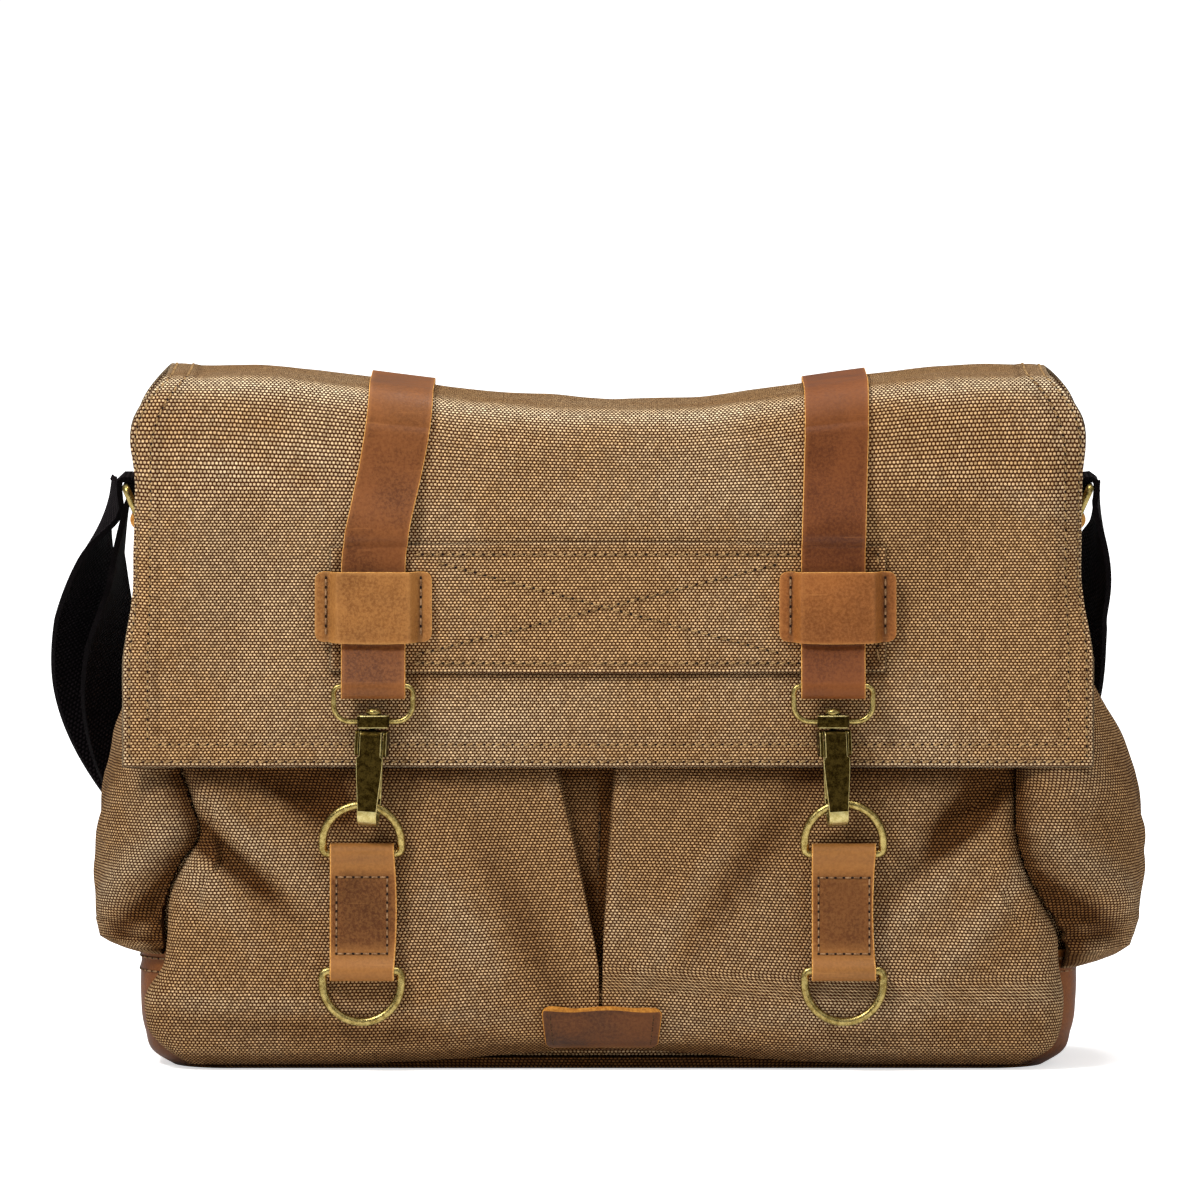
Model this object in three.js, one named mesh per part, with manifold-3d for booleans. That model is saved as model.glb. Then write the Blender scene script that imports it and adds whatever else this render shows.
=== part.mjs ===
// Canvas messenger bag: a hollow canvas body in a leather base, a pleated front pocket, two side
// pockets, a flap closed by two leather straps on snap hooks, and a webbing shoulder strap.
// Millimetres. The front faces -Y, +X is to the right seen from the front, +Z is up, and the
// origin is on the floor under the middle of the base.

import * as THREE from 'three';
import { mergeVertices } from 'three/addons/utils/BufferGeometryUtils.js';
import Module from 'manifold-3d';

const wasm = await Module();
wasm.setup();

// Sizes of the bag
const BASE_WIDTH = 367;
const BASE_DEPTH = 104;
const BASE_CORNER = 22;
const BASE_SIDE_HEIGHT = 46;
const BASE_FRONT_HEIGHT = 3;
const BASE_FRONT_CUT_WIDTH = 330;
const BODY_HEIGHT = 250;
const CANVAS_WALL = 2;
const LEATHER_WALL = 2.2;
const SEAM_GAP = 0.35;

// Sizes of the flap
const FLAP_WIDTH = 379;
const FLAP_TOP_HEIGHT = 259;
const FLAP_HEM_HEIGHT = 119;
const FLAP_BACK_DROP = 32;
const FLAP_WALL = 2.4;
const FLAP_FRONT_RADIUS = 14;
const FLAP_BACK_RADIUS = 11;
const FLAP_FRONT_LEAN = 10;
const FLAP_CORNER_LIFT = 12;
const FLAP_TOP_NARROWING = 16.5;
const FLAP_BULGE = 2;
const FLAP_SAG = 1.6;
const FLAP_SAG_PLACE = 0.16;
const FLAP_SAG_SPREAD = 0.22;
const FLAP_LIFT_DROP = 42;
const FLAP_LIFT_END = 4;
const FLAP_NARROWING_DROP = 44;
const HEM_WAVE = 0.9;
const HEM_WAVE_TURN = 7.3;
const HEM_WAVE_START = 0.6;
const RIM_LIFT_SHARE = 0.9;

// Sizes of the pockets
const POCKET_HEIGHT = 138;
const POCKET_WIDTH = 360;
const POCKET_BULGE = 16;
const POCKET_CORNER = 13;
const POCKET_FOOT_RISE = 6;
const PLEAT_MOUTH = 31;
const PLEAT_DEPTH = 9;
const PLEAT_FOOT_HEIGHT = 27;
const PLEAT_LINE = -2.4;
const PLEAT_LEFT_SHARE = 0.76;
const PLEAT_SLIT = 1.8;
const PLEAT_TAPER = 1.15;
const POCKET_CROWN = 0.22;
const POCKET_FOOT_SPREAD = 62;
const POCKET_EDGE_INSET = 3.2;
const POCKET_EDGE_DEPTH = 1;
const POCKET_CORNER_SHARE = 0.9;
const POCKET_CORNER_ANGLES = [0, 30, 60];
const SIDE_POCKET_HEIGHT = 166;
const SIDE_POCKET_SPAN = 84;
const SIDE_POCKET_BULGE = 24;
const SIDE_POCKET_CREASE = 0.14;
const SIDE_POCKET_EASE = 0.9;

// Sizes of the closing straps and their keepers
const CLOSURE_SPACING = 183;
const STRAP_WIDTH = 25;
const STRAP_BACK_END = 22;
const STRAP_RETURN_HEIGHT = 178;
const STRAP_RETURN_LAY = 5;
const STRAP_RETURN_FOOT = 12;
const STRAP_RETURN_RISE = 3.5;
const STRAP_PATCH_CLEAR = 3;
const STRAP_SETTLE_ROWS = [0, 0.2, 0.45, 0.8, 1];
const STRAP_SETTLE_START = 0.33;
const STRAP_LAY = 0.1;
const KEEPER_WIDTH = 45.6;
const KEEPER_HEIGHT = 27;
const KEEPER_MIDDLE_HEIGHT = 182;
const KEEPER_RAISED_WIDTH = 33;
const KEEPER_STEP = 0.02;
const PATCH_WIDTH = 217;
const PATCH_HEIGHT = 49;
const PATCH_MIDDLE_HEIGHT = 181;
const PATCH_WALL = 1.6;

// Sizes of the metal
const EYE_WIRE = 2.2;
const EYE_WIDTH = 33;
const EYE_HEIGHT = 16;
const EYE_CORNER = 6.4;
const EYE_PLAY = 0.2;
const BLOCK_WIDTH = 12.5;
const BLOCK_DEPTH = 7;
const BLOCK_HEIGHT = 5.2;
const BLOCK_CORNER = 2.4;
const BLOCK_FOOT_HEIGHT = 135;
const POST_DIAMETER = 2.8;
const POST_CLEARANCE = 0.4;
const RIVET_DIAMETER = 6.2;
const RIVET_HEIGHT = 1.6;
const HOOK_STAND_OFF = 2.6;
const HOOK_HEAD_GAP = 0.9;
const HOOK_LENGTH = 38.3;
const HOOK_PLATE = 1.6;
const HOOK_MOUTH = 6;
const HOOK_WIDTH = 10.6;
const HOOK_TIP_WIDTH = 7.6;
const HOOK_NOSE_HEIGHT = 12;
const HOOK_EAR_HEIGHT = 10;
const HOOK_EAR_WALL = 1.4;
const HOOK_EAR_LAP = 0.3;
const PIN_DROP = 6.2;
const PIN_DEPTH = 1.6;
const PIN_DIAMETER = 1.8;
const PIN_CLEARANCE = 0.35;
const LEVER_WALL = 1;
const LEVER_WIDTH = 8.6;
const LEVER_KNUCKLE = 1;
const LEVER_END_LAP = 1.4;
const RING_WIRE = 3.4;
const RING_WIDTH = 34;
const RING_HEIGHT = 23.4;
const RING_CORNER = 2.2;
const RING_DROP = 11.1;
const TAB_LENGTH = 45.3;
const TAB_WIDTH = 25;

// Sizes of the label and the shoulder strap
const LABEL_WIDTH = 47;
const LABEL_HEIGHT = 15.5;
const LABEL_FOOT_HEIGHT = 8.6;
const LABEL_WALL = 1.6;
const LABEL_STAND_OFF = 1;
const LABEL_SHIFT = -2.4;
const WEBBING_WIDTH = 38;
const WEBBING_WALL = 2.2;
const WEBBING_PLAY = 0.7;
const WEBBING_LIE = 0.9;
const SIDE_RING_WIRE = 3.2;
const SIDE_RING_WIDTH = 48;
const SIDE_RING_CORNER = 2;
const SIDE_RING_HEIGHT = 17;
const SIDE_RING_FOOT_HEIGHT = 212;
const SIDE_RING_STAND_OFF = 5.5;
const CHAPE_WIDTH = 36;
const CHAPE_HEIGHT = 24;
const SLIDER_WIDTH = 46;
const SLIDER_LENGTH = 22;
const SLIDER_RAIL = 3.4;
const SLIDER_WALL = 2.4;
const SLIDER_CORNER = 3;

const HALF_WIDTH = BASE_WIDTH / 2;
const HALF_DEPTH = BASE_DEPTH / 2;
const BASE_STEP = LEATHER_WALL + SEAM_GAP;
const UPPER_BAR_HEIGHT = BLOCK_FOOT_HEIGHT - HOOK_LENGTH - RING_DROP;
const LOWER_BAR_HEIGHT = UPPER_BAR_HEIGHT - TAB_LENGTH;

// How the body narrows and leans with height, as shares of the body's height and of the base's
// half width and half depth.
const BODY_SECTIONS = [
  { height: 0, width: 0.93, front: 0.95, back: 0.94 },
  { height: 0.016, width: 0.965, front: 0.98, back: 0.97 },
  { height: 0.056, width: 0.988, front: 1, back: 0.99 },
  { height: 0.108, width: 1, front: 1, back: 1 },
  { height: 0.184, width: 1, front: 1, back: 1 },
  { height: 0.34, width: 1.006, front: 0.98, back: 1.03 },
  { height: 0.48, width: 1.006, front: 0.955, back: 1.035 },
  { height: 0.64, width: 1, front: 0.93, back: 1.02 },
  { height: 0.8, width: 0.985, front: 0.9, back: 0.99 },
  { height: 0.92, width: 0.955, front: 0.85, back: 0.95 },
  { height: 1, width: 0.925, front: 0.76, back: 0.91 },
];

// The front pocket from its mouth to its foot: height as a share of the pocket's height, bulge as
// a share of its bulge, and the outline to each side as shares of its half width.
const POCKET_SECTIONS = [
  { height: 1, bulge: 0.12, left: 0.935, right: 0.885 },
  { height: 0.855, bulge: 0.2, left: 0.925, right: 0.885 },
  { height: 0.76, bulge: 0.28, left: 0.905, right: 0.885 },
  { height: 0.667, bulge: 0.38, left: 0.89, right: 0.888 },
  { height: 0.594, bulge: 0.47, left: 0.92, right: 0.9 },
  { height: 0.478, bulge: 0.66, left: 0.952, right: 0.935 },
  { height: 0.377, bulge: 0.82, left: 0.957, right: 0.975 },
  { height: 0.297, bulge: 0.93, left: 0.965, right: 0.98 },
  { height: 0.203, bulge: 1, left: 1.005, right: 0.99 },
  { height: 0.155, bulge: 0.97, left: 1.005, right: 0.99 },
  { height: 0.11, bulge: 0.9, left: 1, right: 0.985 },
  { height: 0.045, bulge: 0.58, left: 0.95, right: 0.95 },
  { height: 0.014, bulge: 0.16, left: 0.91, right: 0.9 },
];

// Soft ridges (positive) and hollows (negative) of the pocket's front, as shares of the pocket's
// half width, its height and its bulge. The turn is the ridge's slope from the horizontal.
const POCKET_FOLDS = [
  { across: -0.84, height: 0.5, rise: 0.13, long: 0.3, broad: 0.06, turn: -48 },
  { across: -0.62, height: 0.66, rise: -0.16, long: 0.28, broad: 0.075, turn: -42 },
  { across: -0.36, height: 0.62, rise: 0.12, long: 0.34, broad: 0.08, turn: -52 },
  { across: 0.34, height: 0.5, rise: 0.13, long: 0.36, broad: 0.08, turn: 48 },
  { across: 0.72, height: 0.68, rise: -0.15, long: 0.24, broad: 0.07, turn: 40 },
  { across: 0.82, height: 0.42, rise: 0.12, long: 0.3, broad: 0.06, turn: 44 },
  { across: 0, height: 0.13, rise: -0.1, long: 1.2, broad: 0.05, turn: 0 },
];

// The side pockets from the mouth to the rolled foot, as shares of their height and bulge.
const SIDE_POCKET_SECTIONS = {
  left: [
    { height: 1, bulge: 0.1 },
    { height: 0.89, bulge: 0.22 },
    { height: 0.78, bulge: 0.48 },
    { height: 0.66, bulge: 0.63 },
    { height: 0.54, bulge: 0.72 },
    { height: 0.45, bulge: 0.71 },
    { height: 0.37, bulge: 0.66 },
    { height: 0.3, bulge: 0.52 },
    { height: 0.265, bulge: 0.3 },
    { height: 0.25, bulge: 0.06 },
  ],
  right: [
    { height: 1, bulge: 0.12 },
    { height: 0.89, bulge: 0.3 },
    { height: 0.78, bulge: 0.68 },
    { height: 0.66, bulge: 0.98 },
    { height: 0.54, bulge: 1.08 },
    { height: 0.45, bulge: 1.04 },
    { height: 0.36, bulge: 0.98 },
    { height: 0.28, bulge: 0.84 },
    { height: 0.235, bulge: 0.5 },
    { height: 0.215, bulge: 0.06 },
  ],
};

// What differs between the two closures: shifts in millimetres and leans in degrees.
const CLOSURES = [
  { side: 'left', sign: -1, topShift: 10.5, eyeShift: 0, ringShift: -4.5, lean: -3, twist: -9 },
  { side: 'right', sign: 1, topShift: -2, eyeShift: -3.7, ringShift: 0.5, lean: 2.5, twist: 9 },
];

// The shoulder strap's middle line, from the slider up to the left ring and back past the slider to
// the right ring. across, depth and height are shares of the base's half width, of its half depth
// and of the height of the side rings' outer bars. facing turns the webbing's face from the front
// (0) to the left (90) or to the right (-90).
const STRAP_RUN = [
  { across: -0.49, depth: 1.1, height: 0.219, facing: 0 },
  { across: -0.66, depth: 1.105, height: 0.271, facing: 0 },
  { across: -0.86, depth: 1.1, height: 0.369, facing: -6 },
  { across: -1.0, depth: 1.03, height: 0.484, facing: -30 },
  { across: -1.065, depth: 0.82, height: 0.611, facing: -48 },
  { across: -1.075, depth: 0.62, height: 0.738, facing: -62 },
  { across: -1.06, depth: 0.42, height: 0.853, facing: -84 },
];
const STRAP_RUN_BACK = [
  { across: -1.105, depth: 0.52, height: 0.9, facing: -74 },
  { across: -1.125, depth: 0.74, height: 0.784, facing: -50 },
  { across: -1.115, depth: 0.96, height: 0.646, facing: -38 },
  { across: -1.03, depth: 1.14, height: 0.507, facing: -24 },
  { across: -0.87, depth: 1.205, height: 0.369, facing: -4 },
  { across: -0.66, depth: 1.2, height: 0.26, facing: 0 },
  { across: -0.42, depth: 1.2, height: 0.202, facing: 0 },
  { across: 0, depth: 1.2, height: 0.173, facing: 0 },
  { across: 0.42, depth: 1.2, height: 0.208, facing: 0 },
  { across: 0.72, depth: 1.19, height: 0.311, facing: 4 },
  { across: 0.9, depth: 1.14, height: 0.461, facing: 22 },
  { across: 0.985, depth: 1.0, height: 0.634, facing: 40 },
  { across: 1.02, depth: 0.78, height: 0.784, facing: 55 },
  { across: 1.06, depth: 0.5, height: 0.888, facing: 80 },
];

const CANVAS = { color: 0x8c7250, roughness: 0.95, metalness: 0 };
const LEATHER = { color: 0x96602f, roughness: 0.6, metalness: 0 };
const LABEL_LEATHER = { color: 0x6b4524, roughness: 0.65, metalness: 0 };
const WEBBING = { color: 0x1c1614, roughness: 0.9, metalness: 0 };
const BRASS = { color: 0x7a6a35, roughness: 0.4, metalness: 1 };

const vec = (x, y, z) => new THREE.Vector3(x, y, z);
const radians = THREE.MathUtils.degToRad;
const smooth = (value, from, to) => THREE.MathUtils.smoothstep(value, from, to);
const bell = (value, width) => Math.exp(-((value / width) ** 2));

function namedMesh(name, geometry, finish) {
  const mesh = new THREE.Mesh(geometry, new THREE.MeshStandardMaterial(finish));
  mesh.name = name;
  return mesh;
}

// A value of a table of sections at a share of the height, between its two nearest rows.
function sectionValue(sections, share, column) {
  const rows = [...sections].sort((a, b) => a.height - b.height);
  const upper = rows.findIndex((row) => row.height >= share);
  if (upper === 0) {
    return rows[0][column];
  }
  if (upper < 0) {
    return rows[rows.length - 1][column];
  }
  const below = rows[upper - 1];
  const above = rows[upper];
  const t = (share - below.height) / (above.height - below.height);
  return THREE.MathUtils.lerp(below[column], above[column], t);
}

// A closed body from its triangles, turned the right way out.
function closedGeometry(points, triangles) {
  let volume = 0;
  const cross = vec(0, 0, 0);
  for (const [a, b, c] of triangles) {
    volume += points[a].dot(cross.crossVectors(points[b], points[c]));
  }
  const index = triangles.flatMap(([a, b, c]) => (volume > 0 ? [a, b, c] : [a, c, b]));
  const geometry = new THREE.BufferGeometry().setFromPoints(points);
  geometry.setIndex(index);
  geometry.computeVertexNormals();
  return geometry;
}

// A wall between two grids of points with as many rows and columns each. A ring wall closes on
// itself along the columns, and a vessel also has a floor across its first row.
function wallGeometry(outer, inner, { ring = false, vessel = false } = {}) {
  const rows = outer.length;
  const columns = outer[0].length;
  const points = [...outer.flat(), ...inner.flat()];
  const at = (layer, row, column) => layer * rows * columns + row * columns + (column % columns);
  const triangles = [];
  const quad = (a, b, c, d) => triangles.push([a, b, c], [a, c, d]);
  const steps = ring ? columns : columns - 1;
  for (let row = 0; row < rows - 1; row += 1) {
    for (let column = 0; column < steps; column += 1) {
      const next = column + 1;
      quad(at(0, row, column), at(0, row, next), at(0, row + 1, next), at(0, row + 1, column));
      quad(at(1, row, column), at(1, row + 1, column), at(1, row + 1, next), at(1, row, next));
    }
    if (!ring) {
      const last = columns - 1;
      quad(at(0, row, 0), at(0, row + 1, 0), at(1, row + 1, 0), at(1, row, 0));
      quad(at(0, row, last), at(1, row, last), at(1, row + 1, last), at(0, row + 1, last));
    }
  }
  for (let column = 0; column < steps; column += 1) {
    const next = column + 1;
    const top = rows - 1;
    quad(at(0, top, column), at(0, top, next), at(1, top, next), at(1, top, column));
    if (!vessel) {
      quad(at(0, 0, column), at(1, 0, column), at(1, 0, next), at(0, 0, next));
    }
  }
  if (vessel) {
    [outer, inner].forEach((grid, layer) => {
      const middle = points.length;
      const centre = vec(0, 0, 0);
      grid[0].forEach((point) => centre.add(point));
      points.push(centre.divideScalar(columns));
      for (let column = 0; column < steps; column += 1) {
        const pair = [at(layer, 0, column), at(layer, 0, column + 1)];
        triangles.push(layer === 0 ? [middle, pair[1], pair[0]] : [middle, pair[0], pair[1]]);
      }
    });
  }
  return closedGeometry(points, triangles);
}

// The grid moved along its own surface normals. The last row's middle faces along facing.
function offsetGrid(grid, distance, facing) {
  const rows = grid.length;
  const columns = grid[0].length;
  const normalAt = (row, column) => {
    const down = grid[Math.min(row + 1, rows - 1)][column].clone();
    down.sub(grid[Math.max(row - 1, 0)][column]);
    const along = grid[row][Math.min(column + 1, columns - 1)].clone();
    along.sub(grid[row][Math.max(column - 1, 0)]);
    return down.cross(along).normalize();
  };
  const middle = normalAt(rows - 1, Math.floor(columns / 2));
  const sign = middle.dot(facing) > 0 ? 1 : -1;
  return grid.map((line, row) => line.map((point, column) => {
    const reach = typeof distance === 'function' ? distance(row, column) : distance;
    return point.clone().addScaledVector(normalAt(row, column), sign * reach);
  }));
}

const FRONT = vec(0, -1, 0);

function toManifold(geometry) {
  const bare = geometry.clone();
  for (const name of Object.keys(bare.attributes)) {
    if (name !== 'position') {
      bare.deleteAttribute(name);
    }
  }
  const merged = mergeVertices(bare, 1e-4);
  const mesh = new wasm.Mesh({
    numProp: 3,
    vertProperties: new Float32Array(merged.attributes.position.array),
    triVerts: new Uint32Array(merged.index.array),
  });
  return new wasm.Manifold(mesh);
}

function toGeometry(solid) {
  const mesh = solid.getMesh();
  const geometry = new THREE.BufferGeometry();
  geometry.setAttribute('position', new THREE.BufferAttribute(mesh.vertProperties, 3));
  geometry.setIndex(new THREE.BufferAttribute(mesh.triVerts, 1));
  geometry.computeVertexNormals();
  return geometry;
}

const joined = (geometries) => geometries.map(toManifold).reduce((a, b) => a.add(b));

function boxAt(width, depth, height, x, y, z) {
  return new THREE.BoxGeometry(width, depth, height).translate(x, y, z);
}

function uprightCylinder(diameter, height, sides, z) {
  const rod = new THREE.CylinderGeometry(diameter / 2, diameter / 2, height, sides);
  return rod.rotateX(Math.PI / 2).translate(0, 0, z);
}

function rodAcross(diameter, length, sides) {
  const rod = new THREE.CylinderGeometry(diameter / 2, diameter / 2, length, sides);
  return rod.rotateZ(Math.PI / 2);
}

// A wire bent into the closed outline of a flat shape in the x-z plane.
function wireLoop(shape, wire, steps, sides) {
  const points = shape.getSpacedPoints(steps).slice(0, steps);
  const curve = new THREE.CatmullRomCurve3(points.map((p) => vec(p.x, 0, p.y)), true);
  const tube = new THREE.TubeGeometry(curve, steps, wire / 2, sides, true);
  tube.deleteAttribute('normal');
  tube.deleteAttribute('uv');
  const geometry = mergeVertices(tube, 1e-3);
  geometry.computeVertexNormals();
  return geometry;
}

const outerHalfWidth = (z) => (
  HALF_WIDTH * sectionValue(BODY_SECTIONS, z / BODY_HEIGHT, 'width')
);
const outerFront = (z) => HALF_DEPTH * sectionValue(BODY_SECTIONS, z / BODY_HEIGHT, 'front');
const outerBack = (z) => HALF_DEPTH * sectionValue(BODY_SECTIONS, z / BODY_HEIGHT, 'back');

// How far the bag's outside at this height lies inside the base's outside.
const outsideStep = (z) => (z > BASE_SIDE_HEIGHT + 2 * POCKET_FOOT_RISE ? BASE_STEP : 0);

// The rounded rectangle that the bag's outside has at a height, moved inwards by inset.
function sectionLoop(profileHeight, inset, z) {
  const halfWidth = outerHalfWidth(profileHeight) - inset;
  const front = outerFront(profileHeight) - inset;
  const back = outerBack(profileHeight) - inset;
  const radius = BASE_CORNER - inset;
  const loop = [];
  const line = (x0, y0, x1, y1, steps) => {
    for (let i = 0; i < steps; i += 1) {
      const t = i / steps;
      loop.push(vec(x0 + (x1 - x0) * t, y0 + (y1 - y0) * t, z));
    }
  };
  const corner = (x, y, start) => {
    for (let i = 0; i < 3; i += 1) {
      const angle = start + (i * Math.PI) / 6;
      loop.push(vec(x + radius * Math.cos(angle), y + radius * Math.sin(angle), z));
    }
  };
  const left = -halfWidth + radius;
  const right = halfWidth - radius;
  line(left, -front, right, -front, 5);
  corner(right, -front + radius, -Math.PI / 2);
  line(halfWidth, -front + radius, halfWidth, back - radius, 3);
  corner(right, back - radius, 0);
  line(right, back, left, back, 5);
  corner(left, back - radius, Math.PI / 2);
  line(-halfWidth, back - radius, -halfWidth, -front + radius, 3);
  corner(left, -front + radius, Math.PI);
  return loop;
}

// The depth (y) of the bag's front at a place across and a height, round its corners too.
function frontWall(x, z) {
  const step = outsideStep(z);
  const halfWidth = outerHalfWidth(z) - step;
  const radius = BASE_CORNER - step;
  const past = Math.max(Math.abs(x) - halfWidth + radius, 0);
  const reach = Math.min(past / radius, 1);
  return -outerFront(z) + step + radius * (1 - Math.sqrt(1 - reach * reach));
}

function bodyShell() {
  const floor = BASE_STEP;
  const rimLift = (x) => cornerLift(x / (FLAP_WIDTH / 2)) * RIM_LIFT_SHARE;
  const grid = (inset) => BODY_SECTIONS.map((row, index) => {
    const height = row.height * BODY_HEIGHT;
    const last = index === BODY_SECTIONS.length - 1;
    const lowest = index === 0 ? inset - BASE_STEP : 0;
    const z = height + floor + lowest;
    const loop = sectionLoop(height, inset, last ? height : z);
    return last ? loop.map((p) => vec(p.x, p.y, p.z + rimLift(p.x))) : loop;
  });
  return wallGeometry(grid(BASE_STEP), grid(BASE_STEP + CANVAS_WALL), { ring: true, vessel: true });
}

function leatherBase() {
  const rows = BODY_SECTIONS.filter((row) => row.height * BODY_HEIGHT <= BASE_SIDE_HEIGHT);
  const grid = (inset, lift) => rows.map((row) => {
    const height = row.height * BODY_HEIGHT;
    const top = row === rows[rows.length - 1];
    return sectionLoop(height, inset, top ? BASE_SIDE_HEIGHT : height + lift);
  });
  const tray = wallGeometry(grid(0, 0), grid(LEATHER_WALL, LEATHER_WALL), { ring: true, vessel: true });
  const cut = boxAt(
    BASE_FRONT_CUT_WIDTH,
    BASE_DEPTH / 2,
    BASE_SIDE_HEIGHT,
    0,
    -BASE_DEPTH / 2,
    BASE_FRONT_HEIGHT + BASE_SIDE_HEIGHT / 2,
  );
  return toGeometry(toManifold(tray).subtract(toManifold(cut)));
}

// The flap's corners stand higher than its sagging middle.
function cornerLift(across) {
  return FLAP_CORNER_LIFT * smooth(Math.abs(across), 0.05, 0.88);
}

const flapSag = (across) => FLAP_SAG * bell(across - FLAP_SAG_PLACE, FLAP_SAG_SPREAD);

// The flap's outer face in front, at a place across and a height.
function flapFront(x, z) {
  const drop = THREE.MathUtils.clamp(
    (FLAP_TOP_HEIGHT - z) / (FLAP_TOP_HEIGHT - FLAP_HEM_HEIGHT),
    0,
    1,
  );
  const across = x / (FLAP_WIDTH / 2);
  const top = -HALF_DEPTH * 0.975;
  const bulge = FLAP_BULGE * (1 - across * across) * Math.sin(Math.PI * drop);
  const waves = HEM_WAVE * smooth(drop, HEM_WAVE_START, 1)
    * Math.cos(across * HEM_WAVE_TURN + HEM_WAVE_START);
  return top - FLAP_FRONT_LEAN * drop - bulge - waves;
}

// The flap's side profile at its middle, from the edge on the back over the top to the front hem.
function flapProfile() {
  const backHem = FLAP_TOP_HEIGHT - FLAP_BACK_DROP;
  const back = outerBack(backHem) - BASE_STEP + SEAM_GAP + FLAP_WALL;
  const front = flapFront(0, FLAP_TOP_HEIGHT);
  const profile = [];
  const add = (y, z, zone) => profile.push({ y, z, zone });
  const shoulder = FLAP_TOP_HEIGHT - FLAP_BACK_RADIUS;
  for (let i = 0; i < 2; i += 1) {
    add(back, THREE.MathUtils.lerp(backHem, shoulder, i / 2), 'back');
  }
  for (let i = 0; i < 4; i += 1) {
    const angle = (i * Math.PI) / 8;
    const y = back - FLAP_BACK_RADIUS * (1 - Math.cos(angle));
    add(y, shoulder + FLAP_BACK_RADIUS * Math.sin(angle), 'top');
  }
  const topStart = back - FLAP_BACK_RADIUS;
  const topEnd = front + FLAP_FRONT_RADIUS;
  for (let i = 0; i < 4; i += 1) {
    add(THREE.MathUtils.lerp(topStart, topEnd, i / 4), FLAP_TOP_HEIGHT, 'top');
  }
  for (let i = 0; i < 5; i += 1) {
    const angle = (i * Math.PI) / 10;
    const y = topEnd - FLAP_FRONT_RADIUS * Math.sin(angle);
    add(y, FLAP_TOP_HEIGHT - FLAP_FRONT_RADIUS * (1 - Math.cos(angle)), 'top');
  }
  const frontTop = FLAP_TOP_HEIGHT - FLAP_FRONT_RADIUS;
  for (let i = 0; i <= 8; i += 1) {
    add(front, THREE.MathUtils.lerp(frontTop, FLAP_HEM_HEIGHT, i / 8), 'front');
  }
  return profile;
}

const FLAP_PROFILE = flapProfile();

// How much of the corners' lift a height on the profile takes.
const liftShare = (z) => (
  smooth(z, FLAP_TOP_HEIGHT - FLAP_LIFT_DROP, FLAP_TOP_HEIGHT - FLAP_LIFT_END)
);

const flapHalfWidth = (z) => {
  const rise = Math.max(z - FLAP_TOP_HEIGHT + FLAP_NARROWING_DROP, 0)
    / (FLAP_NARROWING_DROP + FLAP_CORNER_LIFT);
  return FLAP_WIDTH / 2 - FLAP_TOP_NARROWING * rise ** 4;
};

function flapPoint(across, row) {
  const share = liftShare(row.z);
  const z = row.z + share * (cornerLift(across) - flapSag(across));
  const x = across * flapHalfWidth(z);
  const y = row.zone === 'front' ? flapFront(x, z) : row.y;
  return vec(x, y, z);
}

// The flap's outer face at a place across in millimetres.
function flapPointAt(x, row) {
  let across = x / (FLAP_WIDTH / 2);
  for (let i = 0; i < 4; i += 1) {
    across = x / flapHalfWidth(flapPoint(across, row).z);
  }
  return flapPoint(across, row);
}

function flap() {
  const columns = 16;
  const outer = FLAP_PROFILE.map((row) => (
    Array.from({ length: columns + 1 }, (_, i) => flapPoint((2 * i) / columns - 1, row))
  ));
  return wallGeometry(outer, offsetGrid(outer, -FLAP_WALL, FRONT));
}

// A band that lies on the flap's front, between two widths and heights, standing off by a
// distance that may vary across.
function flapBand(x0, x1, z0, z1, columns, rows, standOff, wall) {
  const grid = Array.from({ length: rows + 1 }, (_, r) => (
    Array.from({ length: columns.length }, (__, c) => {
      const x = THREE.MathUtils.lerp(x0, x1, columns[c]);
      const z = THREE.MathUtils.lerp(z1, z0, r / rows);
      return vec(x, flapFront(x, z), z);
    })
  ));
  const inner = offsetGrid(grid, (row, column) => standOff(columns[column]), FRONT);
  return wallGeometry(offsetGrid(inner, wall, FRONT), inner);
}

const evenly = (count) => Array.from({ length: count + 1 }, (_, i) => i / count);

function flapPatch() {
  const low = PATCH_MIDDLE_HEIGHT - PATCH_HEIGHT / 2;
  const high = PATCH_MIDDLE_HEIGHT + PATCH_HEIGHT / 2;
  const half = PATCH_WIDTH / 2;
  return flapBand(-half, half, low, high, evenly(12), 4, () => SEAM_GAP, PATCH_WALL);
}

const strapOnPatch = () => 2 * SEAM_GAP + PATCH_WALL;
const eyeBarHeight = BLOCK_FOOT_HEIGHT + BLOCK_HEIGHT / 2 + EYE_HEIGHT - EYE_WIRE;
const hookDepth = 2 * HOOK_PLATE + HOOK_MOUTH;

// The middle plane of the hooks, clear in front of the flap's hem.
const hookPlane = flapFront(0, FLAP_HEM_HEIGHT) - HOOK_STAND_OFF - hookDepth / 2;

const closureX = (closure) => (closure.sign * CLOSURE_SPACING) / 2;

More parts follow.
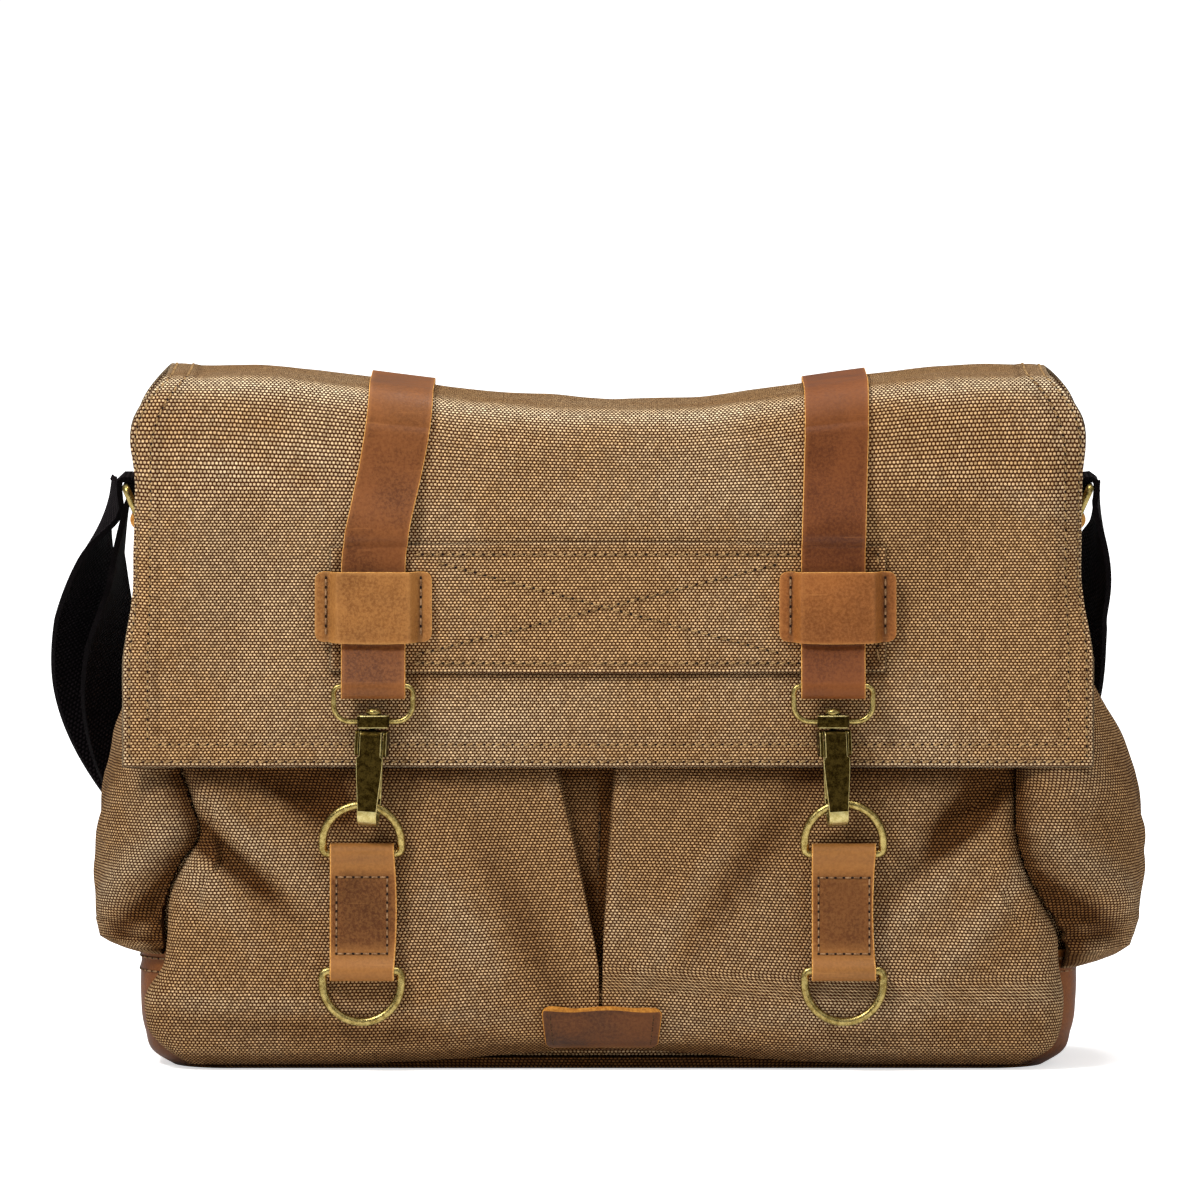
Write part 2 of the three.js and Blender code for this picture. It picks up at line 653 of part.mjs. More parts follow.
// A closing strap: over the flap from the back, through the keeper, round the eye's bar and back
// up behind itself.
function closureStrap(closure) {
  const keeperTop = KEEPER_MIDDLE_HEIGHT + KEEPER_HEIGHT / 2;
  const patchTop = PATCH_MIDDLE_HEIGHT + PATCH_HEIGHT / 2;
  const lowX = closureX(closure) + closure.eyeShift;
  const topX = closureX(closure) + closure.topShift;
  const xAt = (z) => THREE.MathUtils.lerp(lowX, topX, smooth(z, keeperTop, FLAP_TOP_HEIGHT));
  const half = STRAP_WIDTH / 2;
  const columns = [-1, 0, 1];
  const onFlap = FLAP_PROFILE.filter((row) => (
    row.zone === 'front'
      ? row.z > patchTop + STRAP_PATCH_CLEAR
      : row.z > FLAP_TOP_HEIGHT - STRAP_BACK_END
  ));
  const face = onFlap.map((row) => columns.map((c) => flapPointAt(xAt(row.z) + c * half, row)));
  const inner = offsetGrid(face, SEAM_GAP + STRAP_LAY, FRONT);
  const outer = offsetGrid(inner, LEATHER_WALL, FRONT);
  const loopRadius = EYE_WIRE / 2 + SEAM_GAP + STRAP_LAY;
  const returnStart = STRAP_RETURN_HEIGHT - STRAP_RETURN_LAY;
  const returnFoot = STRAP_RETURN_HEIGHT - STRAP_RETURN_FOOT;
  const ply = LEATHER_WALL + SEAM_GAP;
  const add = (z, innerY, outerY) => {
    inner.push(columns.map((c) => vec(xAt(z) + c * half, innerY(xAt(z) + c * half), z)));
    outer.push(columns.map((c) => vec(xAt(z) + c * half, outerY(xAt(z) + c * half), z)));
  };
  const behind = strapOnPatch() + STRAP_LAY;
  const over = STRAP_RETURN_HEIGHT + STRAP_RETURN_RISE;
  const settled = THREE.MathUtils.lerp(patchTop, over, STRAP_SETTLE_START);
  const settling = STRAP_SETTLE_ROWS.map((share) => THREE.MathUtils.lerp(patchTop, over, share));
  for (const z of [...settling, returnStart, returnFoot]) {
    const standOff = behind + ply * (1 - smooth(z, over, settled));
    add(z, (x) => flapFront(x, z) - standOff, (x) => flapFront(x, z) - standOff - LEATHER_WALL);
  }
  for (let i = 0; i <= 8; i += 1) {
    const angle = (i * Math.PI) / 8;
    const place = (radius) => ({
      y: hookPlane - radius * Math.cos(angle),
      z: eyeBarHeight - radius * Math.sin(angle),
    });
    const near = place(loopRadius);
    const far = place(loopRadius + LEATHER_WALL);
    inner.push(columns.map((c) => vec(lowX + c * half, near.y, near.z)));
    outer.push(columns.map((c) => vec(lowX + c * half, far.y, far.z)));
  }
  const halfWay = (eyeBarHeight + returnFoot) / 2;
  for (const z of [halfWay, returnFoot, returnStart, STRAP_RETURN_HEIGHT]) {
    const lay = smooth(z, eyeBarHeight, returnFoot);
    const y = (x, standOff) => (
      THREE.MathUtils.lerp(hookPlane + loopRadius, flapFront(x, z) - behind, lay) - standOff
    );
    add(z, (x) => y(x, LEATHER_WALL * lay), (x) => y(x, LEATHER_WALL * (lay - 1)));
  }
  return wallGeometry(outer, inner);
}

// A keeper: a leather band whose sides are sewn to the patch and whose middle stands over the strap.
function keeper(closure) {
  const x = closureX(closure) + closure.eyeShift / 2;
  const low = KEEPER_MIDDLE_HEIGHT - KEEPER_HEIGHT / 2;
  const high = KEEPER_MIDDLE_HEIGHT + KEEPER_HEIGHT / 2;
  const raised = KEEPER_RAISED_WIDTH / KEEPER_WIDTH / 2;
  const flat = strapOnPatch() + STRAP_LAY;
  const over = flat + 2 * LEATHER_WALL + 2 * SEAM_GAP;
  const columns = [0, 0.5 - raised - KEEPER_STEP, 0.5 - raised + KEEPER_STEP, 0.5];
  const mirrored = columns.slice(0, 3).map((share) => 1 - share).reverse();
  const standOff = (share) => (Math.abs(share - 0.5) < raised ? over : flat);
  const half = KEEPER_WIDTH / 2;
  return flapBand(x - half, x + half, low, high, [...columns, ...mirrored], 3, standOff, LEATHER_WALL);
}

function roundedOutline(width, height, radius, topRadius = radius) {
  const shape = new THREE.Shape();
  const right = width / 2;
  const top = height / 2;
  shape.moveTo(radius - right, -top);
  shape.lineTo(right - radius, -top);
  shape.absarc(right - radius, radius - top, radius, -Math.PI / 2, 0, false);
  shape.absarc(right - topRadius, top - topRadius, topRadius, 0, Math.PI / 2, false);
  shape.absarc(topRadius - right, top - topRadius, topRadius, Math.PI / 2, Math.PI, false);
  shape.absarc(radius - right, radius - top, radius, Math.PI, 1.5 * Math.PI, false);
  return shape;
}

// The eye with its swivel block, drilled for the hook's post. Its origin is the block's middle.
function swivelEye() {
  const topCorner = (EYE_WIDTH - EYE_WIRE - STRAP_WIDTH) / 2 - EYE_PLAY;
  const outline = roundedOutline(EYE_WIDTH - EYE_WIRE, EYE_HEIGHT - EYE_WIRE, EYE_CORNER, topCorner);
  const loop = wireLoop(outline, EYE_WIRE, 26, 6);
  loop.translate(0, 0, (EYE_HEIGHT - EYE_WIRE) / 2);
  const footprint = roundedOutline(BLOCK_WIDTH, BLOCK_DEPTH, BLOCK_CORNER);
  const block = new THREE.ExtrudeGeometry(footprint, {
    depth: BLOCK_HEIGHT,
    bevelEnabled: false,
    curveSegments: 3,
  }).translate(0, 0, -BLOCK_HEIGHT / 2);
  const hole = uprightCylinder(POST_DIAMETER + 2 * POST_CLEARANCE, BLOCK_HEIGHT * 2, 12, 0);
  const solid = joined([loop, block]);
  return toGeometry(solid.subtract(toManifold(hole)));
}

const hookTop = -BLOCK_HEIGHT / 2 - HOOK_HEAD_GAP;
const hookFoot = -BLOCK_HEIGHT / 2 - HOOK_LENGTH;
const pinHeight = hookTop - PIN_DROP;
const pinDepth = HOOK_MOUTH / 2 - PIN_DEPTH;
const noseTop = hookFoot + HOOK_NOSE_HEIGHT;

// The hook's plate from its top flange down to the foot and up to the nose, as a strip of the y-z
// plane, in the frame of the swivel block's middle.
function hookStrip() {
  const front = -hookDepth / 2;
  const turn = hookFoot + hookDepth / 2;
  const strip = new THREE.Shape();
  strip.moveTo(front, hookTop);
  strip.lineTo(front, turn);
  strip.absarc(0, turn, hookDepth / 2, Math.PI, 2 * Math.PI, false);
  strip.lineTo(-front, noseTop);
  strip.lineTo(HOOK_MOUTH / 2, noseTop);
  strip.lineTo(HOOK_MOUTH / 2, turn);
  strip.absarc(0, turn, HOOK_MOUTH / 2, 0, Math.PI, true);
  strip.lineTo(-HOOK_MOUTH / 2, hookTop - HOOK_PLATE);
  strip.lineTo(-front, hookTop - HOOK_PLATE);
  strip.lineTo(-front, hookTop);
  return strip;
}

// A strip of the y-z plane given a width along x.
function stripAcross(strip, width, curveSegments) {
  const body = new THREE.ExtrudeGeometry(strip, {
    depth: width,
    bevelEnabled: false,
    curveSegments,
  });
  body.translate(0, 0, -width / 2);
  return body.applyMatrix4(new THREE.Matrix4().set(0, 0, 1, 0, 1, 0, 0, 0, 0, 1, 0, 0, 0, 0, 0, 1));
}

function hookBody() {
  const plate = stripAcross(hookStrip(), HOOK_WIDTH, 6);
  const narrow = HOOK_WIDTH - 2 * HOOK_EAR_WALL;
  const position = plate.attributes.position;
  for (let i = 0; i < position.count; i += 1) {
    const z = position.getZ(i);
    const share = smooth(z, hookFoot + 2, hookTop - HOOK_EAR_HEIGHT);
    const width = THREE.MathUtils.lerp(HOOK_TIP_WIDTH, HOOK_WIDTH, share);
    position.setX(i, (position.getX(i) * width) / HOOK_WIDTH);
  }
  const sideCut = (sign) => boxAt(
    HOOK_EAR_WALL,
    HOOK_PLATE * 3,
    HOOK_EAR_HEIGHT,
    (sign * (narrow + HOOK_EAR_WALL * 1.2)) / 2,
    -hookDepth / 2,
    hookTop - HOOK_PLATE - HOOK_EAR_HEIGHT / 2,
  );
  const ear = (sign) => boxAt(
    HOOK_EAR_WALL,
    HOOK_MOUTH,
    HOOK_EAR_HEIGHT,
    sign * (HOOK_WIDTH / 2 + HOOK_EAR_WALL / 2 - HOOK_EAR_LAP),
    0,
    hookTop - HOOK_EAR_HEIGHT / 2,
  );
  const span = HOOK_WIDTH + HOOK_EAR_WALL;
  const pin = rodAcross(PIN_DIAMETER, span, 10).translate(0, pinDepth, pinHeight);
  const flange = boxAt(span, HOOK_MOUTH, HOOK_PLATE, 0, 0, hookTop - HOOK_PLATE / 2);
  const headFoot = BLOCK_HEIGHT / 2 + SEAM_GAP;
  const head = uprightCylinder(RIVET_DIAMETER, RIVET_HEIGHT, 14, headFoot + RIVET_HEIGHT / 2);
  const postHeight = headFoot - hookTop + HOOK_PLATE;
  const post = uprightCylinder(POST_DIAMETER, postHeight, 10, headFoot - postHeight / 2 + SEAM_GAP);
  const plateSolid = toManifold(plate).subtract(toManifold(sideCut(1))).subtract(toManifold(sideCut(-1)));
  const rest = joined([ear(-1), ear(1), pin, flange, head, post]);
  return toGeometry(plateSolid.add(rest));
}

// The spring lever, in the frame of its pin: a knuckle round the pin and a plate down to the nose.
function hookLever() {
  const bore = PIN_DIAMETER / 2 + PIN_CLEARANCE;
  const knuckle = bore + LEVER_KNUCKLE;
  const back = HOOK_MOUTH / 2 - SEAM_GAP - pinDepth;
  const end = noseTop - LEVER_END_LAP - pinHeight;
  const side = new THREE.Shape();
  const start = Math.asin((back - LEVER_WALL) / knuckle);
  side.moveTo(back - LEVER_WALL, end);
  side.lineTo(back, end);
  side.lineTo(back, -Math.sqrt(Math.max(knuckle ** 2 - back ** 2, 0)));
  side.absarc(0, 0, knuckle, -Math.acos(Math.min(back / knuckle, 1)), 1.5 * Math.PI + start, false);
  side.lineTo(back - LEVER_WALL, end);
  const hole = new THREE.Path();
  hole.absarc(0, 0, bore, 0, 2 * Math.PI, true);
  side.holes.push(hole);
  return stripAcross(side, LEVER_WIDTH, 7);
}

// A D-ring hanging from its straight bar, whose middle is the origin.
function dRing() {
  const half = (RING_WIDTH - RING_WIRE) / 2;
  const leg = RING_HEIGHT - RING_WIRE - half;
  const corner = Math.min(RING_CORNER, leg / 2);
  const shape = new THREE.Shape();
  shape.moveTo(0, 0);
  shape.lineTo(half - corner, 0);
  shape.absarc(half - corner, -corner, corner, Math.PI / 2, 0, true);
  shape.lineTo(half, -leg);
  shape.absarc(0, -leg, half, 0, -Math.PI, true);
  shape.lineTo(-half, -corner);
  shape.absarc(-half + corner, -corner, corner, Math.PI, Math.PI / 2, true);
  shape.lineTo(0, 0);
  return wireLoop(shape, RING_WIRE, 24, 6);
}

function pocketFold(x, z) {
  const half = POCKET_WIDTH / 2;
  return POCKET_FOLDS.reduce((sum, fold) => {
    const dx = x - fold.across * half;
    const dz = z - fold.height * POCKET_HEIGHT;
    const turn = radians(fold.turn);
    const along = dx * Math.cos(turn) + dz * Math.sin(turn);
    const aside = dz * Math.cos(turn) - dx * Math.sin(turn);
    return sum + fold.rise * bell(along, fold.long * half) * bell(aside, fold.broad * half);
  }, 0) * POCKET_BULGE;
}

// The pocket's outer face away from the pleat and the sides.
function pocketFront(x, z) {
  const share = sectionValue(POCKET_SECTIONS, z / POCKET_HEIGHT, 'bulge');
  const across = x / (POCKET_WIDTH / 2);
  const crown = 1 - POCKET_CROWN * across ** 4;
  const full = smooth(z, POCKET_HEIGHT * 0.05, POCKET_HEIGHT * 0.3);
  return -HALF_DEPTH - POCKET_BULGE * share * crown - pocketFold(x, z) * full;
}

// The two lips of the inverted pleat at a height. They meet above the pocket's foot.
function pleatAt(z) {
  const open = THREE.MathUtils.clamp((z - PLEAT_FOOT_HEIGHT) / (POCKET_HEIGHT - PLEAT_FOOT_HEIGHT), 0, 1);
  const mouth = Math.max(PLEAT_MOUTH * open ** PLEAT_TAPER, PLEAT_SLIT);
  const left = PLEAT_LINE - mouth * PLEAT_LEFT_SHARE;
  return { left, right: left + mouth, depth: PLEAT_DEPTH * smooth(open, 0, 0.3) + 0.4 };
}

const pocketFootRise = (x) => POCKET_FOOT_RISE * bell(x, POCKET_FOOT_SPREAD);

function frontPocket() {
  const outer = POCKET_SECTIONS.map((section) => {
    const height = section.height * POCKET_HEIGHT;
    const zAt = (x) => height + pocketFootRise(x) * (1 - section.height);
    const half = POCKET_WIDTH / 2;
    const pleat = pleatAt(height);
    const edge = (sign) => {
      const width = half * (sign < 0 ? section.left : section.right);
      const x = sign * width;
      const wallY = frontWall(width - POCKET_EDGE_INSET, height) - 2 * SEAM_GAP;
      const faceY = Math.min(pocketFront(x, height), wallY - POCKET_EDGE_DEPTH);
      const radius = Math.min(POCKET_CORNER, POCKET_CORNER_SHARE * (wallY - faceY));
      const corner = POCKET_CORNER_ANGLES.map((angle) => {
        const turn = radians(angle);
        const y = faceY + radius * (1 - Math.sin(turn));
        return vec(sign * (width - radius * (1 - Math.cos(turn))), y, height);
      });
      const inward = width - radius;
      return { points: [vec(x, wallY, height), ...corner], inward: sign * inward };
    };
    const left = edge(-1);
    const right = edge(1);
    const run = (from, to, count, first) => Array.from({ length: count - first }, (_, i) => {
      const x = THREE.MathUtils.lerp(from, to, (i + first) / count);
      return vec(x, pocketFront(x, height), zAt(x));
    });
    const tuck = (pleat.right - pleat.left) / 4;
    const deepest = frontWall(0, height) - SEAM_GAP - CANVAS_WALL;
    const floor = [pleat.left + tuck, pleat.right - tuck].map((x) => (
      vec(x, Math.min(pocketFront(x, height) + pleat.depth, deepest), zAt(x))
    ));
    return [
      ...left.points,
      ...run(left.inward, pleat.left, 6, 0),
      ...run(pleat.left, pleat.left, 1, 0),
      ...floor,
      ...run(pleat.right, pleat.right, 1, 0),
      ...run(pleat.right, right.inward, 6, 1),
      vec(right.inward, pocketFront(right.inward, height), height),
      ...right.points.reverse(),
    ].filter((point, index, all) => index === 0 || point.distanceTo(all[index - 1]) > 1e-6);
  });
  const inner = offsetGrid(outer, -CANVAS_WALL, FRONT).map((line) => line.map((point) => (
    vec(point.x, Math.min(point.y, frontWall(point.x, point.z) - SEAM_GAP), point.z)
  )));
  return wallGeometry(outer, inner);
}

// How far out the bag's side is at a place along its depth and a height, round its corners too.
function sideWall(y, z) {
  const step = outsideStep(z);
  const radius = BASE_CORNER - step;
  const face = (y < 0 ? outerFront(z) : outerBack(z)) - step;
  const reach = Math.min(Math.max(Math.abs(y) - face + radius, 0) / radius, 1);
  return outerHalfWidth(z) - step - radius * (1 - Math.sqrt(1 - reach * reach));
}

// A side pocket: a bulging sheet on the bag's side whose foot rolls back to the wall.
function sidePocket(side) {
  const sign = side === 'left' ? -1 : 1;
  const sections = SIDE_POCKET_SECTIONS[side];
  const columns = 10;
  const ease = (y) => SIDE_POCKET_EASE * smooth(Math.abs(y) / SIDE_POCKET_SPAN, 0.28, 0.46);
  const wall = (y, z) => sideWall(y, z) + SEAM_GAP + ease(y);
  const outer = sections.map((section, row) => {
    const z = section.height * SIDE_POCKET_HEIGHT;
    return Array.from({ length: columns + 1 }, (_, i) => {
      const across = (2 * i) / columns - 1;
      const y = (across * SIDE_POCKET_SPAN) / 2;
      const round = Math.max(1 - Math.abs(across) ** 2.6, 0) ** 0.7;
      const crease = SIDE_POCKET_CREASE * bell(across + 0.45 - 0.5 * (0.5 - section.height), 0.16)
        * bell(section.height - 0.45, 0.25);
      const bulge = SIDE_POCKET_BULGE * section.bulge * (round - crease * (row > 1));
      return vec(sign * (wall(y, z) + Math.max(bulge, 0)), y, z);
    });
  });
  const inner = offsetGrid(outer, -CANVAS_WALL, vec(sign, 0, -1)).map((line) => line.map((point) => (
    vec(sign * Math.max(sign * point.x, wall(point.y, point.z)), point.y, point.z)
  )));
  return wallGeometry(outer, inner);
}

// The line through the two bars of a ring tab, clear in front of the pocket's face behind it.
const tabHalfWall = () => LEATHER_WALL + 0.05;
const barRadius = () => RING_WIRE / 2 + SEAM_GAP;
const tabEndRadius = () => barRadius() + LEATHER_WALL;

function tabLine(x) {
  const face = (z) => Math.min(...[-1, -0.5, 0, 0.5, 1].map((c) => (
    pocketFront(x + (c * TAB_WIDTH) / 2, z)
  )));
  const top = face(UPPER_BAR_HEIGHT) - tabEndRadius() - SEAM_GAP;
  const low = face(LOWER_BAR_HEIGHT) - tabEndRadius() - SEAM_GAP;
  const shift = evenly(12).reduce((most, t) => {
    const z = THREE.MathUtils.lerp(LOWER_BAR_HEIGHT, UPPER_BAR_HEIGHT, t);
    const line = THREE.MathUtils.lerp(low, top, t);
    const near = Math.min(t, 1 - t) < 0.12 ? tabEndRadius() : tabHalfWall();
    return Math.max(most, line + near + SEAM_GAP - face(z));
  }, 0);
  return { top: top - shift, low: low - shift };
}

// A leather tab folded round the bars of two rings, in the plane of its two bars.
function ringTab(length) {
  const half = tabHalfWall();
  const end = tabEndRadius();
  const neck = Math.acos(half / end);
  const side = new THREE.Shape();
  const middle = length / 2;
  const lap = Math.sqrt(end * end - half * half);
  side.moveTo(half, -middle + lap);
  side.lineTo(half, middle - lap);
  side.absarc(0, middle, end, -neck, Math.PI + neck, false);
  side.lineTo(-half, -middle + lap);
  side.absarc(0, -middle, end, Math.PI - neck, 2 * Math.PI + neck, false);
  for (const place of [middle, -middle]) {
    const hole = new THREE.Path();
    hole.absarc(0, place, barRadius(), 0, 2 * Math.PI, true);
    side.holes.push(hole);
  }
  return stripAcross(side, TAB_WIDTH, 7);
}

// The tab, its two rings and what turns on it, for one closure.
function tabAssembly(closure) {
  const { side } = closure;
  const x = closureX(closure) + closure.ringShift;
  const line = tabLine(x);
  const rise = UPPER_BAR_HEIGHT - LOWER_BAR_HEIGHT;
  const slope = Math.atan2(line.top - line.low, rise);
  const tab = namedMesh(`ring_tab_${side}`, ringTab(Math.hypot(rise, line.top - line.low)), LEATHER);
  tab.position.set(x, (line.top + line.low) / 2, (UPPER_BAR_HEIGHT + LOWER_BAR_HEIGHT) / 2);
  tab.rotation.x = -slope;
  const upper = namedMesh(`upper_ring_${side}`, dRing(), BRASS);
  upper.position.set(x, line.top, UPPER_BAR_HEIGHT);
  const pull = (line.top - hookPlane) / (RING_HEIGHT - RING_WIRE);
  upper.rotation.x = Math.PI + Math.asin(THREE.MathUtils.clamp(pull, -0.5, 0.5));
  const lower = namedMesh(`lower_ring_${side}`, dRing(), BRASS);
  lower.position.set(x, line.low, LOWER_BAR_HEIGHT);
  return [tab, upper, lower];
}

function hookAssembly(closure) {
  const { side } = closure;
  const assembly = new THREE.Group();
  const x = closureX(closure) + closure.eyeShift;
  assembly.position.set(x, hookPlane, BLOCK_FOOT_HEIGHT + BLOCK_HEIGHT / 2);
  assembly.add(namedMesh(`swivel_eye_${side}`, swivelEye(), BRASS));
  const hook = new THREE.Group();
  hook.rotation.set(0, radians(-closure.lean), radians(closure.twist), 'ZYX');
  hook.add(namedMesh(`hook_body_${side}`, hookBody(), BRASS));
  const lever = namedMesh(`hook_lever_${side}`, hookLever(), BRASS);
  lever.position.set(0, pinDepth, pinHeight);
  hook.add(lever);
  assembly.add(hook);
  return assembly;
}

function label() {
  const x0 = LABEL_SHIFT - LABEL_WIDTH / 2;
  const grid = evenly(2).map((v) => evenly(4).map((u) => {
    const x = x0 + u * LABEL_WIDTH;
    const z = LABEL_FOOT_HEIGHT + 2 + (1 - v) * LABEL_HEIGHT;
    const section = z - pocketFootRise(x) * (1 - z / POCKET_HEIGHT);
    return vec(x, pocketFront(x, section) - LABEL_STAND_OFF, z);
  }));
  return wallGeometry(offsetGrid(grid, LABEL_WALL, FRONT), grid);
}

const sideRingLean = radians(24);
const sideRingX = outerHalfWidth(SIDE_RING_FOOT_HEIGHT) + SIDE_RING_STAND_OFF;
const sideRingY = HALF_DEPTH * 0.35;
const sideRingSpan = SIDE_RING_HEIGHT - SIDE_RING_WIRE;

// The outer bar of a side ring, which the shoulder strap wraps.
const sideBar = () => ({
  x: sideRingX + sideRingSpan * Math.sin(sideRingLean),
  z: SIDE_RING_FOOT_HEIGHT + sideRingSpan * Math.cos(sideRingLean),
});

// The webbing's turn round a side ring's outer bar, from inside the ring over to the outside.
function barTurn(sign) {
  const radius = SIDE_RING_WIRE / 2 + WEBBING_PLAY + WEBBING_WALL / 2;
  const bar = sideBar();
  const approach = {
    point: vec(sign * (bar.x + WEBBING_LIE), sideRingY, bar.z - sideRingSpan * 0.75),
    face: vec(-sign, 0, 0),
  };
  const turn = [-60, -15, 30, 75, 120, 165, 205].map((angle) => ({
    point: vec(
      sign * (bar.x - radius * Math.cos(radians(angle))),
      sideRingY,
      bar.z + radius * Math.sin(radians(angle)),
    ),
    face: vec(-sign * Math.cos(radians(angle)), 0, Math.sin(radians(angle))),
  }));
  return sign < 0 ? [approach, ...turn] : turn;
}

// The stations of the shoulder strap: middle points with the direction of one face, the same all
// along, which starts out turned to the bag and is turned away from it past the left ring.
function strapStations() {
  const station = (row) => ({
    point: vec(row.across * HALF_WIDTH, row.depth * HALF_DEPTH, row.height * sideBar().z),
    face: vec(-Math.sin(radians(row.facing)), -Math.cos(radians(row.facing)), 0),
  });
  const flip = (entry) => ({ point: entry.point, face: entry.face.clone().negate() });
  return [
    ...STRAP_RUN.map(station),
    ...barTurn(-1),
    ...STRAP_RUN_BACK.map(station).map(flip),
    ...barTurn(1).reverse(),
  ];
}

function shoulderStrap() {
  const stations = strapStations();
  const curve = new THREE.CatmullRomCurve3(stations.map((s) => s.point), false, 'centripetal');
  const steps = 2;
  const sides = [];
  const count = (stations.length - 1) * steps;
  for (let i = 0; i <= count; i += 1) {
    const place = i / steps;
    const before = Math.floor(place);
    const after = Math.min(before + 1, stations.length - 1);
    const point = curve.getPoint(i / count);
    const tangent = curve.getTangent(i / count).normalize();
    const face = stations[before].face.clone().lerp(stations[after].face, place - before);
    face.addScaledVector(tangent, -face.dot(tangent)).normalize();
    const across = tangent.clone().cross(face);
    sides.push([-1, 1].map((c) => [-1, 1].map((f) => (
      point.clone()
        .addScaledVector(across, (c * WEBBING_WIDTH) / 2)
        .addScaledVector(face, (f * WEBBING_WALL) / 2)
    ))));
  }
  const layer = (f) => sides.map((pair) => pair.map((edge) => edge[f]));
  return wallGeometry(layer(1), layer(0));
}

function strapSlider() {
  const frame = roundedOutline(SLIDER_LENGTH, SLIDER_WIDTH, SLIDER_CORNER);
  const window = new THREE.Path();
  const across = SLIDER_WIDTH / 2 - SLIDER_RAIL;
  const along = SLIDER_LENGTH / 2 - SLIDER_RAIL;
  window.moveTo(-along, -across);
  window.lineTo(-along, across);
  window.lineTo(along, across);
  window.lineTo(along, -across);
  frame.holes.push(window);
  return new THREE.ExtrudeGeometry(frame, {
    depth: SLIDER_WALL,
    bevelEnabled: false,
    curveSegments: 2,
  });
}

function sideRing() {
  const width = SIDE_RING_WIDTH - SIDE_RING_WIRE;
  const outline = roundedOutline(width, sideRingSpan, SIDE_RING_CORNER);
  const loop = wireLoop(outline, SIDE_RING_WIRE, 28, 6);
  return loop.rotateZ(Math.PI / 2).translate(0, 0, sideRingSpan / 2);
}

// The chape that holds a side ring: a leather strap round the ring's lower bar, flat on the side.
function sideChape() {
  const bore = SIDE_RING_WIRE / 2 + SEAM_GAP;
  const end = bore + LEATHER_WALL;
  const side = new THREE.Shape();
  side.moveTo(-end, -CHAPE_HEIGHT);
  side.lineTo(-end + LEATHER_WALL, -CHAPE_HEIGHT);
  side.lineTo(-end + LEATHER_WALL, -end);
  side.lineTo(0, -end);
  side.absarc(0, 0, end, -Math.PI / 2, Math.PI, false);
  const hole = new THREE.Path();
  hole.absarc(0, 0, bore, 0, 2 * Math.PI, true);
  side.holes.push(hole);
  const body = new THREE.ExtrudeGeometry(side, {
    depth: CHAPE_WIDTH,
    bevelEnabled: false,
    curveSegments: 6,
  });
  body.translate(0, 0, -CHAPE_WIDTH / 2);
  return body.applyMatrix4(new THREE.Matrix4().set(1, 0, 0, 0, 0, 0, -1, 0, 0, 1, 0, 0, 0, 0, 0, 1));
}

function sideHardware(side) {
  const sign = side === 'left' ? -1 : 1;
  const ring = namedMesh(`side_ring_${side}`, sideRing(), BRASS);
  ring.position.set(sign * sideRingX, sideRingY, SIDE_RING_FOOT_HEIGHT);
  ring.rotation.y = sign * sideRingLean;
  const chape = namedMesh(`side_chape_${side}`, sideChape(), LEATHER);
  chape.position.set(sign * sideRingX, sideRingY, SIDE_RING_FOOT_HEIGHT);
  chape.rotation.z = sign < 0 ? Math.PI : 0;
  return [ring, chape];
}

function sliderPlaced() {
  const slider = namedMesh('strap_slider', strapSlider(), BRASS);
  const [end, next] = strapStations().map((entry) => entry.point);
  const onward = end.clone().sub(next).setY(0).normalize();
  slider.rotation.set(Math.PI / 2, Math.atan2(-onward.z, onward.x), 0, 'YXZ');
  slider.position.copy(end).addScaledVector(onward, SLIDER_LENGTH / 2 + 2 * SEAM_GAP);
  slider.position.y += SLIDER_WALL / 2;
  return slider;
}

const group = new THREE.Group();
group.add(namedMesh('body_shell', bodyShell(), CANVAS));
group.add(namedMesh('leather_base', leatherBase(), LEATHER));
group.add(namedMesh('front_pocket', frontPocket(), CANVAS));
group.add(namedMesh('side_pocket_left', sidePocket('left'), CANVAS));
group.add(namedMesh('side_pocket_right', sidePocket('right'), CANVAS));
group.add(namedMesh('flap', flap(), CANVAS));
group.add(namedMesh('flap_patch', flapPatch(), CANVAS));
for (const closure of CLOSURES) {
  group.add(namedMesh(`closure_strap_${closure.side}`, closureStrap(closure), LEATHER));
  group.add(namedMesh(`keeper_${closure.side}`, keeper(closure), LEATHER));
  group.add(hookAssembly(closure));
  group.add(...tabAssembly(closure));
}
group.add(namedMesh('label', label(), LABEL_LEATHER));
for (const side of ['left', 'right']) {
  group.add(...sideHardware(side));
}
group.add(namedMesh('shoulder_strap', shoulderStrap(), WEBBING));
group.add(sliderPlaced());

export default group;
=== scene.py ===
"""Looks of a canvas messenger bag around its fixed frame.

The bag stands on its leather base, with its flap closed by two leather straps on snap hooks. Lengths are
in metres: the front faces -Y, +X is to the right and +Z is up.
"""

import logging
import math
from dataclasses import dataclass, field
from enum import Enum
from typing import Callable, Sequence

import bmesh
import bpy
import numpy as np
from mathutils import Matrix, Vector, noise

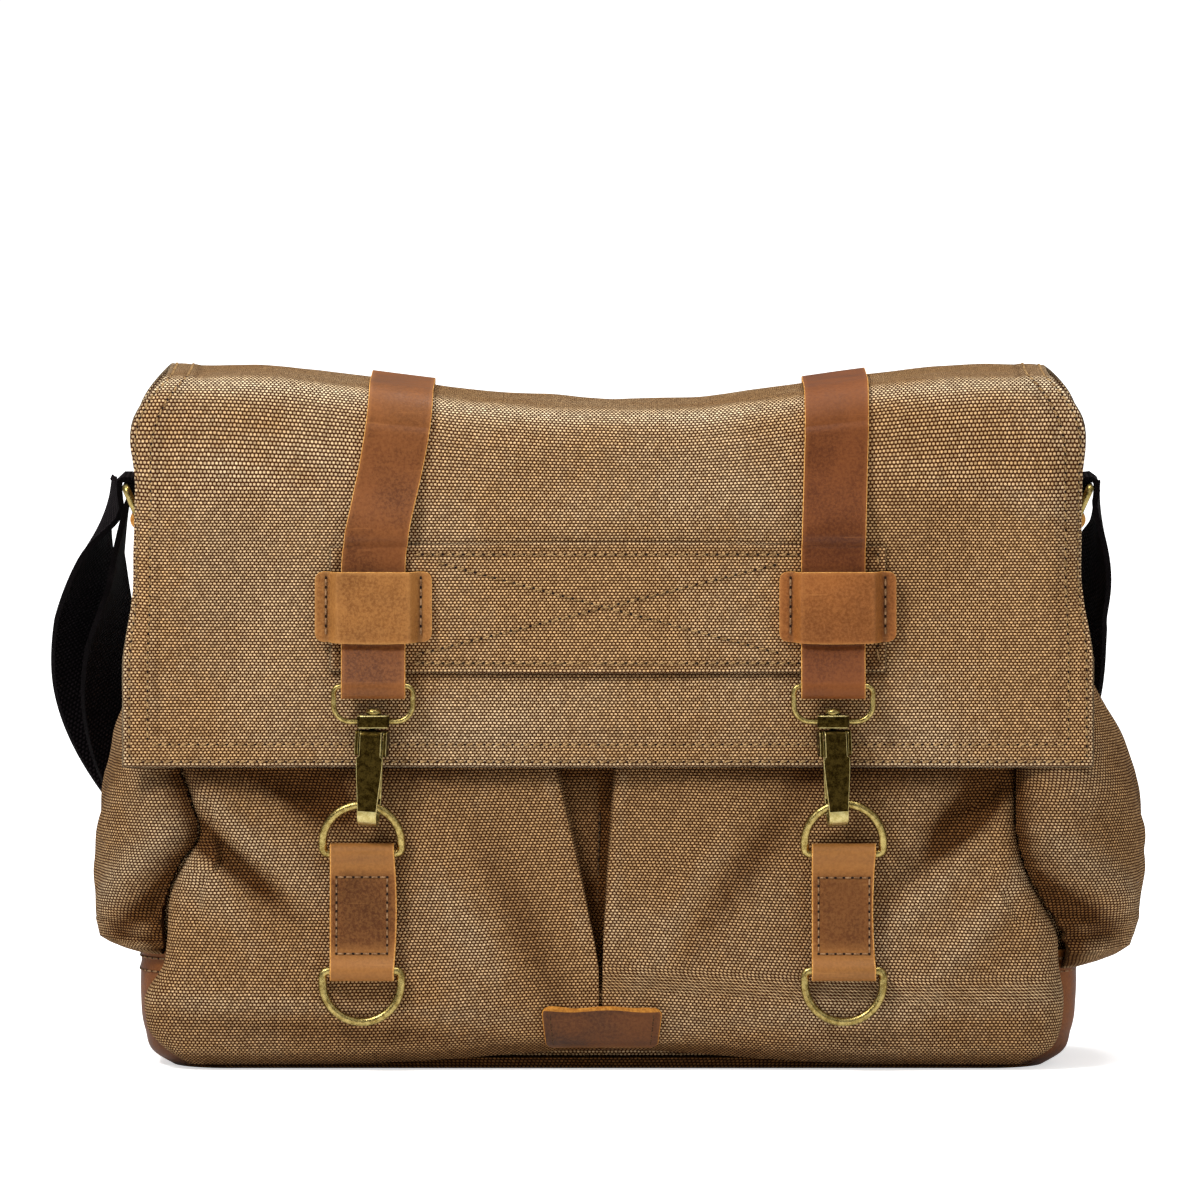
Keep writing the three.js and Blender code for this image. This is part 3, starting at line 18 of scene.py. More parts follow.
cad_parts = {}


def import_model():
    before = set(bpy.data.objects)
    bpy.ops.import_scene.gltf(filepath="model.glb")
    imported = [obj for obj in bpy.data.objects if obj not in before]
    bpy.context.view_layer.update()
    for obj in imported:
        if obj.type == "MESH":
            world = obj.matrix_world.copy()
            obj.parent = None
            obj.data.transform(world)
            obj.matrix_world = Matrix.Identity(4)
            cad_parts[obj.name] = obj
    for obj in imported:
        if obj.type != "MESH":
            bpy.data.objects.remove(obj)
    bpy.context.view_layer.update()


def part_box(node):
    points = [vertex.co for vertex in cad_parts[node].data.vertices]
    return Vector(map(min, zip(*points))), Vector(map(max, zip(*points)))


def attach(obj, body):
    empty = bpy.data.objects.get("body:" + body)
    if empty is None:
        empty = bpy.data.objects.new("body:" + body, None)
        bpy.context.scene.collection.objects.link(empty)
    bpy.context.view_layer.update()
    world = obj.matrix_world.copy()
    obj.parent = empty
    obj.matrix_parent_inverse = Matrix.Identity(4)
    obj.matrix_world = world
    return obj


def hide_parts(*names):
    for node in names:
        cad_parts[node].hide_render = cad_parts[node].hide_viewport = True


LOG = logging.getLogger("bag")
MM = 0.001
IMAGE_PIXELS = 1200
ROOT_BODY = "bag"
FRONT = (0.0, -1.0, 0.0)
UP = (0.0, 0.0, 1.0)

Array = np.ndarray


class Side(Enum):
    """The left and right half of the bag, seen from the front."""

    LEFT = "left"
    RIGHT = "right"

    @property
    def sign(self) -> float:
        """The sign of X on this side."""
        return -1.0 if self is Side.LEFT else 1.0


class Slot(Enum):
    """The record's material slots."""

    CANVAS = "canvas"
    LEATHER = "leather"
    LABEL = "label_leather"
    WEBBING = "webbing"
    BRASS = "aged_brass"


def smooth(value: Array, low: float, high: float) -> Array:
    """A smooth step from 0 at low to 1 at high.

    Args:
        value: Where to read the step.
        low: The value at which it leaves 0.
        high: The value at which it reaches 1.

    Returns:
        The step's height, from 0 to 1.
    """
    share = np.clip((np.asarray(value, float) - low) / (high - low), 0, 1)
    return share * share * (3 - 2 * share)


def bell(value: Array, width: float) -> Array:
    """A bell curve of height 1 that falls off within a width."""
    return np.exp(-((np.asarray(value, float) / width) ** 2))


def mix(start: Array, end: Array, share: Array) -> Array:
    """A point between start and end at a share of the way."""
    return start + (end - start) * share


def eased(places: Sequence[float], values: Sequence[float], at: Array) -> Array:
    """Reads a short table as one smooth curve through its rows.

    Args:
        places: The rows' places, rising.
        values: The rows' values.
        at: Where to read the curve.

    Returns:
        The curve's values, with the ends held past the table.
    """
    places, values = np.asarray(places, float), np.asarray(values, float)
    at = np.clip(np.asarray(at, float), places[0], places[-1])
    slopes = np.gradient(values, places)
    row = np.clip(np.searchsorted(places, at) - 1, 0, len(places) - 2)
    step = places[row + 1] - places[row]
    t = (at - places[row]) / step
    rise = t * t * (3 - 2 * t)
    bend = (t**3 - 2 * t * t + t) * slopes[row] + (t**3 - t * t) * slopes[row + 1]
    return mix(values[row], values[row + 1], rise) + bend * step


def ripple(points: Array, scale: float, seed: float) -> Array:
    """Soft noise over a field of points.

    Args:
        points: Points in an array whose last axis is x, y and z.
        scale: The size of the noise's lumps.
        seed: Shifts the noise, so that pieces differ.

    Returns:
        Values of about -1 to 1, one for each point.
    """
    flat = points.reshape(-1, 3) / scale + seed
    values = [noise.noise(Vector(point)) for point in flat]
    return np.array(values).reshape(points.shape[:-1]) * 1.6


def along(points: Array) -> Array:
    """The length run along a line of points, starting at 0."""
    steps = np.linalg.norm(np.diff(points, axis=0), axis=1)
    return np.concatenate([[0.0], np.cumsum(steps)])


def stacked(*parts: Array | float) -> Array:
    """Points from their coordinates, each spread over the same line or grid."""
    return np.stack(np.broadcast_arrays(*parts), axis=-1)


def read_at(at: Array, run: Array, points: Array) -> Array:
    """The points of a line at places along its run."""
    return np.stack([np.interp(at, run, column) for column in points.T], axis=-1)


def evened(points: Array, step: float) -> Array:
    """The same line of points, read again at an even step."""
    run = along(points)
    count = max(int(math.ceil(run[-1] / step)), 2)
    return read_at(np.linspace(0, run[-1], count + 1), run, points)


def evened_loop(points: Array, step: float) -> Array:
    """A closed line of points, read again at an even step without repeating its start."""
    return evened(np.concatenate([points, points[:1]]), step)[:-1]


def unit(vectors: Array) -> Array:
    """Vectors cut or drawn out to a length of 1."""
    return vectors / np.linalg.norm(vectors, axis=-1, keepdims=True)


def transformed(points: Array, frame: Matrix) -> Array:
    """Points moved by a matrix."""
    turn = np.array(frame)
    return points @ turn[:3, :3].T + turn[:3, 3]


def quarter(axis: str) -> Matrix:
    """A quarter turn about an axis."""
    return Matrix.Rotation(math.pi / 2, 4, axis)


def softened(points: Array, times: int) -> Array:
    """A line or field of rows with its corners eased, its first and last row held."""
    points = points.copy()
    for _ in range(times):
        points[1:-1] = (points[:-2] + 2 * points[1:-1] + points[2:]) / 4
    return points


def row_runs(points: Array) -> Array:
    """How far each point of a grid lies along its row."""
    steps = np.linalg.norm(np.diff(points, axis=1), axis=2)
    return np.concatenate([np.zeros((len(points), 1)), np.cumsum(steps, axis=1)], axis=1)


def woven(points: Array, middle: int) -> Array:
    """Each point's place in the weave of a sheet.

    Args:
        points: The sheet's grid of points.
        middle: The column that the rows are measured from.

    Returns:
        How far each point lies along its row and down its column.
    """
    run = row_runs(points)
    return stacked(run - run[:, middle:middle + 1], along(points[:, middle])[:, None])


def linear(red: float, green: float, blue: float) -> tuple[float, float, float, float]:
    """A colour in the shader's linear values.

    Args:
        red: Red as seen, 0 to 255.
        green: Green as seen, 0 to 255.
        blue: Blue as seen, 0 to 255.

    Returns:
        Linear red, green, blue and an alpha of 1.
    """

    def channel(value: float) -> float:
        """One channel's linear value."""
        share = value / 255
        return share / 12.92 if share <= 0.04045 else ((share + 0.055) / 1.055) ** 2.4

    return channel(red), channel(green), channel(blue), 1.0


@dataclass
class Cloth:
    """A wall of cloth or leather over a grid of points, made into a closed mesh.

    The points lie on the wall's face. place holds each point's place in the weave, in metres, wear how
    worn it is, with a painted highlight on fold crests too, and shade how much painted shade darkens it,
    each from 0 to 1.
    """

    points: Array
    place: Array
    wear: Array | None = None
    shade: Array | None = None
    ring: bool = False
    vessel: bool = False

    def normals(self, facing: Sequence[float]) -> Array:
        """Normals of the face, turned so that its middle looks along facing.

        Args:
            facing: The way that the middle of the grid looks.

        Returns:
            One unit normal for each point.
        """
        down = np.gradient(self.points, axis=0)
        if self.ring:
            across = np.roll(self.points, -1, axis=1) - np.roll(self.points, 1, axis=1)
        else:
            across = np.gradient(self.points, axis=1)
        normal = np.cross(down, across)
        length = np.linalg.norm(normal, axis=2, keepdims=True)
        normal = normal / np.maximum(length, 1e-12)
        rows, columns = self.points.shape[:2]
        middle = normal[rows // 2, 0 if self.ring else columns // 2]
        return normal if float(middle @ np.array(facing)) > 0 else -normal

    def _faces(self, rows: int, columns: int) -> tuple[list[list[int]], list[int]]:
        """The faces of both layers and of the rims between them, and each face's material."""
        index = np.arange(2 * rows * columns).reshape(2, rows, columns)
        if self.ring:
            index = np.concatenate([index, index[:, :, :1]], axis=2)
        outer, inner = index
        faces, marks = [], []

        def strip(a: Array, b: Array, c: Array, d: Array, mark: int) -> None:
            """Adds quads from four arrays of corners."""
            quads = stacked(a.ravel(), b.ravel(), c.ravel(), d.ravel())
            faces.extend(quads.tolist())
            marks.extend([mark] * len(quads))

        strip(outer[:-1, :-1], outer[:-1, 1:], outer[1:, 1:], outer[1:, :-1], 0)
        strip(inner[:-1, :-1], inner[1:, :-1], inner[1:, 1:], inner[:-1, 1:], 0)
        strip(outer[-1, :-1], outer[-1, 1:], inner[-1, 1:], inner[-1, :-1], 1)
        if self.vessel:
            faces.extend([outer[0, :-1][::-1].tolist(), inner[0, :-1].tolist()])
            marks.extend([0, 0])
        else:
            strip(outer[0, :-1], inner[0, :-1], inner[0, 1:], outer[0, 1:], 1)
        if not self.ring:
            strip(outer[:-1, 0], outer[1:, 0], inner[1:, 0], inner[:-1, 0], 1)
            strip(outer[:-1, -1], inner[:-1, -1], inner[1:, -1], outer[1:, -1], 1)
        return faces, marks

    def build(
        self,
        name: str,
        wall: float,
        facing: Sequence[float],
        finishes: Sequence[bpy.types.Material],
        bevel: float = 0.0,
        limit: Callable[[Array], Array] | None = None,
    ) -> bpy.types.Object:
        """Makes the wall as an object.

        Args:
            name: The piece's name.
            wall: How far the other layer lies behind the face, or in front of it if negative.
            facing: The way that the middle of the face looks.
            finishes: The material of the faces, and that of the cut rims if it differs.
            bevel: The width of the rims' rounding.
            limit: Moves the other layer's points, to keep them clear of what is behind.

        Returns:
            The new object.
        """
        rows, columns = self.points.shape[:2]
        normal = self.normals(facing)
        other = self.points - normal * wall
        if limit is not None:
            other = limit(other)
        vertices = np.concatenate([self.points.reshape(-1, 3), other.reshape(-1, 3)])
        faces, marks = self._faces(rows, columns)
        mesh = bpy.data.meshes.new(name)
        mesh.from_pydata(vertices.tolist(), [], faces)
        mesh.update()
        place = np.concatenate([self.place, np.zeros((rows, columns, 1))], axis=2).reshape(-1, 3)
        add_field(mesh, "place", np.concatenate([place, place + 0.5]))
        for label, values in (("wear", self.wear), ("shade", self.shade)):
            values = np.zeros((rows, columns)) if values is None else values
            add_field(mesh, label, np.tile(values.ravel(), 2))
        if len(finishes) > 1:
            mesh.polygons.foreach_set("material_index", marks)
        piece = finish_mesh(name, mesh, finishes)
        recalculate(mesh)
        if bevel:
            round_rims(piece, bevel, 3, 50, 1 if len(finishes) == 2 else -1)
        return piece


def add_field(mesh: bpy.types.Mesh, name: str, values: Array) -> None:
    """Stores values of a mesh's points under a name.

    Args:
        mesh: The mesh.
        name: The field's name.
        values: One number or one vector for each point.
    """
    kind = "FLOAT_VECTOR" if values.ndim == 2 else "FLOAT"
    layer = mesh.attributes.new(name, kind, "POINT")
    key = "vector" if values.ndim == 2 else "value"
    layer.data.foreach_set(key, values.astype(np.float32).ravel())


def round_rims(piece: bpy.types.Object, width: float, segments: int, angle: float, material: int) -> None:
    """Rounds a piece's sharp edges.

    Args:
        piece: The piece.
        width: The rounding's width.
        segments: How many faces it gets.
        angle: The least angle, in degrees, between the faces of an edge that is rounded.
        material: The slot of the rounding's material, or -1 for that of the faces.
    """
    rounding = piece.modifiers.new("rounding", "BEVEL")
    rounding.width = width
    rounding.segments = segments
    rounding.limit_method = "ANGLE"
    rounding.angle_limit = math.radians(angle)
    rounding.material = material


def recalculate(mesh: bpy.types.Mesh) -> None:
    """Turns a closed mesh's faces to look outwards."""
    work = bmesh.new()
    work.from_mesh(mesh)
    bmesh.ops.recalc_face_normals(work, faces=work.faces)
    work.to_mesh(mesh)
    work.free()


def finish_mesh(
    name: str, mesh: bpy.types.Mesh, finishes: Sequence[bpy.types.Material]
) -> bpy.types.Object:
    """Puts a mesh in the scene with its materials and smooth shading.

    Args:
        name: The piece's name.
        mesh: Its mesh.
        finishes: Its materials.

    Returns:
        The new object.
    """
    for finish in finishes:
        mesh.materials.append(finish)
    mesh.polygons.foreach_set("use_smooth", [True] * len(mesh.polygons))
    piece = bpy.data.objects.new(name, mesh)
    bpy.context.scene.collection.objects.link(piece)
    return piece


def band(low: int, high: int, sides: int) -> list[list[int]]:
    """The quads between two rings of corners.

    Args:
        low: The first ring's first corner.
        high: The next ring's first corner.
        sides: How many corners a ring has.

    Returns:
        One quad for each side.
    """
    pairs = [(corner, (corner + 1) % sides) for corner in range(sides)]
    return [[low + here, low + beside, high + beside, high + here] for here, beside in pairs]


def swept(path: Array, profile: Array) -> tuple[Array, list[list[int]]]:
    """Sweeps a profile along a closed path in the x-z plane.

    Args:
        path: The path's points.
        profile: The profile's points: along the path's side, and along y.

    Returns:
        The points and the faces.
    """
    tangent = unit(np.roll(path, -1, axis=0) - np.roll(path, 1, axis=0))
    up = np.array([0.0, 1.0, 0.0])
    side = unit(np.cross(tangent, up))
    points = path[:, None] + side[:, None] * profile[None, :, :1] + up * profile[None, :, 1:2]
    count, sides = len(path), len(profile)
    faces = [quad for row in range(count) for quad in band(row * sides, (row + 1) % count * sides, sides)]
    return points.reshape(-1, 3), faces


def circle(diameter: float, sides: int) -> Array:
    """The points of a circle."""
    angle = np.linspace(0, 2 * math.pi, sides, endpoint=False)
    return stacked(np.cos(angle), np.sin(angle)) * diameter / 2


def rounded_box(width: float, height: float, radius: float, top_radius: float | None = None) -> Array:
    """The outline of a rectangle with round corners, from its lower left going right.

    Args:
        width: Its width.
        height: Its height.
        radius: The radius of its corners.
        top_radius: The radius of its upper corners, if it differs.

    Returns:
        The outline's points.
    """
    top_radius = radius if top_radius is None else top_radius
    corners = (
        (width / 2, -height / 2, radius, -90),
        (width / 2, height / 2, top_radius, 0),
        (-width / 2, height / 2, top_radius, 90),
        (-width / 2, -height / 2, radius, 180),
    )
    points = []
    for x, y, r, start in corners:
        for turn in np.linspace(start, start + 90, 9):
            angle = math.radians(turn)
            centre = (x - math.copysign(r, x), y - math.copysign(r, y))
            points.append((centre[0] + r * math.cos(angle), centre[1] + r * math.sin(angle)))
    return np.array(points)


@dataclass
class Metal:
    """Small metal pieces gathered into one mesh."""

    points: list[Array] = field(default_factory=list)
    faces: list[list[int]] = field(default_factory=list)

    def add(self, points: Array, faces: list[list[int]], matrix: Matrix) -> None:
        """Adds a closed piece, moved by a matrix."""
        start = sum(len(part) for part in self.points)
        self.points.append(transformed(points, matrix))
        self.faces.extend([[start + corner for corner in face] for face in faces])

    def add_wire(self, path: Array, wire: float, matrix: Matrix, sides: int = 18) -> None:
        """Adds a wire bent into a closed flat loop in the local x-z plane."""
        self.add(*swept(path, circle(wire, sides)), matrix)

    def add_turned(self, outline: Sequence[tuple[float, float]], matrix: Matrix) -> None:
        """Adds a piece turned about its local z axis.

        Args:
            outline: Radius and height of each step, from the axis and back to it.
            matrix: Where the piece goes.
        """
        sides, last = 24, 24 * (len(outline) - 1)
        angle = np.linspace(0, 2 * math.pi, sides, endpoint=False)
        cos, sin = np.cos(angle), np.sin(angle)
        rings = [stacked(cos * radius, sin * radius, height) for radius, height in outline]
        faces = [quad for low in range(0, last, sides) for quad in band(low, low + sides, sides)]
        faces += [list(range(sides))[::-1], list(range(last, last + sides))]
        self.add(np.concatenate(rings), faces, matrix)

    def add_plate(self, outline: Array, depth: float, matrix: Matrix) -> None:
        """Adds a plate: an outline in the local x-z plane, with a depth along y."""
        count = len(outline)
        layers = [stacked(outline[:, 0], y, outline[:, 1]) for y in (-depth / 2, depth / 2)]
        faces = [list(range(count)), list(range(count, 2 * count))[::-1]]
        for corner in range(count):
            beside = (corner + 1) % count
            faces.append([corner, corner + count, beside + count, beside])
        self.add(np.concatenate(layers), faces, matrix)

    def build(
        self, name: str, finishes: Sequence[bpy.types.Material], bevel: float = 0.0
    ) -> bpy.types.Object:
        """Makes the gathered pieces as one object, with bright rounded edges if bevelled."""
        mesh = bpy.data.meshes.new(name)
        mesh.from_pydata(np.concatenate(self.points).tolist(), [], self.faces)
        mesh.update()
        piece = finish_mesh(name, mesh, finishes)
        recalculate(mesh)
        if bevel:
            round_rims(piece, bevel, 2, 35, 1 if len(finishes) > 1 else -1)
        return piece


@dataclass
class Stitching:
    """Rows of stitches joined into one mesh: sunk threads with a dark needle hole, painted shade, between
    each two.
    """

    thread: float = 0.8 * MM
    pitch: float = 3.6 * MM
    hole: float = 1.0 * MM
    points: list[Array] = field(default_factory=list)
    faces: list[Array] = field(default_factory=list)
    marks: list[Array] = field(default_factory=list)

    def _lump(self, centre: Array, ahead: Array, up: Array, size: tuple[float, float, float]) -> None:
        """Adds one flattened capsule of a length, width and height."""
        rings = ((-0.5, 0.35), (-0.38, 0.8), (0.0, 1.0), (0.38, 0.8), (0.5, 0.35))
        angle = np.linspace(0, 2 * math.pi, 6, endpoint=False)
        side = np.cross(up, ahead)
        start = sum(len(part) for part in self.points)
        for place, girth in rings:
            ring = centre + ahead * place * size[0]
            ring = ring + np.outer(np.cos(angle), side) * size[1] / 2 * girth
            self.points.append(ring + np.outer(np.sin(angle), up) * size[2] / 2 * girth)
        last = start + 6 * (len(rings) - 1)
        quads = [quad for low in range(start, last, 6) for quad in band(low, low + 6, 6)]
        for ring in (start, last):
            quads.append([ring, ring + 1, ring + 2, ring + 3])
            quads.append([ring, ring + 3, ring + 4, ring + 5])
        self.faces.append(np.array(quads))

    def add_row(self, line: Array, normals: Array, slant: float = 0.0) -> None:
        """Adds stitches along a line on a surface.

        Args:
            line: The line's points.
            normals: The surface's normal at each.
            slant: How far each stitch turns from the line, in degrees.
        """
        run = along(line)
        count = max(int(run[-1] / self.pitch), 1)
        pitch = run[-1] / count
        for number in range(count):
            at = (number + 0.5) * pitch
            near, far = [read_at(at + pitch * share, run, line) for share in (-0.34, 0.34)]
            up = unit(read_at(at, run, normals))
            ahead = unit(far - near)
            ahead = ahead - up * (ahead @ up)
            turn = math.radians(slant)
            ahead = unit(ahead * math.cos(turn) + np.cross(up, ahead) * math.sin(turn))
            size = (pitch * 0.7, self.thread, self.thread)
            self._lump((near + far) / 2 + up * self.thread * 0.12, ahead, up, size)
            self.marks.append(np.zeros(len(self.faces[-1]), int))
            # A dark lump for the needle hole: painted shade.
            hole = read_at(at + pitch / 2, run, line)
            self._lump(hole, ahead, up, (self.hole, self.hole * 0.85, self.hole * 0.25))
            self.marks.append(np.ones(len(self.faces[-1]), int))

    def sew(
        self, name: str, slot: Slot, thread: bpy.types.Material, hole: bpy.types.Material
    ) -> bpy.types.Object:
        """Makes all rows as one piece of the bag.

        Args:
            name: The piece's name.
            slot: The record's slot, handed on to settle.
            thread: The threads' material.
            hole: The needle holes' material.

        Returns:
            The new object.
        """
        mesh = bpy.data.meshes.new(name)
        faces = np.concatenate(self.faces)
        mesh.from_pydata(np.concatenate(self.points).tolist(), [], faces.tolist())
        mesh.update()
        mesh.polygons.foreach_set("material_index", np.concatenate(self.marks))
        piece = finish_mesh(name, mesh, [thread, hole])
        recalculate(mesh)
        settle(piece, slot, ROOT_BODY)
        return piece


@dataclass(frozen=True)
class Fold:
    """A soft ridge of cloth, or a hollow if its rise is negative.

    across and height are its middle, long and broad its reach along and aside, and turn its slope from
    the horizontal in degrees.
    """

    across: float
    height: float
    rise: float
    long: float
    broad: float
    turn: float

    def lift(self, x: Array, z: Array) -> Array:
        """How far the fold lifts the cloth at places across and heights."""
        angle = math.radians(self.turn)
        dx, dz = x - self.across, z - self.height
        on = dx * math.cos(angle) + dz * math.sin(angle)
        aside = dz * math.cos(angle) - dx * math.sin(angle)
        return self.rise * bell(on, self.long) * bell(aside, self.broad)


def fold_table(*rows: tuple[float, ...]) -> tuple[Fold, ...]:
    """Folds from rows of their values in order, with the lengths in millimetres."""
    return tuple(Fold(*(length * MM for length in row[:-1]), row[-1]) for row in rows)


def lifted(folds: Sequence[Fold], x: Array, z: Array) -> Array:
    """The sum of several folds."""
    return sum(fold.lift(x, z) for fold in folds)


@dataclass(frozen=True)
class BagForm:
    """The sizes and the outer faces of the bag, close to what its frame has."""

    base_width: float = 367 * MM
    base_depth: float = 104 * MM
    base_corner: float = 22 * MM
    base_side_height: float = 46 * MM
    body_height: float = 250 * MM
    canvas: float = 2 * MM
    leather: float = 2.2 * MM
    gap: float = 0.35 * MM
    flap_width: float = 379 * MM
    flap_top: float = 259 * MM
    flap_hem: float = 119 * MM
    flap_back_drop: float = 32 * MM
    flap_wall: float = 2.4 * MM
    flap_front_radius: float = 14 * MM
    flap_back_radius: float = 11 * MM
    flap_lean: float = 10 * MM
    flap_corner_lift: float = 12 * MM
    flap_narrowing: float = 16.5 * MM
    flap_curl: float = 10.5 * MM
    flap_curl_reach: float = 21 * MM
    flap_bulge: float = 2 * MM
    hem_wave: float = 0.9 * MM
    pocket_height: float = 138 * MM
    pocket_width: float = 360 * MM
    pocket_bulge: float = 16 * MM
    pocket_corner: float = 13 * MM
    pocket_foot_rise: float = 6 * MM
    patch_wall: float = 1.6 * MM
    step_band: tuple = (57 * MM, 59 * MM)
    body_heights: tuple = (0, 0.016, 0.056, 0.108, 0.184, 0.34, 0.48, 0.64, 0.8, 0.92, 1)
    body_widths: tuple = (0.93, 0.965, 0.988, 1, 1, 1.006, 1.006, 1, 0.985, 0.955, 0.925)
    body_fronts: tuple = (0.95, 0.98, 1, 1, 1, 0.98, 0.955, 0.93, 0.91, 0.885, 0.84)
    body_backs: tuple = (0.94, 0.97, 0.99, 1, 1, 1.03, 1.035, 1.02, 0.99, 0.95, 0.91)
    pocket_heights: tuple = (
        0.014, 0.045, 0.11, 0.155, 0.203, 0.297, 0.377, 0.478, 0.594, 0.667, 0.76, 0.855, 1,
    )
    pocket_bulges: tuple = (
        0.16, 0.58, 0.9, 0.97, 1, 0.93, 0.82, 0.66, 0.47, 0.38, 0.28, 0.2, 0.12,
    )
    pocket_lefts: tuple = (
        0.91, 0.95, 1, 1.005, 1.005, 0.965, 0.957, 0.952, 0.92, 0.89, 0.905, 0.925, 0.935,
    )
    pocket_rights: tuple = (
        0.9, 0.95, 0.985, 0.99, 0.99, 0.98, 0.975, 0.935, 0.9, 0.888, 0.885, 0.885, 0.885,
    )

    @property
    def half_width(self) -> float:
        """Half the base's width."""
        return self.base_width / 2

    @property
    def half_depth(self) -> float:
        """Half the base's depth."""
        return self.base_depth / 2

    @property
    def step(self) -> float:
        """How far the canvas body lies inside the base's outside."""
        return self.leather + self.gap

    def step_at(self, z: Array) -> Array:
        """How far the side pocket's wall has stepped in above the base at a height."""
        return self.step * smooth(z, *self.step_band)

    def width_at(self, z: Array) -> Array:
        """Half the bag's width at a height."""
        return self.half_width * eased(self.body_heights, self.body_widths, z / self.body_height)

    def front_at(self, z: Array) -> Array:
        """How far the bag's front stands out at a height."""
        return self.half_depth * eased(self.body_heights, self.body_fronts, z / self.body_height)

    def back_at(self, z: Array) -> Array:
        """How far the bag's back stands out at a height."""
        return self.half_depth * eased(self.body_heights, self.body_backs, z / self.body_height)

    def corner_lift(self, across: Array) -> Array:
        """How much higher the flap's top is towards its ends."""
        return self.flap_corner_lift * smooth(np.abs(across), 0.05, 0.88)

    def flap_front(self, x: Array, z: Array) -> Array:
        """The depth of the flap's front face, as the frame has it."""
        drop = np.clip((self.flap_top - z) / (self.flap_top - self.flap_hem), 0, 1)
        across = x / (self.flap_width / 2)
        bulge = self.flap_bulge * (1 - across**2) * np.sin(math.pi * drop)
        waves = self.hem_wave * smooth(drop, 0.6, 1) * np.cos(across * 7.3 + 0.6)
        return -self.half_depth * 0.975 - self.flap_lean * drop - bulge - waves

    def flap_half_width(self, z: Array) -> Array:
        """Half the flap's width at a height: it draws in over the top."""
        reach = 44 * MM
        rise = np.maximum(z - self.flap_top + reach, 0) / (reach + self.flap_corner_lift)
        return self.flap_width / 2 - self.flap_narrowing * rise**4

    def pocket_front(self, x: Array, z: Array) -> Array:
        """The depth of the front pocket's face away from its pleat and sides."""
        share = eased(self.pocket_heights, self.pocket_bulges, z / self.pocket_height)
        across = x / (self.pocket_width / 2)
        crown = 1 - 0.22 * across**4
        full = smooth(z, self.pocket_height * 0.05, self.pocket_height * 0.3)
        half, high, bulge = self.pocket_width / 2, self.pocket_height, self.pocket_bulge
        folds = (
            Fold(-0.84 * half, 0.5 * high, 0.13 * bulge, 0.3 * half, 0.06 * half, -48),
            Fold(-0.62 * half, 0.66 * high, -0.16 * bulge, 0.28 * half, 0.075 * half, -42),
            Fold(-0.36 * half, 0.62 * high, 0.12 * bulge, 0.34 * half, 0.08 * half, -52),
            Fold(0.34 * half, 0.5 * high, 0.13 * bulge, 0.36 * half, 0.08 * half, 48),
            Fold(0.72 * half, 0.68 * high, -0.15 * bulge, 0.24 * half, 0.07 * half, 40),
            Fold(0.82 * half, 0.42 * high, 0.12 * bulge, 0.3 * half, 0.06 * half, 44),
            Fold(0, 0.13 * high, -0.1 * bulge, 1.2 * half, 0.05 * half, 0),
        )
        return -self.half_depth - bulge * share * crown - lifted(folds, x, z) * full

    def foot_rise(self, x: Array) -> Array:
        """How much higher the front pocket's foot is towards its middle."""
        return self.pocket_foot_rise * bell(x, 62 * MM)

    def front_wall(self, x: Array, z: Array) -> Array:
        """The depth of the bag's front, round its corners too."""
        step = np.where(z > self.base_side_height + 2 * self.pocket_foot_rise, self.step, 0)
        radius = self.base_corner - step
        past = np.maximum(np.abs(x) - self.width_at(z) + step + radius, 0)
        reach = np.minimum(past / radius, 1)
        return -self.front_at(z) + step + radius * (1 - np.sqrt(1 - reach**2))


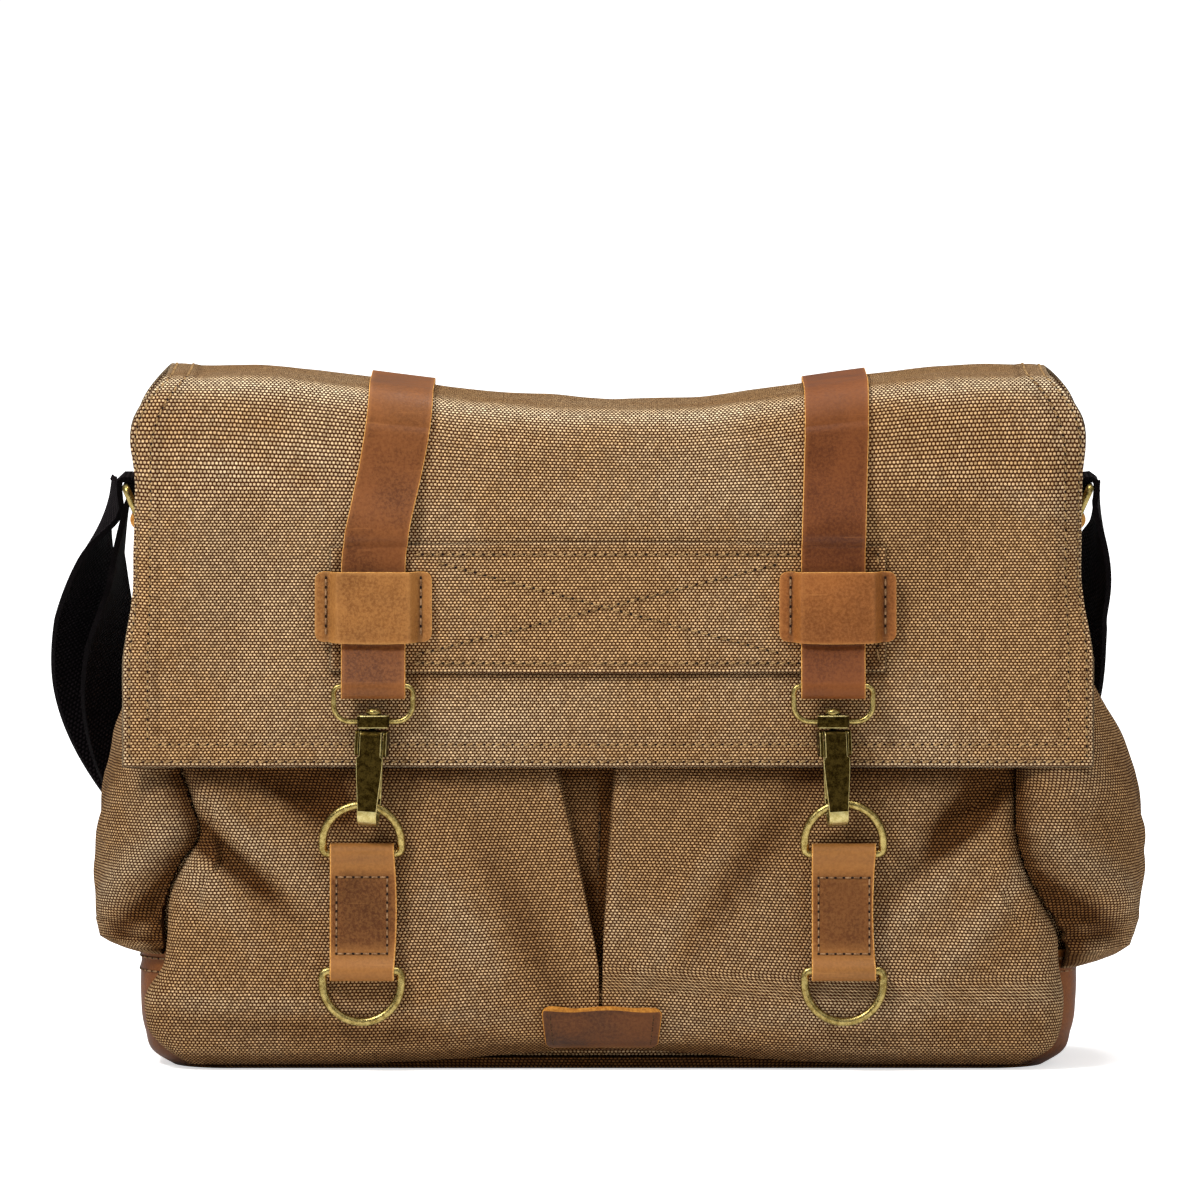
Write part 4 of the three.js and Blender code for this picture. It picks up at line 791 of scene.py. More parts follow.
class Nodes:
    """A small helper that adds and links shader nodes."""

    def __init__(self, tree: bpy.types.NodeTree) -> None:
        """Keeps the tree that nodes are added to."""
        self.tree = tree

    def add(self, kind: str, **settings: object) -> bpy.types.Node:
        """Adds a node and sets its properties.

        Args:
            kind: The node's type.
            settings: Its properties by name.

        Returns:
            The new node.
        """
        node = self.tree.nodes.new(kind)
        for key, value in settings.items():
            setattr(node, key, value)
        return node

    def feed(self, socket: bpy.types.NodeSocket, value: object) -> None:
        """Links a socket to another one, or sets it to a value."""
        if isinstance(value, bpy.types.NodeSocket):
            self.tree.links.new(value, socket)
        elif value is not None:
            socket.default_value = value

    def math(self, operation: str, first: object, second: object = None, clamp: bool = False) -> object:
        """The result of one sum on two values."""
        node = self.add("ShaderNodeMath", operation=operation, use_clamp=clamp)
        self.feed(node.inputs[0], first)
        self.feed(node.inputs[1], second)
        return node.outputs[0]

    def plus(self, first: object, second: object, clamp: bool = False) -> object:
        """The sum of two values."""
        return self.math("ADD", first, second, clamp)

    def minus(self, first: object, second: object) -> object:
        """One value less another."""
        return self.math("SUBTRACT", first, second)

    def times(self, first: object, second: object, clamp: bool = False) -> object:
        """The product of two values."""
        return self.math("MULTIPLY", first, second, clamp)

    def blend(self, share: object, start: object, end: object, mode: str = "MIX") -> object:
        """A colour between two, at a share."""
        node = self.add("ShaderNodeMix", data_type="RGBA", blend_type=mode)
        self.feed(node.inputs[0], share)
        self.feed(node.inputs[6], start)
        self.feed(node.inputs[7], end)
        return node.outputs[2]

    def ramp(self, value: object, low: float, high: float) -> object:
        """A value mapped smoothly from low and high to 0 and 1."""
        node = self.add("ShaderNodeMapRange", interpolation_type="SMOOTHSTEP")
        self.feed(node.inputs["Value"], value)
        node.inputs["From Min"].default_value = low
        node.inputs["From Max"].default_value = high
        return node.outputs["Result"]

    def spot(self) -> object:
        """The place on the object, in metres."""
        return self.add("ShaderNodeTexCoord").outputs["Object"]

    def noise(self, vector: object, scale: object, detail: float = 3.0, roughness: float = 0.55) -> object:
        """Soft noise at a scale in lumps a metre."""
        node = self.add("ShaderNodeTexNoise")
        self.feed(node.inputs["Vector"], vector)
        self.feed(node.inputs["Scale"], scale)
        node.inputs["Detail"].default_value = detail
        node.inputs["Roughness"].default_value = roughness
        return node.outputs["Fac"]

    def attribute(self, name: str, output: str = "Fac") -> object:
        """A field stored on the mesh."""
        return self.add("ShaderNodeAttribute", attribute_name=name).outputs[output]


def new_group(name: str, inputs: dict[str, tuple[str, object]], outputs: dict[str, str]) -> tuple:
    """Starts a shader group with named sockets.

    Args:
        name: The group's name.
        inputs: Each input's type and value.
        outputs: Each output's type.

    Returns:
        The tree, its helper, its input node and its output node.
    """
    tree = bpy.data.node_groups.new(name, "ShaderNodeTree")
    for label, (kind, value) in inputs.items():
        socket = tree.interface.new_socket(name=label, in_out="INPUT", socket_type=kind)
        if value is not None:
            socket.default_value = value
    for label, kind in outputs.items():
        tree.interface.new_socket(name=label, in_out="OUTPUT", socket_type=kind)
    nodes = Nodes(tree)
    return tree, nodes, nodes.add("NodeGroupInput"), nodes.add("NodeGroupOutput")


FLOAT = "NodeSocketFloat"
VECTOR = "NodeSocketVector"


def weave_group() -> bpy.types.NodeTree:
    """A plain weave whose rows of raised threads are offset like bricks.

    Returns:
        A group that gives the threads' height and a tone of their own, from a place in the cloth.
    """
    inputs = {
        "Place": (VECTOR, None),
        "Across": (FLOAT, 1.5 * MM),
        "Along": (FLOAT, 1.1 * MM),
        "Unevenness": (FLOAT, 0.35),
    }
    tree, nodes, given, result = new_group("weave", inputs, {"Height": FLOAT, "Tone": FLOAT})
    parts = nodes.add("ShaderNodeSeparateXYZ")
    wobble = nodes.noise(given.outputs["Place"], 160.0, 2.0)
    drift = nodes.times(nodes.minus(wobble, 0.5), given.outputs["Unevenness"])
    nodes.feed(parts.inputs[0], given.outputs["Place"])
    across = nodes.plus(nodes.math("DIVIDE", parts.outputs[0], given.outputs["Across"]), drift)
    rows = nodes.plus(nodes.math("DIVIDE", parts.outputs[1], given.outputs["Along"]), drift)
    row = nodes.math("FLOOR", rows)
    offset = nodes.times(nodes.math("FLOORED_MODULO", row, 2.0), 0.5)
    shifted = nodes.plus(across, offset)
    cell = nodes.math("FLOOR", shifted)

    def hump(value: object, start: object) -> object:
        """A round hump over one cell."""
        centred = nodes.minus(nodes.minus(value, start), 0.5)
        square = nodes.times(nodes.times(centred, centred), 4.0)
        return nodes.minus(1.0, square)

    height = nodes.times(hump(shifted, cell), hump(rows, row), clamp=True)
    height = nodes.math("POWER", height, 0.7)
    spot = nodes.add("ShaderNodeCombineXYZ")
    nodes.feed(spot.inputs[0], cell)
    nodes.feed(spot.inputs[1], row)
    tone = nodes.add("ShaderNodeTexWhiteNoise", noise_dimensions="2D")
    nodes.feed(tone.inputs["Vector"], spot.outputs[0])
    nodes.feed(result.inputs["Height"], height)
    nodes.feed(result.inputs["Tone"], tone.outputs["Value"])
    return tree


def mottle_group() -> bpy.types.NodeTree:
    """Broad cloudy patches mixed with small specks, from 0 to 1."""
    inputs = {
        "Vector": (VECTOR, None),
        "Broad": (FLOAT, 12.0),
        "Fine": (FLOAT, 220.0),
        "Fine Share": (FLOAT, 0.35),
    }
    tree, nodes, given, result = new_group("mottle", inputs, {"Patches": FLOAT, "Specks": FLOAT})
    broad = nodes.noise(given.outputs["Vector"], given.outputs["Broad"], 4.0)
    fine = nodes.noise(given.outputs["Vector"], given.outputs["Fine"], 3.0, 0.7)
    share = nodes.times(nodes.minus(fine, 0.5), given.outputs["Fine Share"])
    nodes.feed(result.inputs["Patches"], nodes.ramp(nodes.plus(broad, share), 0.3, 0.7))
    nodes.feed(result.inputs["Specks"], nodes.ramp(fine, 0.35, 0.65))
    return tree


def grain_group() -> bpy.types.NodeTree:
    """Leather grain: small pebbles between fine creases, and a few long scratches."""
    inputs = {"Vector": (VECTOR, None), "Scale": (FLOAT, 900.0)}
    tree, nodes, given, result = new_group("grain", inputs, {"Height": FLOAT, "Scratches": FLOAT})
    cells = nodes.add("ShaderNodeTexVoronoi", feature="DISTANCE_TO_EDGE")
    nodes.feed(cells.inputs["Vector"], given.outputs["Vector"])
    nodes.feed(cells.inputs["Scale"], given.outputs["Scale"])
    pebble = nodes.ramp(cells.outputs["Distance"], 0.0, 0.25)
    stretch = nodes.add("ShaderNodeMapping")
    nodes.feed(stretch.inputs["Vector"], given.outputs["Vector"])
    stretch.inputs["Rotation"].default_value = (0.3, 0.9, 0.7)
    stretch.inputs["Scale"].default_value = (25.0, 400.0, 400.0)
    scratch = nodes.ramp(nodes.noise(stretch.outputs[0], 1.0, 2.0), 0.66, 0.72)
    wrinkle = nodes.noise(given.outputs["Vector"], 320.0, 4.0, 0.6)
    nodes.feed(result.inputs["Height"], nodes.plus(nodes.times(pebble, 0.4), wrinkle))
    nodes.feed(result.inputs["Scratches"], scratch)
    return tree


class Effects:
    """The shader groups that several finishes share."""

    def __init__(self) -> None:
        """Builds each group once."""
        self.weave = weave_group()
        self.mottle = mottle_group()
        self.grain = grain_group()

    @staticmethod
    def place(nodes: Nodes, tree: bpy.types.NodeTree, **values: object) -> bpy.types.Node:
        """Places a group in a material with its own values.

        Args:
            nodes: The material's helper.
            tree: The group.
            values: Its inputs by name, with spaces as underscores.

        Returns:
            The group's node.
        """
        node = nodes.add("ShaderNodeGroup", node_tree=tree)
        for label, value in values.items():
            nodes.feed(node.inputs[label.replace("_", " ")], value)
        return node


def start_material(name: str, roughness: float, metallic: float = 0.0) -> tuple:
    """A new material with its main shader.

    Args:
        name: The material's name.
        roughness: The shader's roughness.
        metallic: The shader's metallic value.

    Returns:
        The material, its helper and its main shader.
    """
    material = bpy.data.materials.new(name)
    material.use_nodes = True
    shader = material.node_tree.nodes["Principled BSDF"]
    shader.inputs["Roughness"].default_value = roughness
    shader.inputs["Metallic"].default_value = metallic
    return material, Nodes(material.node_tree), shader


def add_bump(nodes: Nodes, shader: bpy.types.Node, height: object, depth: float, strength: float) -> None:
    """Feeds a height into the shader's normal."""
    bump = nodes.add("ShaderNodeBump")
    bump.inputs["Distance"].default_value = depth
    bump.inputs["Strength"].default_value = strength
    nodes.feed(bump.inputs["Height"], height)
    nodes.feed(shader.inputs["Normal"], bump.outputs["Normal"])


@dataclass(frozen=True)
class WovenFinish:
    """Cloth of raised threads over dark gaps, paler where rubbed and where fold crests get a painted
    highlight.
    """

    name: str
    thread: tuple[float, float, float]
    gap: tuple[float, float, float]
    worn: tuple[float, float, float]
    across: float = 1.55 * MM
    along: float = 1.15 * MM
    relief: float = 0.35 * MM

    def build(self, effects: Effects) -> bpy.types.Material:
        """Makes the material."""
        material, nodes, shader = start_material(self.name, 0.92)
        place = nodes.attribute("place", "Vector")
        weave = effects.place(nodes, effects.weave, Place=place, Across=self.across, Along=self.along)
        spot = nodes.spot()
        mottle = effects.place(nodes, effects.mottle, Vector=spot, Broad=14.0, Fine=300.0)
        height = weave.outputs["Height"]
        # The wear field pales the threads: rubbed wear, and a painted highlight on fold crests.
        wear = nodes.times(nodes.attribute("wear"), 0.85)
        rub = nodes.times(nodes.minus(mottle.outputs["Patches"], 0.45), 0.5)
        worn = nodes.plus(wear, rub, clamp=True)
        thread = nodes.blend(worn, linear(*self.thread), linear(*self.worn))
        tone = nodes.plus(nodes.times(weave.outputs["Tone"], 0.5), 0.72)
        toned = nodes.blend(1.0, thread, tone, "MULTIPLY")
        raised = nodes.ramp(height, 0.36, 1.0)
        colour = nodes.blend(raised, linear(*self.gap), toned)
        # The shade field paints shade into the colour.
        shade = nodes.blend(nodes.attribute("shade"), (1, 1, 1, 1), (0.27, 0.19, 0.12, 1))
        nodes.feed(shader.inputs["Base Color"], nodes.blend(1.0, colour, shade, "MULTIPLY"))
        shader.inputs["Specular IOR Level"].default_value = 0.05
        add_bump(nodes, shader, height, self.relief, 1.0)
        return material


@dataclass(frozen=True)
class LeatherFinish:
    """Waxed leather: cloudy tones, fine grain, paler scratches and darker oiled patches."""

    name: str
    body: tuple[float, float, float]
    dark: tuple[float, float, float]
    pale: tuple[float, float, float]
    roughness: float = 0.52

    def build(self, effects: Effects) -> bpy.types.Material:
        """Makes the material."""
        material, nodes, shader = start_material(self.name, self.roughness)
        spot = nodes.spot()
        clouds = effects.place(nodes, effects.mottle, Vector=spot, Broad=38.0, Fine=900.0, Fine_Share=0.28)
        grain = effects.place(nodes, effects.grain, Vector=spot)
        tone = nodes.blend(clouds.outputs["Patches"], linear(*self.dark), linear(*self.body))
        speck = nodes.times(clouds.outputs["Specks"], 0.22)
        tone = nodes.blend(speck, tone, linear(*self.pale))
        rubbed = nodes.times(nodes.attribute("wear"), 0.8)
        tone = nodes.blend(rubbed, tone, linear(*self.pale))
        tone = nodes.blend(nodes.times(grain.outputs["Scratches"], 0.3), tone, linear(*self.pale))
        shade = nodes.minus(1.0, nodes.times(nodes.attribute("shade"), 0.6))
        nodes.feed(shader.inputs["Base Color"], nodes.blend(1.0, tone, shade, "MULTIPLY"))
        rough = nodes.times(clouds.outputs["Patches"], 0.16)
        nodes.feed(shader.inputs["Roughness"], nodes.plus(rough, self.roughness - 0.08))
        shader.inputs["Specular IOR Level"].default_value = 0.22
        add_bump(nodes, shader, grain.outputs["Height"], 0.12 * MM, 0.6)
        return material


@dataclass(frozen=True)
class BrassFinish:
    """Antique brass: a dark speckled face that is brighter where it is rubbed."""

    name: str
    face: tuple[float, float, float]
    bright: tuple[float, float, float]
    roughness: float
    speckle: float

    def build(self, effects: Effects) -> bpy.types.Material:
        """Makes the material."""
        material, nodes, shader = start_material(self.name, self.roughness, 1.0)
        spot = nodes.spot()
        mottle = effects.place(nodes, effects.mottle, Vector=spot, Broad=500.0, Fine=2200.0, Fine_Share=1.0)
        share = nodes.times(mottle.outputs["Patches"], self.speckle)
        nodes.feed(shader.inputs["Base Color"], nodes.blend(share, linear(*self.face), linear(*self.bright)))
        rough = nodes.times(mottle.outputs["Specks"], 0.18)
        nodes.feed(shader.inputs["Roughness"], nodes.plus(rough, self.roughness - 0.06))
        add_bump(nodes, shader, mottle.outputs["Specks"], 0.03 * MM, 0.5)
        return material


@dataclass(frozen=True)
class PlainFinish:
    """A thread, a needle hole or a raw edge: one tone with fine fibres."""

    name: str
    dark: tuple[float, float, float]
    light: tuple[float, float, float]
    roughness: float = 0.85

    def build(self, effects: Effects) -> bpy.types.Material:
        """Makes the material."""
        material, nodes, shader = start_material(self.name, self.roughness)
        spot = nodes.spot()
        fibres = effects.place(nodes, effects.mottle, Vector=spot, Broad=600.0, Fine=2200.0, Fine_Share=0.6)
        colour = nodes.blend(fibres.outputs["Patches"], linear(*self.dark), linear(*self.light))
        nodes.feed(shader.inputs["Base Color"], colour)
        shader.inputs["Specular IOR Level"].default_value = 0.2
        add_bump(nodes, shader, fibres.outputs["Specks"], 0.1 * MM, 0.6)
        return material


@dataclass
class Finishes:
    """Every finish of the bag, built once."""

    effects: Effects = field(default_factory=Effects)

    def __post_init__(self) -> None:
        """Builds the materials."""

        def made(kind: type, *row: object) -> bpy.types.Material:
            """A finish of a kind, from its row of values."""
            return kind(*row).build(self.effects)

        self.canvas = made(WovenFinish, "khaki_canvas", (212, 172, 120), (68, 30, 5), (244, 222, 182))
        self.webbing = made(
            WovenFinish, "dark_webbing", (38, 32, 34), (3, 1, 2), (60, 51, 53), 2.0 * MM, 1.4 * MM, 0.5 * MM
        )
        # The right strap's and keeper's leathers are darker and redder than the left's.
        self.strap_left = made(LeatherFinish, "left_strap_leather", (115, 64, 25), (84, 43, 13), (158, 100, 50))
        self.strap_right = made(LeatherFinish, "right_strap_leather", (108, 56, 18), (81, 38, 9), (144, 85, 39))
        self.keeper_left = made(LeatherFinish, "left_keeper_leather", (151, 97, 43), (112, 66, 25), (194, 140, 79))
        self.keeper_right = made(LeatherFinish, "right_keeper_leather", (144, 84, 34), (110, 60, 20), (186, 124, 66))
        self.tab = made(LeatherFinish, "tab_leather", (114, 64, 21), (86, 45, 12), (182, 126, 66))
        self.label = made(LeatherFinish, "label_leather", (92, 51, 21), (58, 30, 11), (132, 84, 42))
        self.base = made(LeatherFinish, "base_leather", (118, 66, 26), (80, 42, 14), (156, 96, 44))
        self.raw_edge = made(PlainFinish, "raw_leather_edge", (186, 122, 50), (232, 174, 96))
        self.label_edge = made(PlainFinish, "label_raw_edge", (150, 92, 30), (196, 132, 52))
        self.thread = made(PlainFinish, "pale_thread", (104, 72, 44), (168, 130, 92))
        self.canvas_thread = made(PlainFinish, "canvas_thread", (110, 80, 45), (180, 145, 98))
        self.dark_thread = made(PlainFinish, "dark_thread", (58, 38, 20), (98, 72, 44))
        # Needle holes: painted shade in the holes.
        self.hole = made(PlainFinish, "needle_hole_shade", (22, 11, 5), (44, 26, 13))
        self.plate = made(BrassFinish, "dark_brass_plate", (33, 23, 4), (82, 67, 28), 0.4, 0.7)
        self.wire = made(BrassFinish, "brass_wire", (128, 108, 56), (206, 186, 118), 0.26, 0.7)
        self.bright = made(BrassFinish, "rubbed_brass", (176, 158, 96), (214, 200, 142), 0.36, 0.8)


@dataclass
class Flap:
    """The flap: a sheet over the bag's top, with a stitched hem, a sewn patch and its folds."""

    form: BagForm
    finishes: Finishes
    step: float = 2.2 * MM
    hem: float = 12 * MM
    hem_rise: float = 0.5 * MM
    crest: float = 1.5 * MM
    sag: float = 1.6 * MM
    curl_draw: float = 4.2 * MM
    curl_band: tuple[float, ...] = (158 * MM, 192 * MM, 226 * MM, 246 * MM)
    stitch_rows: tuple[float, float] = (2.7 * MM, 9.8 * MM)
    patch_width: float = 217 * MM
    patch_height: float = 49 * MM
    patch_middle: float = 181 * MM
    strap_places: tuple[float, float] = (-84 * MM, 87 * MM)
    strap_calm: float = 21 * MM
    strap_cover: float = 15 * MM
    keeper_places: tuple[float, float] = (-91.5 * MM, 89.6 * MM)
    keeper_cover: tuple[float, float] = (24.5 * MM, 15.5 * MM)
    keeper_middle: float = 182 * MM
    folds: tuple[Fold, ...] = fold_table(
        (-146, 234, 1.6, 40, 7, -22),
        (-126, 244, 1.4, 30, 5, -18),
        (20, 221, 0.9, 50, 9, 6),
        (145, 229, 1.5, 42, 8, -14),
        (120, 196, -0.8, 60, 16, 60),
        (-150, 186, -0.8, 50, 18, 70),
        (0, 140, 0.8, 90, 14, 3),
    )

    def relief(self, x: Array, z: Array) -> Array:
        """How far soft folds lift the flap's front."""
        spread = smooth(self.form.flap_top - z, 2 * MM, 24 * MM)
        return lifted(self.folds, x, z) * spread

    def face(self, x: Array, z: Array) -> Array:
        """The depth of the flap's front face, with its folds."""
        x, z = np.asarray(x, float), np.asarray(z, float)
        return self.form.flap_front(x, z) - self.relief(x, z)

    def profile(self) -> Array:
        """The flap's side profile at its middle.

        Returns:
            Points of depth, height and a mark: 1 in front, 0 on the back and the top.
        """
        form = self.form
        back_hem = form.flap_top - form.flap_back_drop
        back = float(form.back_at(back_hem)) - form.step + form.gap + form.flap_wall
        front = float(form.flap_front(np.array(0.0), np.array(form.flap_top)))
        shoulder = form.flap_top - form.flap_back_radius
        line = [(back, z) for z in np.linspace(back_hem, shoulder, 12)[:-1]]
        for angle in np.linspace(0, math.pi / 2, 12):
            y = back - form.flap_back_radius * (1 - math.cos(angle))
            line.append((y, shoulder + form.flap_back_radius * math.sin(angle)))
        end = front + form.flap_front_radius
        line += [(y, form.flap_top) for y in np.linspace(line[-1][0], end, 38)[1:-1]]
        for angle in np.linspace(0, math.pi / 2, 14)[:-1]:
            y = end - form.flap_front_radius * math.sin(angle)
            line.append((y, form.flap_top - form.flap_front_radius * (1 - math.cos(angle))))
        marks = [0.0] * len(line)
        low = form.flap_top - form.flap_front_radius
        steps = int((low - form.flap_hem) / self.step)
        line += [(front, z) for z in np.linspace(low, form.flap_hem, steps)]
        marks += [1.0] * steps
        return np.column_stack([np.array(line), marks])

    def rows(self, across: Array, profile: Array) -> Array:
        """The flap's face.

        Args:
            across: Places across, as shares of its half width.
            profile: Rows of its profile.

        Returns:
            A grid of points.
        """
        form = self.form
        sag = self.sag * bell(across - 0.16, 0.22)
        z = profile[:, None, 1] + 0 * across[None]
        share = smooth(z, form.flap_top - 42 * MM, form.flap_top - 4 * MM)
        z = z + share * (form.corner_lift(across) - sag)[None]
        x = across[None] * form.flap_half_width(z)
        beside = (1 - np.abs(across)) * form.flap_width / 2 / form.flap_curl_reach
        turned = np.maximum(1 - beside, 0)[None] ** 2
        level = profile[:, None, 1]
        turned = turned * smooth(level, *self.curl_band[:2]) * (1 - smooth(level, *self.curl_band[2:]))
        front = self.face(x, z) + form.flap_curl * turned
        y = np.where(profile[:, None, 2] > 0.5, front, profile[:, None, 0] + 0 * x)
        return stacked(x - np.sign(x) * self.curl_draw * turned, y, z)

    def grid(self) -> tuple[Array, Array, Array]:
        """The flap's face at full fineness, with each point's distances to its hems."""
        profile = self.profile()
        across = np.linspace(-1, 1, 1 + int(self.form.flap_width / self.step))
        points = self.rows(across, profile)
        run = along(profile[:, :2])
        side = (1 - np.abs(across))[None] * self.form.flap_width / 2 + 0 * run[:, None]
        foot = (run[-1] - run)[:, None] + 0 * side
        return points, side, foot

    def build(self) -> None:
        """Makes the flap, its stitching and its patch."""
        form = self.form
        points, side, foot = self.grid()
        x, z = points[..., 0], points[..., 2]
        run = foot[0, 0] - foot
        edge = np.minimum(np.minimum(side, foot), run)
        rise = self.hem_rise * (1 - smooth(edge, self.hem - 1.2 * MM, self.hem + 0.6 * MM))
        pucker = sum(bell(edge - row, 1.1 * MM) for row in self.stitch_rows)
        wave = 1 + 0.4 * ripple(points, 7 * MM, 3.0)
        rough = ripple(points, 26 * MM, 8.0) * 0.5 * MM + ripple(points, 9 * MM, 5.0) * 0.12 * MM
        covered = sum(bell(x - place, self.strap_calm) for place in self.strap_places)
        sewn = smooth(z, 146 * MM, 158 * MM) * (1 - smooth(z, 204 * MM, 214 * MM))
        sewn = sewn * (1 - smooth(np.abs(x), 106 * MM, 114 * MM))
        rough = rough * (1 - np.clip(1.35 * covered + sewn, 0, 1))
        lift = rise - 0.35 * MM * pucker * wave + rough
        place = stacked(x, run)
        fall = float(run[np.argmax(self.profile()[:, 2] > 0.5), 0])
        # A paler line along the front bend of the top: rubbed wear and painted highlight.
        curl = bell(run - fall + 13 * MM, 5 * MM)
        # Painted shade: the top strip behind the front bend is darker.
        crease = smooth(fall - 17 * MM - run, 0, 4 * MM) * smooth(run, 26 * MM, 44 * MM)
        crest = self.relief(x, z) / self.crest * (run > fall - 14 * MM)
        wear = 0.8 * curl + 0.7 * bell(edge, 2.2 * MM) + 0.1 + 0.2 * bell(edge - self.hem, 2 * MM)
        # Fold crests are paler, as rubbed wear and as painted highlight.
        wear = wear + 0.3 * np.clip(crest, 0, 1)
        # Painted shadow under the patch's lower edge.
        below = z - self.patch_middle + self.patch_height / 2 + 0.8 * MM
        shadow_under = bell(below, 1.6 * MM) * (np.abs(x) < self.patch_width / 2)
        # Painted shade in the stitch puckers, inside the hem's edge, on the top strip, under the patch and in
        # the fold hollows.
        shade = 0.2 * pucker + 0.35 * bell(edge - self.hem - 0.8 * MM, 1.1 * MM) + 0.35 * crease
        shade = shade + 0.7 * shadow_under * (run > 60 * MM) + 0.35 * np.clip(-crest, 0, 1)
        sheet = Cloth(points, place, np.clip(wear, 0, 1), np.clip(shade, 0, 1))
        normal = sheet.normals(FRONT)
        sheet.points = points + normal * lift[..., None]
        piece = sheet.build("flap_canvas", form.flap_wall, FRONT, [self.finishes.canvas], 0.9 * MM)
        settle(piece, Slot.CANVAS, ROOT_BODY, "flap")
        sewn_on = [self._stitch(sheet, side, foot), *self._patch()]

    def _stitch(self, sheet: Cloth, side: Array, foot: Array) -> bpy.types.Object:
        """Sews the flap's hem with two rows on its sides and foot."""
        normal = sheet.normals(FRONT)
        seam = Stitching(pitch=3.7 * MM)
        columns = side[0]
        for row in self.stitch_rows:
            for flip in (False, True):
                distance = columns[::-1] if flip else columns
                half = len(distance) // 2
                column = float(np.interp(row, distance[:half], np.arange(half)))
                column = len(distance) - 1 - column if flip else column
                low = int(column)
                share = column - low
                line = mix(sheet.points[:, low], sheet.points[:, low + 1], share)
                keep = (foot[:, 0] >= row) & (foot[:, 0] <= foot[0, 0] - 2 * MM)
                seam.add_row(line[keep], normal[keep, low], 14)
            at = np.argmin(np.abs(foot[:, 0] - row))
            keep = side[at] >= row
            seam.add_row(sheet.points[at][keep], normal[at][keep], 14)
        return seam.sew("flap_stitches", Slot.CANVAS, self.finishes.canvas_thread, self.finishes.hole)

    def patch_face(self, x: Array, z: Array) -> Array:
        """The depth of the patch's outer face."""
        return self.face(x, z) - self.form.gap - self.form.patch_wall

    def _patch(self) -> list[bpy.types.Object]:
        """Makes the reinforcing patch with its stitching."""
        half, high = self.patch_width / 2, self.patch_height / 2
        x = np.linspace(-half, half, 150)
        v = np.linspace(1, -1, 44)
        bow = 1.6 * MM * (1 - (x / half) ** 2)
        z = self.patch_middle + v[:, None] * high + np.where(v[:, None] > 0, bow, -0.4 * bow)
        grid_x = x[None] + 0 * z
        edge = np.minimum(half - np.abs(grid_x), high - np.abs(v[:, None] * high) + 0 * grid_x)
        pucker = bell(edge - 3.2 * MM, 1.2 * MM)
        curl = 0.8 * MM * smooth(-v[:, None], 0.7, 1) * bell(grid_x, 0.4 * half)
        y = self.patch_face(grid_x, z) - curl + 0.3 * MM * pucker
        points = stacked(grid_x, y, z)
        y = y - 0.25 * MM * ripple(points, 16 * MM, 2.0)
        points[..., 1] = y
        place = stacked(grid_x, -z)
        wear = np.clip(0.4 * bell(edge, 1.2 * MM), 0, 1)
        ends = bell(half - np.abs(grid_x) - 5.5 * MM, 4 * MM)
        shade = 0.25 * pucker + 0.45 * ends
        sheet = Cloth(points, place, wear, shade)

        def limit(other: Array) -> Array:
            """Keeps the patch's back clear of the flap."""
            depth = np.minimum(other[..., 1], self.face(other[..., 0], other[..., 2]) - 0.2 * MM)
            return stacked(other[..., 0], depth, other[..., 2])

        finishes = [self.finishes.canvas]
        patch = sheet.build("patch_canvas", self.form.patch_wall, FRONT, finishes, 0.7 * MM, limit)
        settle(patch, Slot.CANVAS, ROOT_BODY, "flap_patch")
        seam = Stitching(pitch=3.9 * MM)
        inset, end = 3.4 * MM, 3.2 * MM
        low, top = self.patch_middle - high, self.patch_middle + high
        lines = [
            ((-half + end, top - inset), (half - end, top - inset)),
            ((-half + end, low + inset), (half - end, low + inset)),
            ((-half + end, low + inset), (-half + end, top - inset)),
            ((half - end, low + inset), (half - end, top - inset)),
            ((-half + 2.4 * end, low + inset), (-half + 2.4 * end, top - inset)),
            ((half - 2.4 * end, low + inset), (half - 2.4 * end, top - inset)),
            ((-67 * MM, top - inset - 3 * MM), (66 * MM, low + inset + 4 * MM)),
            ((-76 * MM, low + inset + 3 * MM), (65 * MM, top - inset - 4 * MM)),
        ]
        for (x0, z0), (x1, z1) in lines:
            share = np.linspace(0, 1, 320)
            line_x, line_z = mix(x0, x1, share), mix(z0, z1, share)
            line_y = self.patch_face(line_x, line_z) - 0.15 * MM
            line = stacked(line_x, line_y, line_z)
            for part in self._bare_runs(line_x, line_z):
                seam.add_row(line[part], np.tile(FRONT, (len(line[part]), 1)), 12)
        threads = seam.sew("patch_stitches", Slot.CANVAS, self.finishes.canvas_thread, self.finishes.hole)
        return [patch, threads]

    def _bare_runs(self, x: Array, z: Array) -> list[slice]:
        """The stretches of a line on the patch that no strap or keeper covers.

        Args:
            x: Places across.
            z: Heights.

        Returns:
            Slices of the line.
        """
        aside = np.minimum(*[np.abs(x - place) for place in self.keeper_places])
        wide, high = self.keeper_cover
        covered = (aside < self.strap_cover) | ((aside < wide) & (np.abs(z - self.keeper_middle) < high))
        bounds = np.flatnonzero(np.diff(np.concatenate([[1], covered.astype(int), [1]])))
        runs = [slice(int(a), int(b)) for a, b in zip(bounds[::2], bounds[1::2])]
        length = float(np.hypot(x[1] - x[0], z[1] - z[0]))
        return [run for run in runs if (run.stop - run.start) * length > 4 * MM]


def settle(piece: bpy.types.Object, slot: Slot, body: str, *nodes: str) -> None:
    """Lets a piece ride on a body and hides the frame's nodes that it replaces.

    Args:
        piece: The piece.
        slot: Not used.
        body: The body that it moves with.
        nodes: The frame's nodes that it stands for.
    """
    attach(piece, body)
    if nodes:
        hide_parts(*nodes)
    LOG.info("%s: %d faces", piece.name, len(piece.data.polygons))


